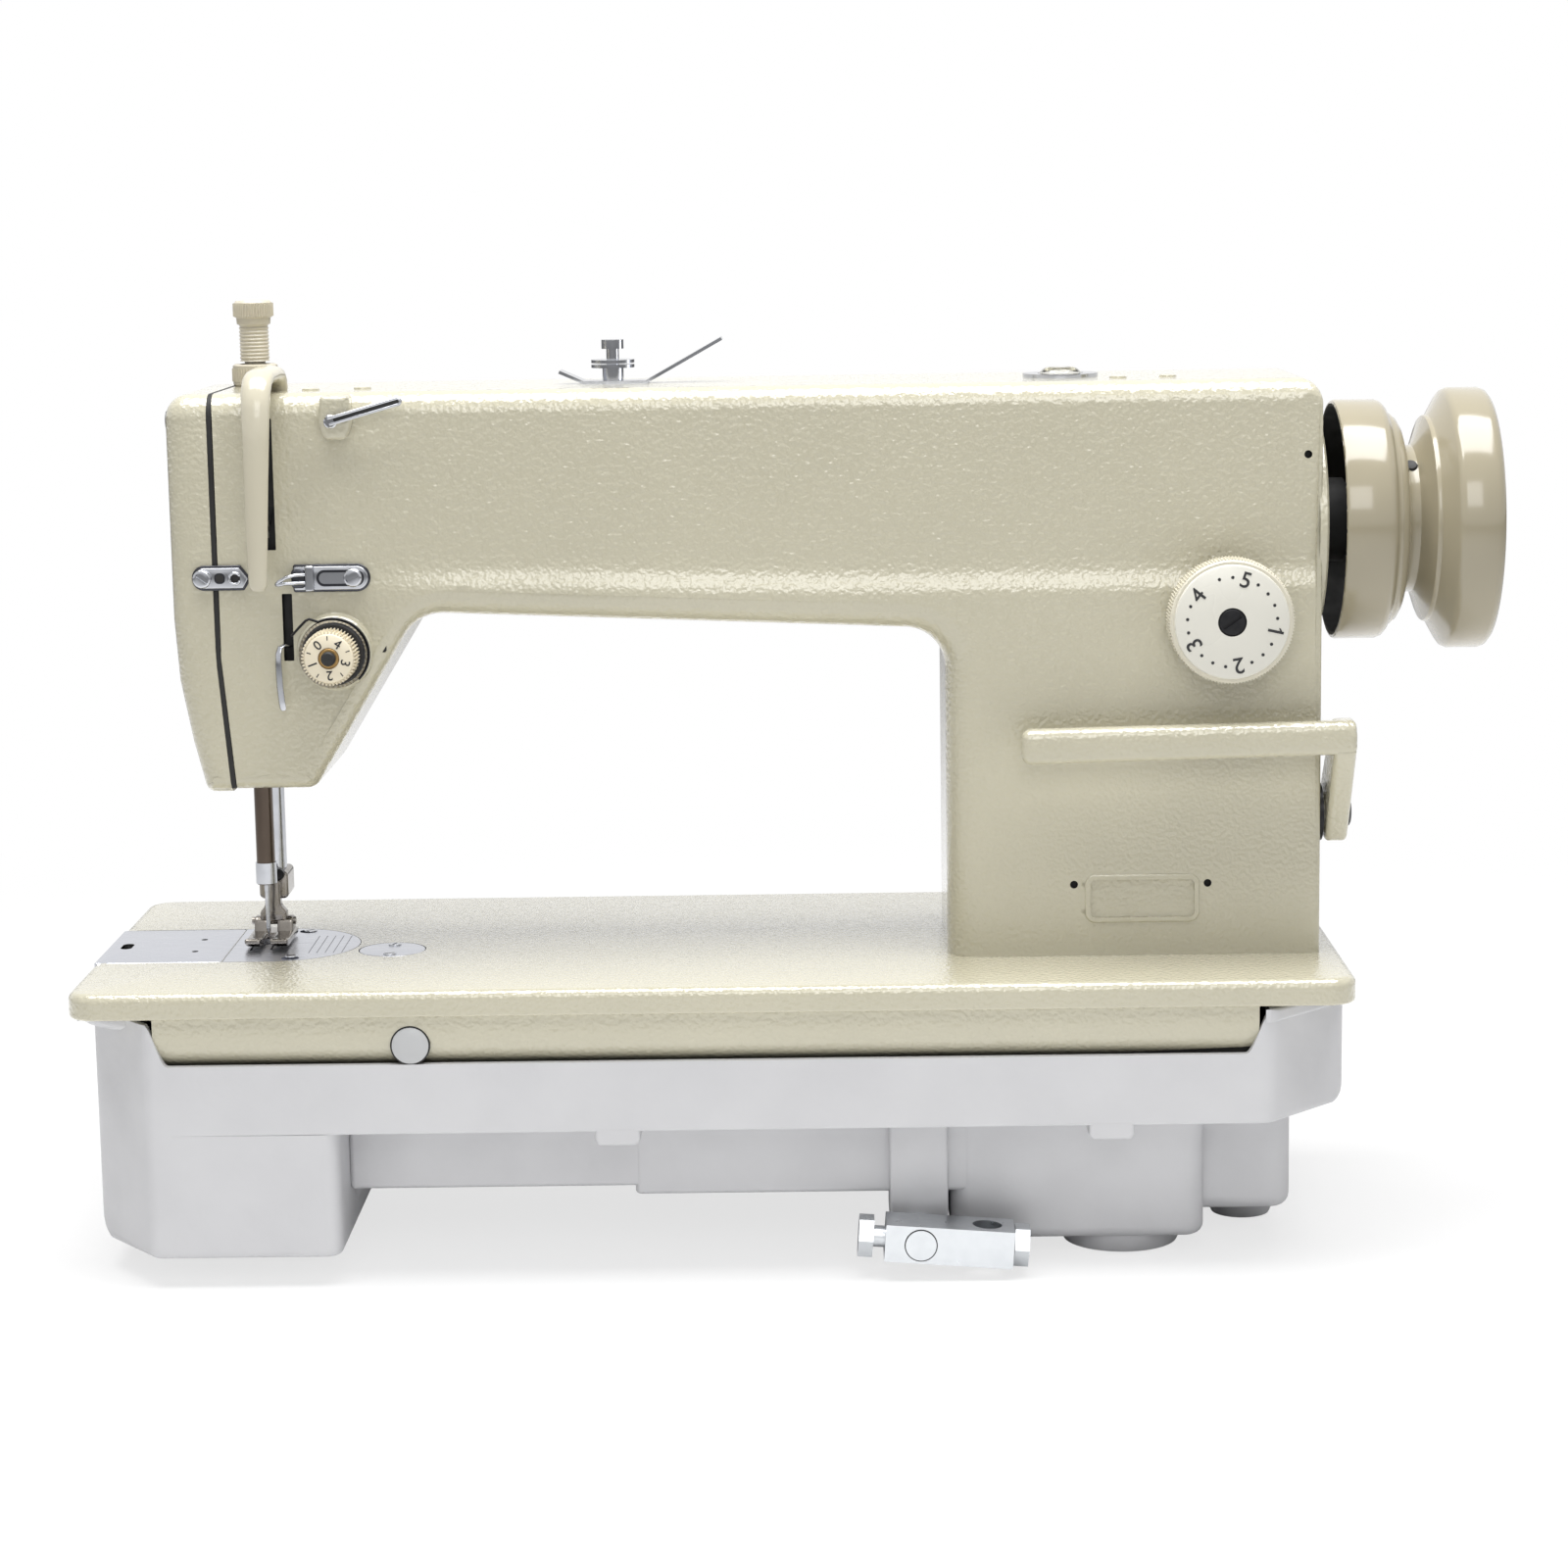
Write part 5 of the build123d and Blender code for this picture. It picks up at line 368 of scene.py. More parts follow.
def ledge_relief(x, z):
    """The arm's front at a point: the lip and column stand out, and a crease runs down the head."""
    ledge = 149.0 - 3.5 * ease(80, 250, x)
    lip = 0.16 * min(max((ledge + 7 - z) / 7, 0.0), 1.0) ** 2 + 0.84 * min(max((ledge - z) / 5.5, 0.0), 1.0)
    crease = math.exp(-((x - 10.6 + 3.8 * ease(90, 136, z)) / 2.4) ** 2) * (1 - ease(122, 146, z))
    return -2.2 * lip * ease(34, 88, x) + 0.7 * crease


tension = (36.0, 120.0)
shaft_line = (0, 160.5)
arm = Shape()
arm_corners = [
    (-3.6, 67.9, 0, 0.5), (26.1, 67.9, 5, 0.8), (66.5, 133.5, 16, 1.2), (264.5, 124.7, 15.5, 1.5),
    (264.5, 0.0, 0, 0), (405.0, 0.0, 0, 0.15), (405.0, 216.5, 9, 1.0), (-7.5, 216.5, 0, 0.05),
    (-7.5, 118.0, 60, 0.05),
]
arm_holes = [
    (oblong(9.3, 14.9, 158.4, 207.4, 0.4), 5.0), (oblong(16.4, 20.2, 116.7, 142.0, 0.4), 5.0),
    (circle(312.2, 27.6, 1.5, 16), 3.0), (circle(362.6, 27.6, 1.5, 16), 3.0), (circle(399.5, 188.5, 1.5, 16), 3.0),
    (oblong(317.2, 358.7, 13.7, 30.4, 3.0), 0.9),
]
arm.prism("Y", arm_corners, -40.0, 44.0, 8.0, 8.0, low_holes=arm_holes, low_grid=2.1, low_relief=ledge_relief)
arm.prism("Y", box_corners(316.3, 359.6, 12.8, 31.3, 4.0), -42.9, -40.5, 0.7, 0,
          low_holes=[(oblong(318.3, 357.6, 14.8, 29.3, 2.0), 1.3)])
arm.lathe("Y", *tension, [(-36.0, 15.4), (-39.6, 15.2), (-40.6, 14.3), (-44.4, 14.0), (-45.2, 13.2), (-45.2, 0)])
arm.prism("Y", [(34.6, 199.5, 3, 1), (43.4, 199.5, 3, 1), (45.6, 206.0, 3, 1), (44.6, 215.6, 1.5, 0.6),
                (34.0, 215.6, 1.5, 0.6),
                (33.0, 206.0, 3, 1)], -46.5, -36.0, 2.4, 0)
for x, y in ((27.0, -18.0), (46.0, -14.0), (331.0, -16.0), (350.0, -12.0)):
    arm.lathe("Z", x, y, [(216.0, 3.4), (217.1, 3.2), (217.3, 2.6), (217.3, 0)], 24)
arm.lathe("X", *shaft_line, [(404.0, 42.0), (406.6, 42.0), (407.4, 41.2), (407.4, 0)], 72)
# Painted shade: a dark boss inside the handwheel's cup hides the shaft, and a dark oval on the head's pad stands
# for the hole there.
arm.look = 1
arm.lathe("X", *shaft_line, [(407.0, 16.0), (417.8, 16.0), (417.8, 0)], 40)
arm.prism("Y", box_corners(52.9, 55.0, 119.4, 125.2, 1.0), -40.2, -38.0)
arm.make("arm_shell", "frame", [CREAM, PAINTED_SHADE], ["arm_casting"])

# Bed casting: a slab with rounded edges on a skirt, in the same wrinkle enamel. Pockets in its
# top take the steel plates, which lie flush.
bed = Shape()


def plate_pocket(grow):
    """The needle plate's outline with its round end, grown on every side."""
    bow = [math.pi * k / 24 for k in range(25)]
    return ([(-13.2 - grow, -33.3 - grow)]
            + [(5.5 + (30.8 + grow) * math.sin(a), -2.5 - (30.8 + grow) * math.cos(a)) for a in bow]
            + [(-13.2 - grow, 28.3 + grow)])


bed.prism("Z", box_corners(-62.6, 413.4, -89, 89, 11), -9.8, 0.0, 1.2, 3.2,
          high_holes=[(plate_pocket(0.0), -29.0), (oblong(-57.4, -13.4, -33.2, 28.3, 0.2), -2.6),
                      (circle(50.0, -14.0, 13.1, 40), -2.6)])
bed.prism("Z", [(-30.5, -87.6, 0, 1), (377.0, -87.6, 0, 0.25), (377.0, 87.6, 0, 1), (-30.5, 87.6, 0, 0.25)],
          -31.0, -9.0, 15.0, 0.0, steps=9, high_holes=[(plate_pocket(0.8), -20.6)])
bed.make("bed_shell", "frame", [CREAM, PAINTED_SHADE], ["bed_casting"])

# Face plate: a thin casting in the same wrinkle enamel, screwed over the head's open end with a
# black gasket in the seam.
face = Shape()
face.prism("Y", [(-15.6, 66.8, 4, 0.6), (-5.2, 66.8, 0, 0.02), (-9.2, 118, 60, 0.02), (-9.2, 216.5, 0, 1),
                 (-25.7, 216.5, 9, 1), (-25.7, 109, 200, 1)], -40.0, 44.0, 8.0, 8.0)
face.make("face_plate_shell", "frame", [CREAM], ["face_plate"])

# Slide plate, needle plate and round cover: ground steel, flush in the bed. The slide plate has
# a finger hole and two pin holes, and the needle plate carries scored seam guides.
# Ground steel: fine grinding marks along one direction.
STEEL = finish("ground_steel", "#C9CBD2", 0.3, 1.0, vary=0.1, grain=14.0, stretch=(1, 12, 1), other="#8E9098")
slide = Shape()
slide.prism("Z", box_corners(-62.3, -13.3, -33.0, 28.0, 1.2), -2.4, 0.06, 0, 0.5,
            high_holes=[(circle(-26.8, 8.7, 1.3, 14), -2.6), (circle(-26.8, -13.3, 1.3, 14), -2.6),
                        (oblong(-57.4, -53.0, -7.5, 2.5, 2.2), -2.6)])
slide.make("slide_plate_shell", "slide", [STEEL, PAINTED_SHADE], ["slide_plate"])
cover = Shape()
cover.prism("Z", box_corners(37.2, 62.8, -26.8, -1.2, 12.79), -2.4, 0.05, 0, 0.35)
cover.make("round_cover_shell", "frame", [STEEL], ["bed_cover"])

# Small slotted screws: turned steel heads with a sawn slot, each copied to its places.
# Bright chrome: polished plate, with darker reflections painted into its colour as blotches.
CHROME = finish("bright_chrome", "#BDBFC4", 0.14, 1.0, vary=0.25, grain=7.0, other="#7C7E85")
copies = bpy.data.node_groups.new("copies_on_points", "GeometryNodeTree")
for title, kind, way in (("Points", "NodeSocketGeometry", "INPUT"), ("Piece", "NodeSocketObject", "INPUT"),
                         ("Finish", "NodeSocketMaterial", "INPUT"), ("Copies", "NodeSocketGeometry", "OUTPUT")):
    copies.interface.new_socket(title, in_out=way, socket_type=kind)
given = node(copies, "NodeGroupInput")
one = node(copies, "GeometryNodeObjectInfo", links={"Object": given.outputs["Piece"]})
angles = node(copies, "GeometryNodeInputNamedAttribute", {"data_type": "FLOAT_VECTOR"}, Name="turn")
facing = node(copies, "FunctionNodeEulerToRotation", links={"Euler": angles.outputs["Attribute"]})
many = node(copies, "GeometryNodeInstanceOnPoints",
            links={"Points": given.outputs["Points"], "Instance": one.outputs["Geometry"],
                                                           "Rotation": facing.outputs["Rotation"]})
real = node(copies, "GeometryNodeRealizeInstances", links={"Geometry": many.outputs["Instances"]})
painted = node(copies, "GeometryNodeSetMaterial", links={"Geometry": real.outputs["Geometry"],
                                                         "Material": given.outputs["Finish"]})
node(copies, "NodeGroupOutput", links={"Copies": painted.outputs["Geometry"]})


def repeat(name, body, shape, spots, look, nodes=(), smooth=38):
    """Copies a small shape to spots of ((x, y, z), (turn about x, y, z in degrees))."""
    piece = bpy.data.objects.new(name + "_piece", shape.mesh(name + "_piece", [look], smooth, (0, 0, 0)))
    points = bpy.data.meshes.new(name + "_points")
    points.from_pydata([metres(*place) for place, _ in spots], [], [])
    turns = points.attributes.new("turn", "FLOAT_VECTOR", "POINT")
    for index, (_, turn) in enumerate(spots):
        turns.data[index].vector = [math.radians(a) for a in turn]
    holder = bpy.data.objects.new(name + "_holder", points)
    for made in (piece, holder):
        bpy.context.scene.collection.objects.link(made)
    sockets = {s.name: s.identifier for s in copies.interface.items_tree if s.in_out == "INPUT"}
    modifier = holder.modifiers.new("copies", "NODES")
    modifier.node_group = copies
    modifier[sockets["Piece"]] = piece
    modifier[sockets["Finish"]] = look
    mesh = bpy.data.meshes.new_from_object(holder.evaluated_get(bpy.context.evaluated_depsgraph_get()))
    mesh.name = name
    holder.modifiers.remove(modifier)
    for made in (piece, holder):
        bpy.data.objects.remove(made)
    return add(name, mesh, body, nodes)


def screw_head(radius, head, slot, depth):
    """A slotted head that faces the front."""
    shape = Shape()
    shape.prism("Y", box_corners(-radius, radius, -radius, radius, radius * 0.999), -head, 0.5, head * 0.45, 0,
                low_holes=[(oblong(-radius * 0.8, radius * 0.8, -slot / 2, slot / 2, slot * 0.2), depth)])
    return shape


repeat("guide_screw_heads", "frame", screw_head(3.5, 1.9, 1.0, 1.0),
       [((-12.9, -41.4, 148.2), (0, 35, 0)), ((43.5, -41.4, 147.9), (0, -25, 0))], CHROME,
       ["thread_guide_screws"])
repeat("plate_screw_heads", "frame", screw_head(2.5, 0.5, 0.8, 0.4),
       [((50.0, -22.6, 0.0), (-90, 0, 20)), ((50.0, -5.4, 0.0), (-90, 0, 70)),
        ((13.0, 23.1, 0.0), (-90, 0, 40)), ((12.2, -24.6, 0.0), (-90, 0, -15))], CHROME, ["plate_screws"])

# Left thread guide: a chromed pressing across the face plate and the head, with an oblong hole, a curled eye and a
# right end cut off at an angle. Its bevelled edges carry a darker chrome that is a painted reflection, and its
# oblong hole is painted shade.
# Chrome edge: the same plate on the bevels, painted dark as a reflection of the dark side of the room that they
# would mirror.
CHROME_PAINTED_REFLECTION = finish("chrome_edge_painted_reflection", "#4E4F54", 0.18, 1.0, vary=0.3, grain=5.0, other="#1E1F22")
left_guide = Shape()
left_outline = [(-16.9, 143.6, 4.6, 1), (2.6, 143.6, 0.8, 1), (5.2, 148.0, 0.8, 1), (1.4, 153.0, 0.8, 1),
                (-16.9, 153.0, 4.6, 1)]
left_face = [(-16.0, 144.5, 3.7, 1), (2.2, 144.5, 0.6, 1), (4.2, 148.0, 0.6, 1), (1.0, 152.1, 0.6, 1),
             (-16.0, 152.1, 3.7, 1)]
for look, outline, front, rear, edge in (
        (1, left_outline, -41.0, -39.8, 0.3), (0, left_face, -41.5, -40.5, 0.3),
        (1, box_corners(-8.4, -4.4, 146.2, 150.2, 1.6), -41.6, -41.0, 0),
        (2, box_corners(-7.8, -5.0, 146.8, 149.6, 1.1), -41.7, -41.0, 0)):
    left_guide.look = look
    left_guide.prism("Y", outline, front, rear, edge, 0)
left_guide.lathe("Y", -0.6, 148.2, [(-41.0, 1.9), (-41.65, 1.9), (-41.65, 0)], 20)
left_guide.look = 0
left_guide.tube([(-0.6 + 2.1 * math.cos(a / 10), -42.2, 148.2 + 2.1 * math.sin(a / 10)) for a in range(6, 58, 3)],
                0.6)
left_guide.make("left_guide_shell", "frame", [CHROME, CHROME_PAINTED_REFLECTION, PAINTED_SHADE], ["left_thread_guide"])

# Right thread guide: a slotted chromed steel pressing with a raised step and a curled loop at its
# left, held to the head by one screw.
right_guide = Shape()
right_outline = [(21.0, 142.6, 1, 1), (49.9, 142.6, 5.1, 1), (49.9, 153.0, 5.1, 1), (21.0, 153.0, 1, 1)]
right_face = [(21.4, 143.4, 0.6, 1), (49.1, 143.4, 4.3, 1), (49.1, 152.2, 4.3, 1), (21.4, 152.2, 0.6, 1)]
# The darker chrome round its rim, round its slot and on the plate at its loop is a painted reflection.
for look, outline, front, rear, edge in (
        (1, right_outline, -41.0, -39.8, 0.3), (0, right_face, -41.5, -40.5, 0.3),
        (1, box_corners(29.8, 47.6, 144.7, 150.9, 3.0), -41.6, -41.0, 0),
        (0, box_corners(30.8, 46.6, 145.7, 149.9, 2.0), -41.7, -41.0, 0),
        (0, box_corners(25.6, 29.0, 142.9, 152.7, 0.8), -43.2, -40.5, 0.8),
        (1, box_corners(20.4, 25.8, 144.2, 151.4, 1.6), -42.6, -40.5, 0.8)):
    right_guide.look = look
    right_guide.prism("Y", outline, front, rear, edge, 0)
right_guide.look = 0
for drop in (-1.5, 1.5):
    right_guide.tube([(25.4, -43.0, 147.8 + drop), (22.0, -44.0, 147.8 + drop), (18.6, -44.6, 147.4 + drop * 0.7),
                      (16.2, -44.4, 146.4 + drop * 0.4), (15.0, -43.2, 145.8)], 0.75)
right_guide.make("right_guide_shell", "frame", [CHROME, CHROME_PAINTED_REFLECTION], ["right_thread_guide"])

# Take-up guard: a painted cast finger that hooks over the arm's top and hangs in front of the
# take-up slot, smoother than the castings.
# Smooth enamel: the castings' paint without wrinkles.
SMOOTH_CREAM = finish("smooth_enamel", "#C3BDA9", 0.22, vary=0.04, grain=60.0, bump=0.06, bump_size=2.5, coat=0.3)
guard = Shape()
guard_path = [(12.0, -13.0, 217.0), (12.0, -14.0, 220.0), (12.0, -18.0, 222.6), (12.0, -30.0, 223.2),
              (12.0, -45.0, 222.8),
              (12.0, -51.0, 221.4), (11.95, -55.2, 217.4), (11.9, -57.2, 211.0), (11.7, -57.9, 200.0),
              (11.3, -58.3, 185.0),
              (10.9, -58.6, 168.0), (10.7, -58.6, 155.0), (10.65, -58.4, 149.0), (10.65, -58.2, 147.0)]
guard.tube(guard_path, lambda t: 5.6 - 2.2 * ease(0.4, 1.0, t), 24, (1, 0, 0), 0.62)
guard.make("take_up_guard_shell", "frame", [SMOOTH_CREAM], ["take_up_guard"])

# Thread hook: a chromed steel wire, flattened at its end, that leaves the lower slot of the head
# and hangs down.
hook_wire = Shape()
hook_wire.tube([(18.2, -36.0, 121.8), (18.0, -42.0, 122.6), (17.2, -44.6, 123.2), (15.9, -45.8, 122.6),
                (15.2, -46.1, 120.0),
                (15.1, -46.2, 115.0), (15.3, -46.2, 108.0), (15.8, -46.1, 102.0), (16.1, -46.0, 99.6)],
               lambda t: 1.0 + 0.6 * ease(0.25, 0.6, t), 14, (1, 0, 0), 0.5)
hook_wire.make("thread_hook_shell", "frame", [CHROME], ["thread_hook"])

# Thread pin: a hairpin of bent, chromed steel wire whose ends sit in the pad at the top of the
# head.
hairpin = Shape()
along = Vector((26.3, 0, 7.2)).normalized()
across = Vector((-along.z, 0, along.x))
start, end = Vector((38.0, -48.0, 206.6)), Vector((63.0, -48.0, 213.5))
bend = [end + 1.15 * (across * math.cos(a) + along * math.sin(a)) for a in [math.pi * k / 8 for k in range(9)]]
hairpin.tube([Vector((38.0, -42.0, 206.6)) + across * 1.15, start + across * 1.15 - along * 0.2, start
              + across * 1.15 + along] + bend
             + [start - across * 1.15 + along, start - across * 1.15 - along * 0.2,
                Vector((38.0, -42.0, 206.6)) - across * 1.15], 0.62)
# A dark wire between the two legs of the pin is painted shade of the arm's front seen between them.
hairpin.look = 1
hairpin.tube([start + along * 1.5 + Vector((0, 0.4, 0)), end + Vector((0, 0.4, 0))], 0.72)
hairpin.look = 0
hairpin.lathe("Y", 37.9, 206.4, [(-46.0, 2.5), (-47.4, 2.5), (-47.8, 2.0), (-47.8, 0)], 24)
hairpin.make("thread_pin_shell", "frame", [CHROME, PAINTED_SHADE], ["arm_thread_pin"])

# Thread tension: a numbered cream plastic nut with a knurled rim on a brass stud, over chromed discs with black
# rings. The stud's dark hollow end and the black rings between the discs are painted shade.
# Cream plastic, turned brass and the black ink of the figures.
CREAM_PLASTIC = finish("cream_plastic", "#E2D8C0", 0.35, vary=0.03)
BRASS = finish("turned_brass", "#A8895A", 0.3, 1.0, vary=0.2, grain=3.0, other="#6B5433")
INK = finish("black_ink", "#1A1A1C", 0.5)


def around(x, z, radius, turn):
    """A point on a circle, turned clockwise from the top."""
    return x + radius * math.sin(math.radians(turn)), z + radius * math.cos(math.radians(turn))


dial = Shape()
dial.lathe("Y", *tension,
           [(-50.2, 5.0), (-50.2, 9.0), (-51.0, 9.4), (-59.9, 9.4), (-60.7, 9.0), (-61.0, 8.6), (-61.0, 4.0),
                              (-60.4, 3.9)], 64)
dial.look = 1
dial.lathe("Y", *tension, [(-60.0, 3.9), (-60.7, 3.85), (-61.0, 3.5), (-61.0, 2.6)], 40)
dial.make("tension_dial_shell", "tension_knob", [CREAM_PLASTIC, BRASS], ["tension_dial"])
ridge = Shape()
ridge.prism("Y", [(-0.4, 0, 0, 0), (0.4, 0, 0, 0), (0.14, 1.0, 0, 0), (-0.14, 1.0, 0, 0)], -5.2, 4.4)
repeat("tension_dial_knurl", "tension_knob", ridge,
       [((x, -55.2, z), (0, a, 0)) for x, z, a in [around(*tension, 9.3, 7.5 * k) + (7.5 * k,) for k in range(48)]],
       CREAM_PLASTIC)


def figures(name, body, marks, size, front, look):
    """Plain figures on a dial's front: (text, x, z, turn), each written with its top outwards."""
    work = bmesh.new()
    for text, x, z, turn in marks:
        curve = bpy.data.curves.new(name, "FONT")
        curve.body = text
        curve.size = size / 1000
        curve.align_x = "CENTER"
        curve.align_y = "CENTER"
        curve.extrude = 0.00004
        curve.bevel_depth = size * 0.009 / 1000
        curve.bevel_resolution = 0
        holder = bpy.data.objects.new(name, curve)
        bpy.context.scene.collection.objects.link(holder)
        mesh = bpy.data.meshes.new_from_object(holder.evaluated_get(bpy.context.evaluated_depsgraph_get()))
        bpy.data.objects.remove(holder)
        bpy.data.curves.remove(curve)
        mesh.transform(Matrix.Translation(metres(x, front, z)) @ Matrix.Rotation(math.radians(turn), 4, "Y")
                       @ Matrix.Rotation(math.pi / 2, 4, "X"))
        work.from_mesh(mesh)
        bpy.data.meshes.remove(mesh)
    made = bpy.data.meshes.new(name)
    work.to_mesh(made)
    work.free()
    made.materials.clear()
    made.materials.append(look)
    return add(name, made, body)


figures("tension_dial_figures", "tension_knob",
        [(text,) + around(*tension, 6.2, turn) + (turn,) for text, turn in
         (("0", -38), ("4", 34), ("3", 106), ("2", 178), ("1", 250))], 5.0, -61.02, INK)
tick = Shape()
tick.prism("Y", [(-0.19, -0.8, 0, 0), (0.19, -0.8, 0, 0), (0.19, 0.8, 0, 0), (-0.19, 0.8, 0, 0)], -0.06, 0.06)
repeat("tension_dial_ticks", "tension_knob", tick,
       [((x, -61.0, z), (0, turn, 0)) for x, z, turn in
        [around(*tension, 7.6, turn) + (turn,) for turn in (-2, 70, 142, 214, 286)]], INK)
# The stud is drawn in the painted shade, for the dark hollow seen in its brass end.
stud = Shape()
stud.lathe("Y", *tension, [(-26.0, 3.0), (-62.4, 2.7), (-63.0, 2.1), (-63.0, 0)], 28)
stud.make("tension_stud_shell", "frame", [PAINTED_SHADE], ["tension_stud"])
discs = Shape()
for level, radius in ((-45.4, 13.0), (-47.6, 12.8)):
    discs.lathe("Y", *tension,
                [(level + 0.2, 3.2), (level + 0.2, radius - 3), (level - 0.9, radius), (level - 1.3, radius),
                                   (level - 0.2, radius - 3.2), (level - 0.2, 3.2)], 56)
# Dark rings between the discs: painted shade of the gaps between them.
discs.look = 1
discs.lathe("Y", *tension, [(-46.4, 3.2), (-46.3, 12.4), (-47.4, 12.4), (-47.4, 3.2)], 48)
discs.lathe("Y", *tension, [(-48.6, 3.2), (-48.5, 11.6), (-49.6, 11.2), (-49.6, 3.2)], 48)
discs.make("tension_discs_shell", "frame", [CHROME, PAINTED_SHADE], ["tension_discs"])

# Check spring: a blacked spring steel wire that is coiled round the discs and leaves them at the
# upper left.
# Blacked steel: oxidised and oiled.
BLACK_STEEL = finish("blacked_steel", "#1B1B1D", 0.35, 0.6, vary=0.2, grain=2.0, other="#38383A")
spring = Shape()
spring.tube([(20.6, -47.0, 127.0), (23.4, -47.2, 130.0), (26.0, -47.4, 132.6), (27.4, -47.4, 133.2)]
            + [(x, -47.0, z) for x, z in [around(*tension, 13.2, turn) for turn in range(-24, 140, 8)]], 0.5, 12)
spring.make("check_spring_shell", "check", [BLACK_STEEL], ["check_spring"])

# Presser thumb screw and its lock nut: beige moulded plastic, knurled, screwed into the top of
# the head on a ringed thread.
# Beige plastic: moulded, a little glossy.
BEIGE_PLASTIC = finish("beige_plastic", "#C4BDAB", 0.35, vary=0.04)
thumb = Shape()
rings = [(226.0 + 1.4 * k / 2, 5.75 - 0.45 * (k % 2)) for k in range(21)]
thumb.lathe("Z", 0, 22.0, [(206.0, 4.0), (225.9, 4.0)] + rings
            + [(240.2, 6.4), (242.6, 6.6), (243.0, 7.3), (248.4, 7.3),
                                                                  (249.3, 6.4), (249.3, 0)], 48)
thumb.make("pressure_screw_shell", "pressure", [BEIGE_PLASTIC], ["pressure_screw"])
lock = Shape()
lock.lathe("Z", 0, 22.0, [(216.5, 5.9), (216.5, 8.0), (217.2, 8.6), (224.4, 8.6), (224.9, 7.8), (224.9, 5.9)], 48)
lock.make("pressure_lock_nut_shell", "frame", [BEIGE_PLASTIC], ["pressure_lock_nut"])
upright_ridge = Shape()
upright_ridge.prism("Z", [(-0.42, 0, 0, 0), (0.42, 0, 0, 0), (0.0, 0.7, 0.12, 0)], -2.5, 2.5)
for name, body, level, radius in (("pressure_screw_knurl", "pressure", 245.7, 7.2),
                                  ("lock_nut_knurl", "frame", 220.8, 8.4)):
    repeat(name, body, upright_ridge,
           [((radius * math.cos(math.radians(a)), 22.0 + radius * math.sin(math.radians(a)), level), (0, 0, a - 90))
            for a in range(0, 360, 8)], BEIGE_PLASTIC)

# Stitch length dial: white plastic face with a fine knurled rim, figures and dots, held by a
# black slotted screw in its middle.
# White plastic of the face, and the same plastic a little duller on the knurled rim, painted darker there as its
# shade.
WHITE_PLASTIC = finish("white_plastic", "#D8D6CC", 0.3, vary=0.03)
RIM_PLASTIC_PAINTED_SHADE = finish("knurled_plastic_painted_shade", "#D2CDBC", 0.4, vary=0.04)
stitch_middle = (369.5, 128.6)
stitch = Shape()
stitch.lathe("Y", *stitch_middle, [(-59.85, 5.3), (-59.85, 20.4), (-59.5, 21.0), (-58.4, 21.3)], 96)
stitch.look = 1
stitch.lathe("Y", *stitch_middle,
             [(-58.4, 21.3), (-58.4, 22.2), (-57.8, 22.8), (-46.0, 22.8), (-45.2, 22.0), (-45.2, 9.0),
              (-41.0, 9.0)], 96)
# The ring round the middle screw is painted shade, for the hole there.
stitch.look = 2
stitch.lathe("Y", *stitch_middle, [(-59.8, 5.25), (-59.0, 5.25), (-59.0, 4.3)], 40)
stitch.make("stitch_dial_shell", "stitch_knob", [WHITE_PLASTIC, RIM_PLASTIC_PAINTED_SHADE, PAINTED_SHADE], ["stitch_dial"])
repeat("stitch_dial_screw", "stitch_knob", screw_head(4.9, 1.0, 1.2, 0.9),
       [((stitch_middle[0], -58.9, stitch_middle[1]), (0, -35, 0))], BLACK_STEEL)
fine_ridge = Shape()
fine_ridge.prism("Y", [(-0.4, 0, 0, 0), (0.4, 0, 0, 0), (0.0, 0.75, 0.08, 0)], -6.0, 5.6)
repeat("stitch_dial_knurl", "stitch_knob", fine_ridge,
       [((x, -51.8, z), (0, a, 0)) for x, z, a in
        [around(*stitch_middle, 22.7, a) + (a,) for a in range(0, 360, 3)]], RIM_PLASTIC_PAINTED_SHADE)
dial_steps = [360 * k / 21 for k in range(21)]
dial_marks = {1: "5", 6: "1", 10: "2", 14: "3", 18: "4"}
figures("stitch_dial_figures", "stitch_knob",
        [(text,) + around(*stitch_middle, 16.0, dial_steps[k]) + (dial_steps[k],) for k,
         text in dial_marks.items()],
        8.4, -59.9, INK)
dot = Shape()
dot.lathe("Y", 0, 0, [(-0.06, 0), (-0.06, 0.62), (0.05, 0.62)], 14)
flag = Shape()
flag.prism("Y", [(-1.5, 1.2, 0, 0), (-0.1, 2.1, 0, 0), (-0.1, 2.9, 0, 0), (-1.5, 1.8, 0, 0)], -0.08, 0.05)
one_x, one_z = around(*stitch_middle, 16.0, dial_steps[6])
repeat("stitch_dial_flag", "stitch_knob", flag, [((one_x, -59.9, one_z), (0, dial_steps[6], 0))], INK)
dot_places = [around(*stitch_middle, 16.6, a) for k, a in enumerate(dial_steps) if k not in dial_marks and k != 19]
repeat("stitch_dial_dots", "stitch_knob", dot, [((x, -59.86, z), (0, 0, 0)) for x, z in dot_places], INK)

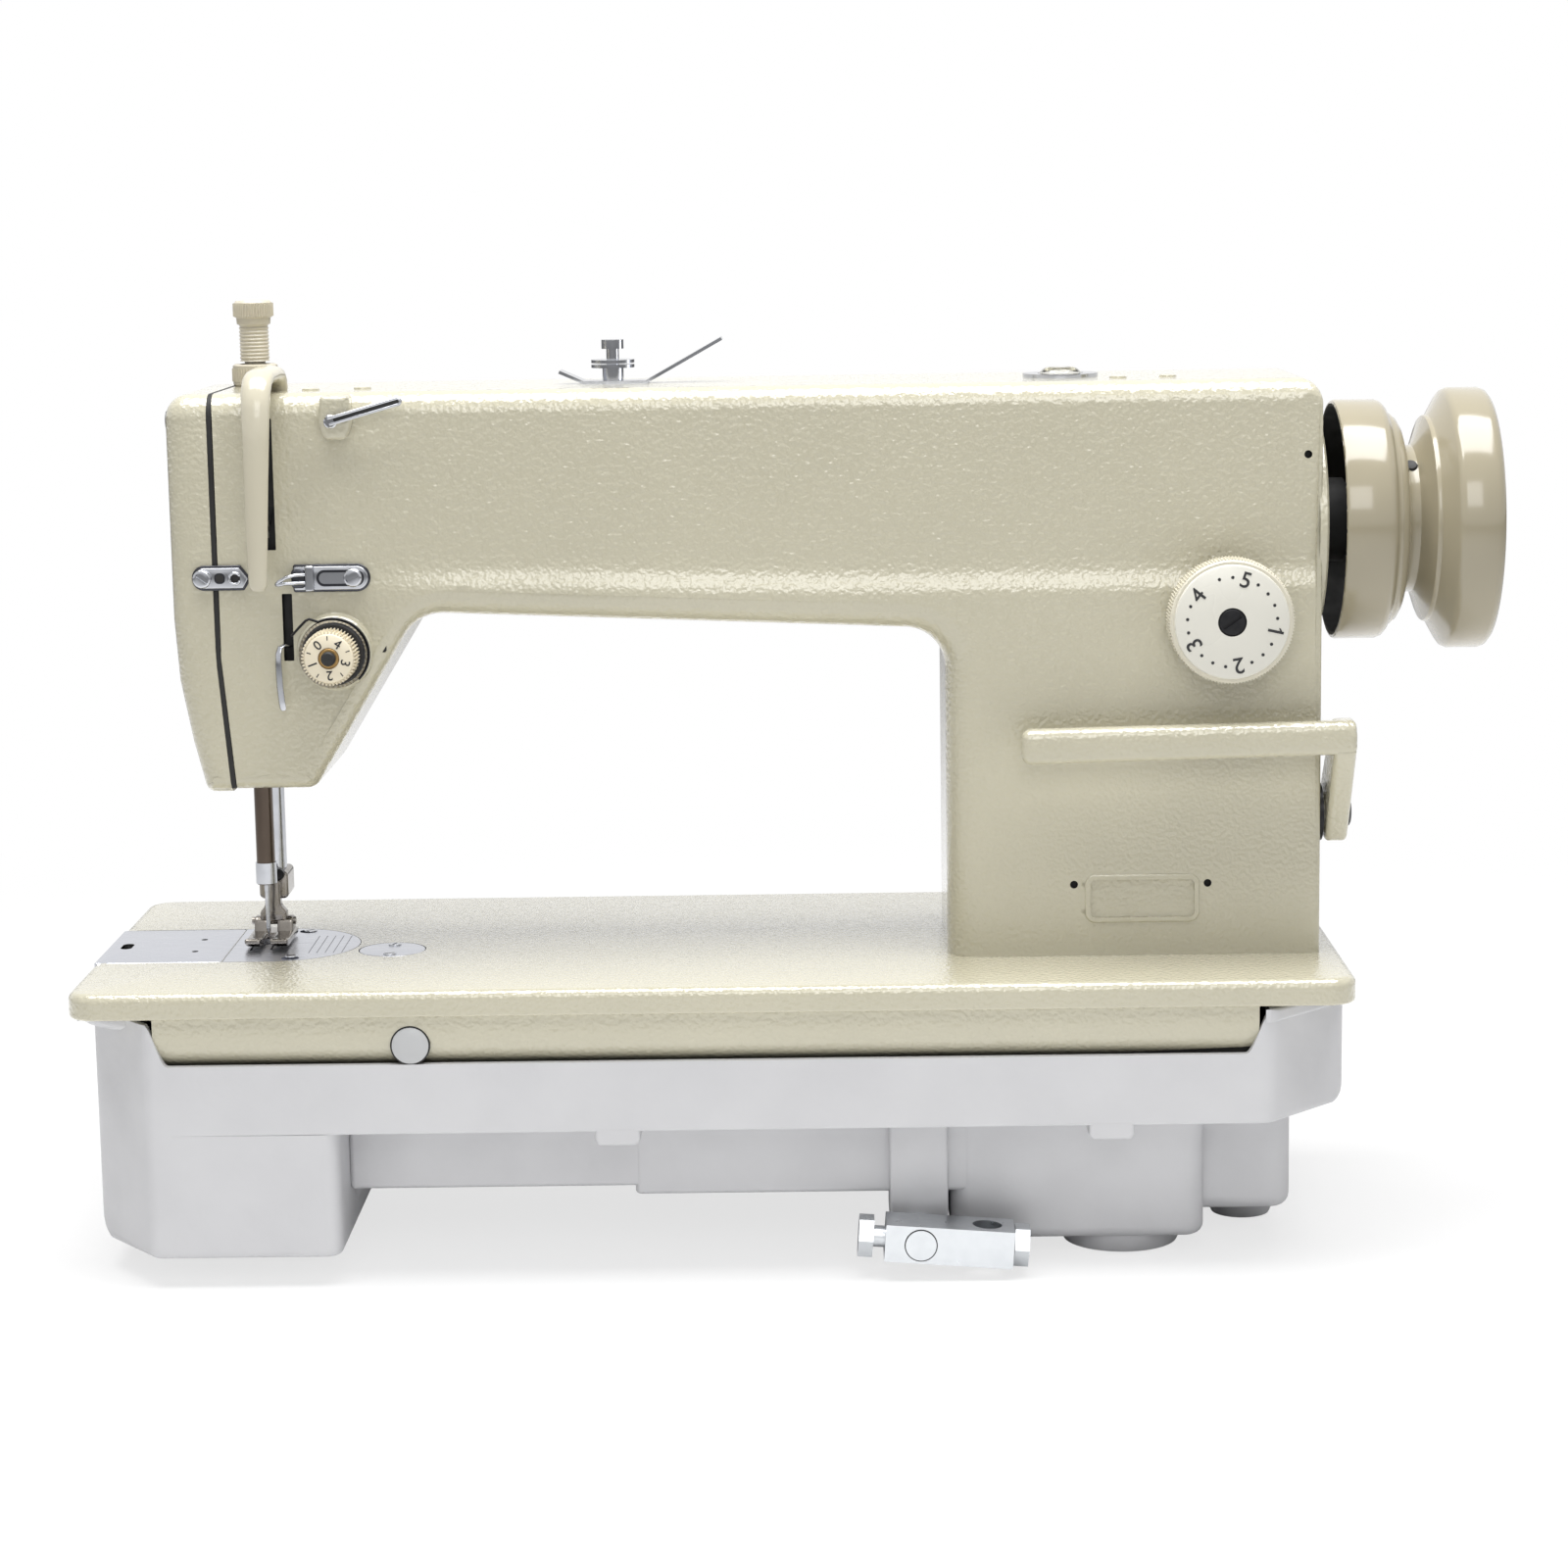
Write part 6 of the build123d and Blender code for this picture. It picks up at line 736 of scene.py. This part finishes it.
# Handwheel: turned and painted smooth beige, with an open cup over the arm's end, a belt groove with a set screw,
# and a wide rim for the hand. The cup's inside and the set screw's hole are painted shade.
# Smooth beige paint: glossy, on a turned surface.
WHEEL = finish("smooth_beige_paint", "#9B937D", 0.16, vary=0.03, grain=70.0, coat=0.4)
wheel = Shape()
wheel_profile = [
    (413.5, 44.2), (413.8, 45.2), (414.6, 45.6), (429.6, 45.5), (431.4, 44.8), (432.8, 43.2), (433.2, 41.4),
    (434.0, 40.6), (435.2, 40.2), (435.4, 39.5), (436.8, 38.8), (438.2, 36.4), (439.4, 32.0), (440.2, 28.4),
    (441.0, 28.0), (443.7, 28.0), (444.8, 29.4), (447.6, 37.6), (448.2, 39.0), (449.0, 39.4), (449.8, 39.3),
    (450.6, 40.2), (454.6, 47.4), (455.6, 48.8), (457.4, 49.6), (468.6, 49.6), (470.6, 48.9), (471.9, 47.2),
    (472.3, 44.5), (472.5, 40.0), (470.0, 36.5), (469.2, 35.8), (469.2, 0),
]
wheel.lathe("X", *shaft_line, wheel_profile, 128)
# The cup's inside and the set screw's hole take the painted shade.
wheel.look = 1
wheel.lathe("X", *shaft_line,
            [(413.5, 44.2), (413.7, 43.2), (427.0, 42.2), (429.5, 40.0), (429.5, 15.0), (418.5, 14.0),
             (418.5, 7.2)], 96)
wheel.tube([(441.0, -math.sin(math.radians(40)) * r, shaft_line[1] + math.cos(math.radians(40)) * r)
            for r in (22.0, 25.0, 27.2)], 3.2, 20)
wheel.make("handwheel_shell", "drive", [WHEEL, PAINTED_SHADE], ["handwheel"])

# Oil pan: cast light alloy with a flared rim, two deep sumps, a shallow tray between them, lugs
# under its front edge and round feet. The bed rests in it on rubber strips.
# Cast alloy: pale and dull, with cloudy marks of the mould.
PAN = finish("cast_alloy", "#C6C6C8", 0.5, 0.15, vary=0.12, grain=26.0, bump=0.12, bump_size=4.0, other="#A2A2A6")
pan = Shape()


def rim_rise(x, y):
    """How far the pan's ends rise above the middle of its rim."""
    return 16.0 * (1 - ease(-33.6, -25.4, x) + ease(372.0, 381.5, x))


bends = [-30.2, -29.4, -28.6, -27.8, -27.0, -26.2, -25.4, -24.5, 371.5, 372.4, 373.2, 374.0, 374.8, 375.6, 376.4,
         377.2, 378.0]
pan_side = 88.4
front = [(x, -pan_side, 0, 0) for x in bends[:8]] + [(37.0, -pan_side, 0, 0.15)] + [(x, -pan_side, 0, 0.15)
                                                                                    for x in bends[8:]]
back = [(x, pan_side, 0, 0.15) for x in bends[:7:-1]] + [(37.0, pan_side, 0, 0)] + [(x, pan_side, 0, 0)
                                                                                    for x in bends[7::-1]]
rim_corners = [(-33.5, -pan_side, 6, 0)] + front + [(382.0, -pan_side, 8, 0.3), (412.5, -56.0, 14, 1),
                                                    (412.5, 56.0, 14, 0.3), (382.0, pan_side, 8, 0.15)]
rim_corners += back + [(-33.5, pan_side, 6, 0), (-58.5, 58.0, 14, 0), (-58.5, -58.0, 14, 0)]
rim_loop = corner_loop(rim_corners)[0]
# The rim's hollow, 14 mm deep, is painted shade inside.
pan.prism("Z", rim_corners, -54.0, -27.6, 7.0, 0, high_relief=rim_rise,
          high_holes=[([tuple(p) for p in inset_loop(rim_loop, [3.2] * len(rim_loop))], -14.0)])
pan.prism("Z", [(-33.5, -pan_side, 6, 0.2), (37.0, -pan_side, 6, 0.3), (37.0, pan_side, 6, 0.2),
                (-33.5, pan_side, 6, 0.3),
                (-58.5, 58.0, 14, 1), (-58.5, -58.0, 14, 0.3)], -101.0, -54.0, 10.0, 0)
pan.prism("Z", [(-37.0, -82.0, 0, 0), (-37.0, 82.0, 0, 1), (-63.5, 61.0, 16, 1), (-63.5, -61.0, 16, 1)], -17.4,
          -11.6, 3.6, 1.0)
pan.prism("Z", [(381.0, -88.8, 0, 0), (382.6, -88.8, 8, 1), (413.9, -56.4, 15, 1), (413.9, 56.4, 15, 1),
                (382.6, 88.8, 8, 1),
                (381.0, 88.8, 0, 0)], -15.8, -10.9, 1.2, 1.2)
for x0, x1, side, bottom, corner, edge in ((36.8, 150.0, 61.4, -82.5, 2.2, 1.6),
                                           (145.0, 272.0, 61.7, -85.8, 2.2, 1.6),
                                           (264.0, 360.0, 62.0, -105.0, 8.0, 4.0)):
    pan.prism("Z", box_corners(x0, x1, -side, side, corner), bottom, -50.0, edge, 0)
pan.prism("Z", box_corners(340.0, 394.0, -50.0, 61.5, 8.0), -98.0, -50.0, 5.0, 0)
for y in (-40.0, 40.0):
    pan.lathe("Z", 18.0, y, [(-60.0, 23.0), (-82.0, 22.5), (-95.0, 18.0), (-104.0, 14.5), (-109.5, 11.5)], 48)
for x, y, radius, top in ((330.0, -36.0, 22.5, -100.0), (380.0, -3.0, 12.0, -90.0)):
    pan.lathe("Z", x, y, [(top, radius), (-110.0, radius), (-111.6, radius - 0.7), (-112.0, radius - 2),
                          (-112.0, 0)], 48)
for x in (140.3, 322.8):
    pan.prism("Y", box_corners(x - 8.5, x + 8.5, -59.5, -50.0, 2.5), -88.3, -78.0, 1.5, 0)
pan.prism("Y", [(241.0, -54.0, 0, 1), (263.0, -54.0, 0, 1), (263.0, -109.5, 10.9, 1),
                (241.0, -109.5, 10.9, 1)][::-1], -66.0, -30.0, 1.2, 0)
# The soles of the left feet take the painted shade colour too.
pan.look = 1
for y in (-40.0, 40.0):
    pan.lathe("Z", 18.0, y, [(-109.5, 11.4), (-111.4, 11.0), (-112.0, 10.4), (-112.0, 0)], 40)
pan.make("oil_pan_shell", "frame", [PAN, PAINTED_SHADE], ["oil_pan"])

# Bed plug: a pale moulded plastic plug, pressed into the oil hole in the skirt, with a ring of painted shade round
# it for the gap.
# Grey plastic: pale and moulded.
GREY_PLASTIC = finish("grey_plastic", "#B9BABB", 0.35, vary=0.04)
plug_middle = (64.6, -20.6)
plug = Shape()
plug.lathe("Y", *plug_middle, [(-86.0, 6.9), (-88.0, 6.8), (-88.4, 6.2), (-88.8, 3.6), (-88.95, 0)], 40)
plug.look = 1
plug.lathe("Y", *plug_middle, [(-86.0, 7.4), (-87.75, 7.4), (-87.75, 6.7)], 40)
plug.make("bed_plug_shell", "frame", [GREY_PLASTIC, PAINTED_SHADE], ["bed_plug"])

# Seam guides: fine lines scored across the round end of the steel needle plate, dull in their bottom, and painted
# darker for the shade in the scores.
score = Shape()
score.prism("Z", [(-0.14, -16, 0, 0), (0.14, -16, 0, 0), (0.14, 16, 0, 0), (-0.14, 16, 0, 0)], 0.0, 0.03)
# Scored line: dull cut steel, darker as painted shade.
SCORE = finish("scored_line", "#6E7077", 0.5, 0.6)
repeat("needle_plate_lines", "frame", score, [((x, -2.5, 0.0), (0, 0, 0)) for x in (18.0, 21.2, 24.4, 27.6, 30.8)],
       SCORE)

# Presser foot: a forged shank, clamped to the presser bar by a black screw, with a sole that is
# hinged on a pin. Both are nickel plated.
# Nickel plate: warm, bright and worn.
NICKEL = finish("nickel_plate", "#8F8A84", 0.16, 1.0, vary=0.35, grain=5.0, other="#4A453F")
shank = Shape()
shank.prism("Y", [(-4.6, 7.0, 1.5, 1), (6.2, 7.0, 1.5, 1), (6.0, 11.0, 2.5, 1), (3.8, 13.5, 3, 1),
                  (3.6, 23.6, 1, 1), (-2.4, 23.6, 1, 1),
                  (-2.4, 13.5, 3, 1), (-4.4, 11.0, 2.5, 1)], 7.6, 13.0, 1.2, 1.0)
shank.prism("Y", box_corners(-5.0, 6.4, 15.5, 26.5, 2.0), 12.0, 29.0, 1.0, 1.0)
shank.look = 1
shank.lathe("Y", 3.2, 25.6, [(12.6, 2.2), (9.6, 2.2), (9.2, 1.8), (9.2, 0)], 24)
shank.make("foot_shank_shell", "presser", [NICKEL, BLACK_STEEL], ["foot_shank"])
sole = Shape()
for x0, x1 in ((-7.6, -1.4), (2.2, 9.2)):
    sole.prism("X", [(-13.0, 2.6, 1.2, 1), (-9.0, 0.8, 2, 1), (16.0, 0.8, 1, 1), (16.0, 3.6, 1, 1),
                     (-6.0, 3.6, 3, 1), (-13.0, 4.6, 0.9, 1)],
               x0, x1, 0.8, 0.8)
    sole.prism("X", [(6.5, 2.0, 0, 1), (15.5, 2.0, 0, 1), (14.4, 9.0, 2.5, 1), (8.0, 9.0, 2.5, 1)], max(x0, -6.8),
               min(x1, 8.4), 0.8, 0.8)
sole.prism("Z", box_corners(-2.0, 3.0, 4.0, 15.5, 0.6), 0.9, 3.4, 0.4, 0.4)
sole.lathe("X", 11.0, 7.0, [(-8.0, 0), (-8.0, 1.5), (9.2, 1.5), (9.2, 0)], 20)
sole.make("foot_sole_shell", "sole", [NICKEL], ["foot_sole"])

# Reverse lever: a cast bar in front of the column and a leg back to its pivot at the side, in the
# wrinkle enamel, held by a black screw.
pivot = (-28.0, 52.0)
lever = Shape()
lever.prism("Y", [(291.9, 76.2, 3.5, 1), (416.0, 78.6, 2.6, 0.8), (416.0, 91.2, 5.5, 1.2), (291.9, 89.4, 3.5, 1)],
            -61.0, -53.5, 3.0, 1.6)
lever.prism("X", [(-60.4, 79.0, 2, 1), (-37.0, 41.8, 5, 1), (-20.0, 41.8, 7, 1), (-20.0, 60.0, 7, 1),
                  (-48.0, 91.0, 6, 1),
                  (-60.4, 91.0, 4, 1)], 407.4, 415.8, 1.8, 1.8)
lever.lathe("X", *pivot, [(380.0, 5.0), (406.9, 5.0), (406.9, 7.6), (407.6, 7.6)], 28)
lever.look = 1
lever.lathe("X", *pivot, [(415.0, 5.6), (417.4, 5.6), (418.0, 4.6), (418.0, 0)], 32)
# A black disc between the column and the leg is painted shade of the gap there.
lever.lathe("X", *pivot, [(405.1, 11.0), (406.8, 11.0), (406.8, 4.8)], 36)
lever.make("reverse_lever_shell", "reverse", [CREAM, BLACK_STEEL], ["reverse_lever"])

# Bar bushes: turned steel sleeves, pressed in under the head, that guide the needle bar and the
# presser bar. The needle bar's has a bright flange.
# Oiled steel: brown with an oil film, streaked along the bar.
BAR_STEEL = finish("oiled_steel", "#5A5048", 0.2, 1.0, vary=0.3, grain=6.0, stretch=(1, 1, 0.2), other="#2C2622")
bushes = Shape()
bushes.lathe("Z", 0, 0, [(72.0, 5.8), (66.4, 5.8)], 44)
bushes.lathe("Z", 0, 22.0, [(72.0, 6.4), (65.4, 6.4), (64.9, 5.8), (64.9, 5.0), (72.0, 5.0)], 40)
bushes.look = 1
bushes.lathe("Z", 0, 0,
             [(66.4, 5.8), (66.2, 6.7), (65.8, 7.0), (64.8, 7.0), (64.3, 6.5), (64.3, 3.9), (72.0, 3.9)], 44)
bushes.make("bar_bushes_shell", "frame", [BAR_STEEL, CHROME], ["bar_bushes"])

# Knee shaft's end: a ring of painted shade for the narrow gap round the steel shaft where it comes through the
# clamp block's front.
joint = Shape()
joint.lathe("Y", 252.0, -98.5, [(-89.8, 5.75), (-90.12, 5.75), (-90.12, 6.15), (-89.8, 6.15)], 40)
joint.make("knee_shaft_gap", "knee", [PAINTED_SHADE])

# Plain finishes of the remaining pieces, whose shape is kept as it was turned, ground or pressed:
# zinc plated knee lifter, rubber gasket and cushions, clear oil window and steel works.
# Zinc plate, black rubber and clear acrylic.
ZINC = finish("zinc_plate", "#C8CBCE", 0.32, 1.0, vary=0.08, grain=5.0, bump=0.02, bump_size=1.5, other="#9A9EA3")
RUBBER = finish("black_rubber", "#141413", 0.7, vary=0.1)
glass, tree, surface = material("clear_acrylic")
tree.links.new(node(tree, "ShaderNodeBsdfPrincipled", Base_Color=linear("#F4F3EC"), Roughness=0.05, IOR=1.49,
                    Transmission_Weight=1.0).outputs[0], surface)
finishes = {
    CREAM: ["rear_cover"],
    STEEL: ["needle_plate", "bobbin", "bobbin_case", "feed_dog", "hook_pinion", "hook_shaft", "main_bevel_gear",
            "main_shaft", "needle_crank", "needle_link", "rotary_hook", "upright_gears", "upright_shaft",
            "arm_bolts",
            "hand_lifter", "presser_spring"],
    CHROME: ["needle", "needle_clamp", "presser_bar", "pretension_post",
             "oil_window_ring", "take_up_lever", "top_thread_guide"],
    ZINC: ["knee_block", "knee_bolts", "knee_shaft"],
    BRASS: ["lower_shaft_bushes", "main_shaft_bushes"],
    RUBBER: ["face_plate_gasket", "pan_cushions"],
    BLACK_STEEL: ["cover_screws"],
    BAR_STEEL: ["needle_bar"],
    glass: ["oil_window"],
}
for look, names in finishes.items():
    for name in names:
        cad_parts[name].data.materials.clear()
        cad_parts[name].data.materials.append(look)

# Stage: a pale floor that keeps the shadow, soft light from above and the front on a white
# background, and the camera of the photograph.
floor_look, tree, surface = material("pale_floor")
path = node(tree, "ShaderNodeLightPath")
place = node(tree, "ShaderNodeTexCoord").outputs["Object"]
away = node(tree, "ShaderNodeVectorMath", {"operation": "LENGTH"}, {0: place})
fade = node(tree, "ShaderNodeMapRange", {"interpolation_type": "SMOOTHSTEP"}, {"Value": away.outputs["Value"]},
            From_Min=0.3, From_Max=0.95, To_Min=0.72, To_Max=1.0)
seen = node(tree, "ShaderNodeMath", {"operation": "MULTIPLY"}, {0: path.outputs["Is Camera Ray"],
                                                                1: fade.outputs["Result"]})
paper = node(tree, "ShaderNodeBsdfDiffuse", Color=linear("#F4F4F4"))
glow = node(tree, "ShaderNodeEmission", Color=linear("#FFFFFF"), Strength=1.0)
mixed = node(tree, "ShaderNodeMixShader", links={0: seen.outputs[0], 1: paper.outputs[0], 2: glow.outputs[0]})
tree.links.new(mixed.outputs[0], surface)
bpy.ops.mesh.primitive_plane_add(size=30, location=(0, 0, -0.0005))
floor = bpy.context.object
floor.name = "floor"
floor.data.materials.append(floor_look)


def lamp(name, place, target, width, height, power):
    """A soft rectangular light that faces a point."""
    data = bpy.data.lights.new(name, "AREA")
    data.shape = "RECTANGLE"
    data.size = width
    data.size_y = height
    data.energy = power
    made = bpy.data.objects.new(name, data)
    bpy.context.scene.collection.objects.link(made)
    made.location = place
    made.rotation_euler = (Vector(target) - Vector(place)).to_track_quat("-Z", "Y").to_euler()
    return made


lamp("top_light", (0.0, -0.15, 1.6), (0, -0.05, 0.1), 1.7, 1.0, 44)
lamp("front_light", (0.05, -1.7, 1.07), (0.05, 0, 0.2), 0.9, 0.7, 6.5)

world = bpy.data.worlds.new("studio")
bpy.context.scene.world = world
world.use_nodes = True
tree = world.node_tree
tree.nodes.clear()
path = node(tree, "ShaderNodeLightPath")
direct = node(tree, "ShaderNodeMath", {"operation": "MAXIMUM"}, {0: path.outputs["Is Camera Ray"],
                                                                 1: path.outputs["Is Transmission Ray"]})
seen = node(tree, "ShaderNodeMath", {"operation": "MAXIMUM"}, {0: direct.outputs[0],
                                                               1: path.outputs["Is Glossy Ray"]})
soft = node(tree, "ShaderNodeBackground", Color=linear("#FFFFFF"), Strength=0.2)
plain = node(tree, "ShaderNodeBackground", Color=linear("#FFFFFF"), Strength=1.0)
mixed = node(tree, "ShaderNodeMixShader", links={0: seen.outputs[0], 1: soft.outputs[0], 2: plain.outputs[0]})
node(tree, "ShaderNodeOutputWorld", links={"Surface": mixed.outputs[0]})

scene = bpy.context.scene
scene.view_settings.view_transform = "Standard"
scene.view_settings.look = "None"
camera = bpy.data.objects.new("camera", bpy.data.cameras.new("camera"))
scene.collection.objects.link(camera)
scene.camera = camera
camera.data.lens = 81.73
camera.data.sensor_width = 36.0
pitch, yaw, roll = 0.1652, 0.0132, -0.0158
forward = Vector((-math.sin(yaw) * math.cos(pitch), math.cos(yaw) * math.cos(pitch), -math.sin(pitch)))
right = Vector((math.cos(yaw), math.sin(yaw), 0))
up = right.cross(forward)
tilted_right = right * math.cos(roll) + up * math.sin(roll)
tilted_up = up * math.cos(roll) - right * math.sin(roll)
turn = Matrix((tilted_right, tilted_up, -forward)).transposed().to_4x4()
camera.matrix_world = Matrix.Translation(metres(220.685, -1363.537, 287.963)) @ turn
camera.data.clip_end = 100
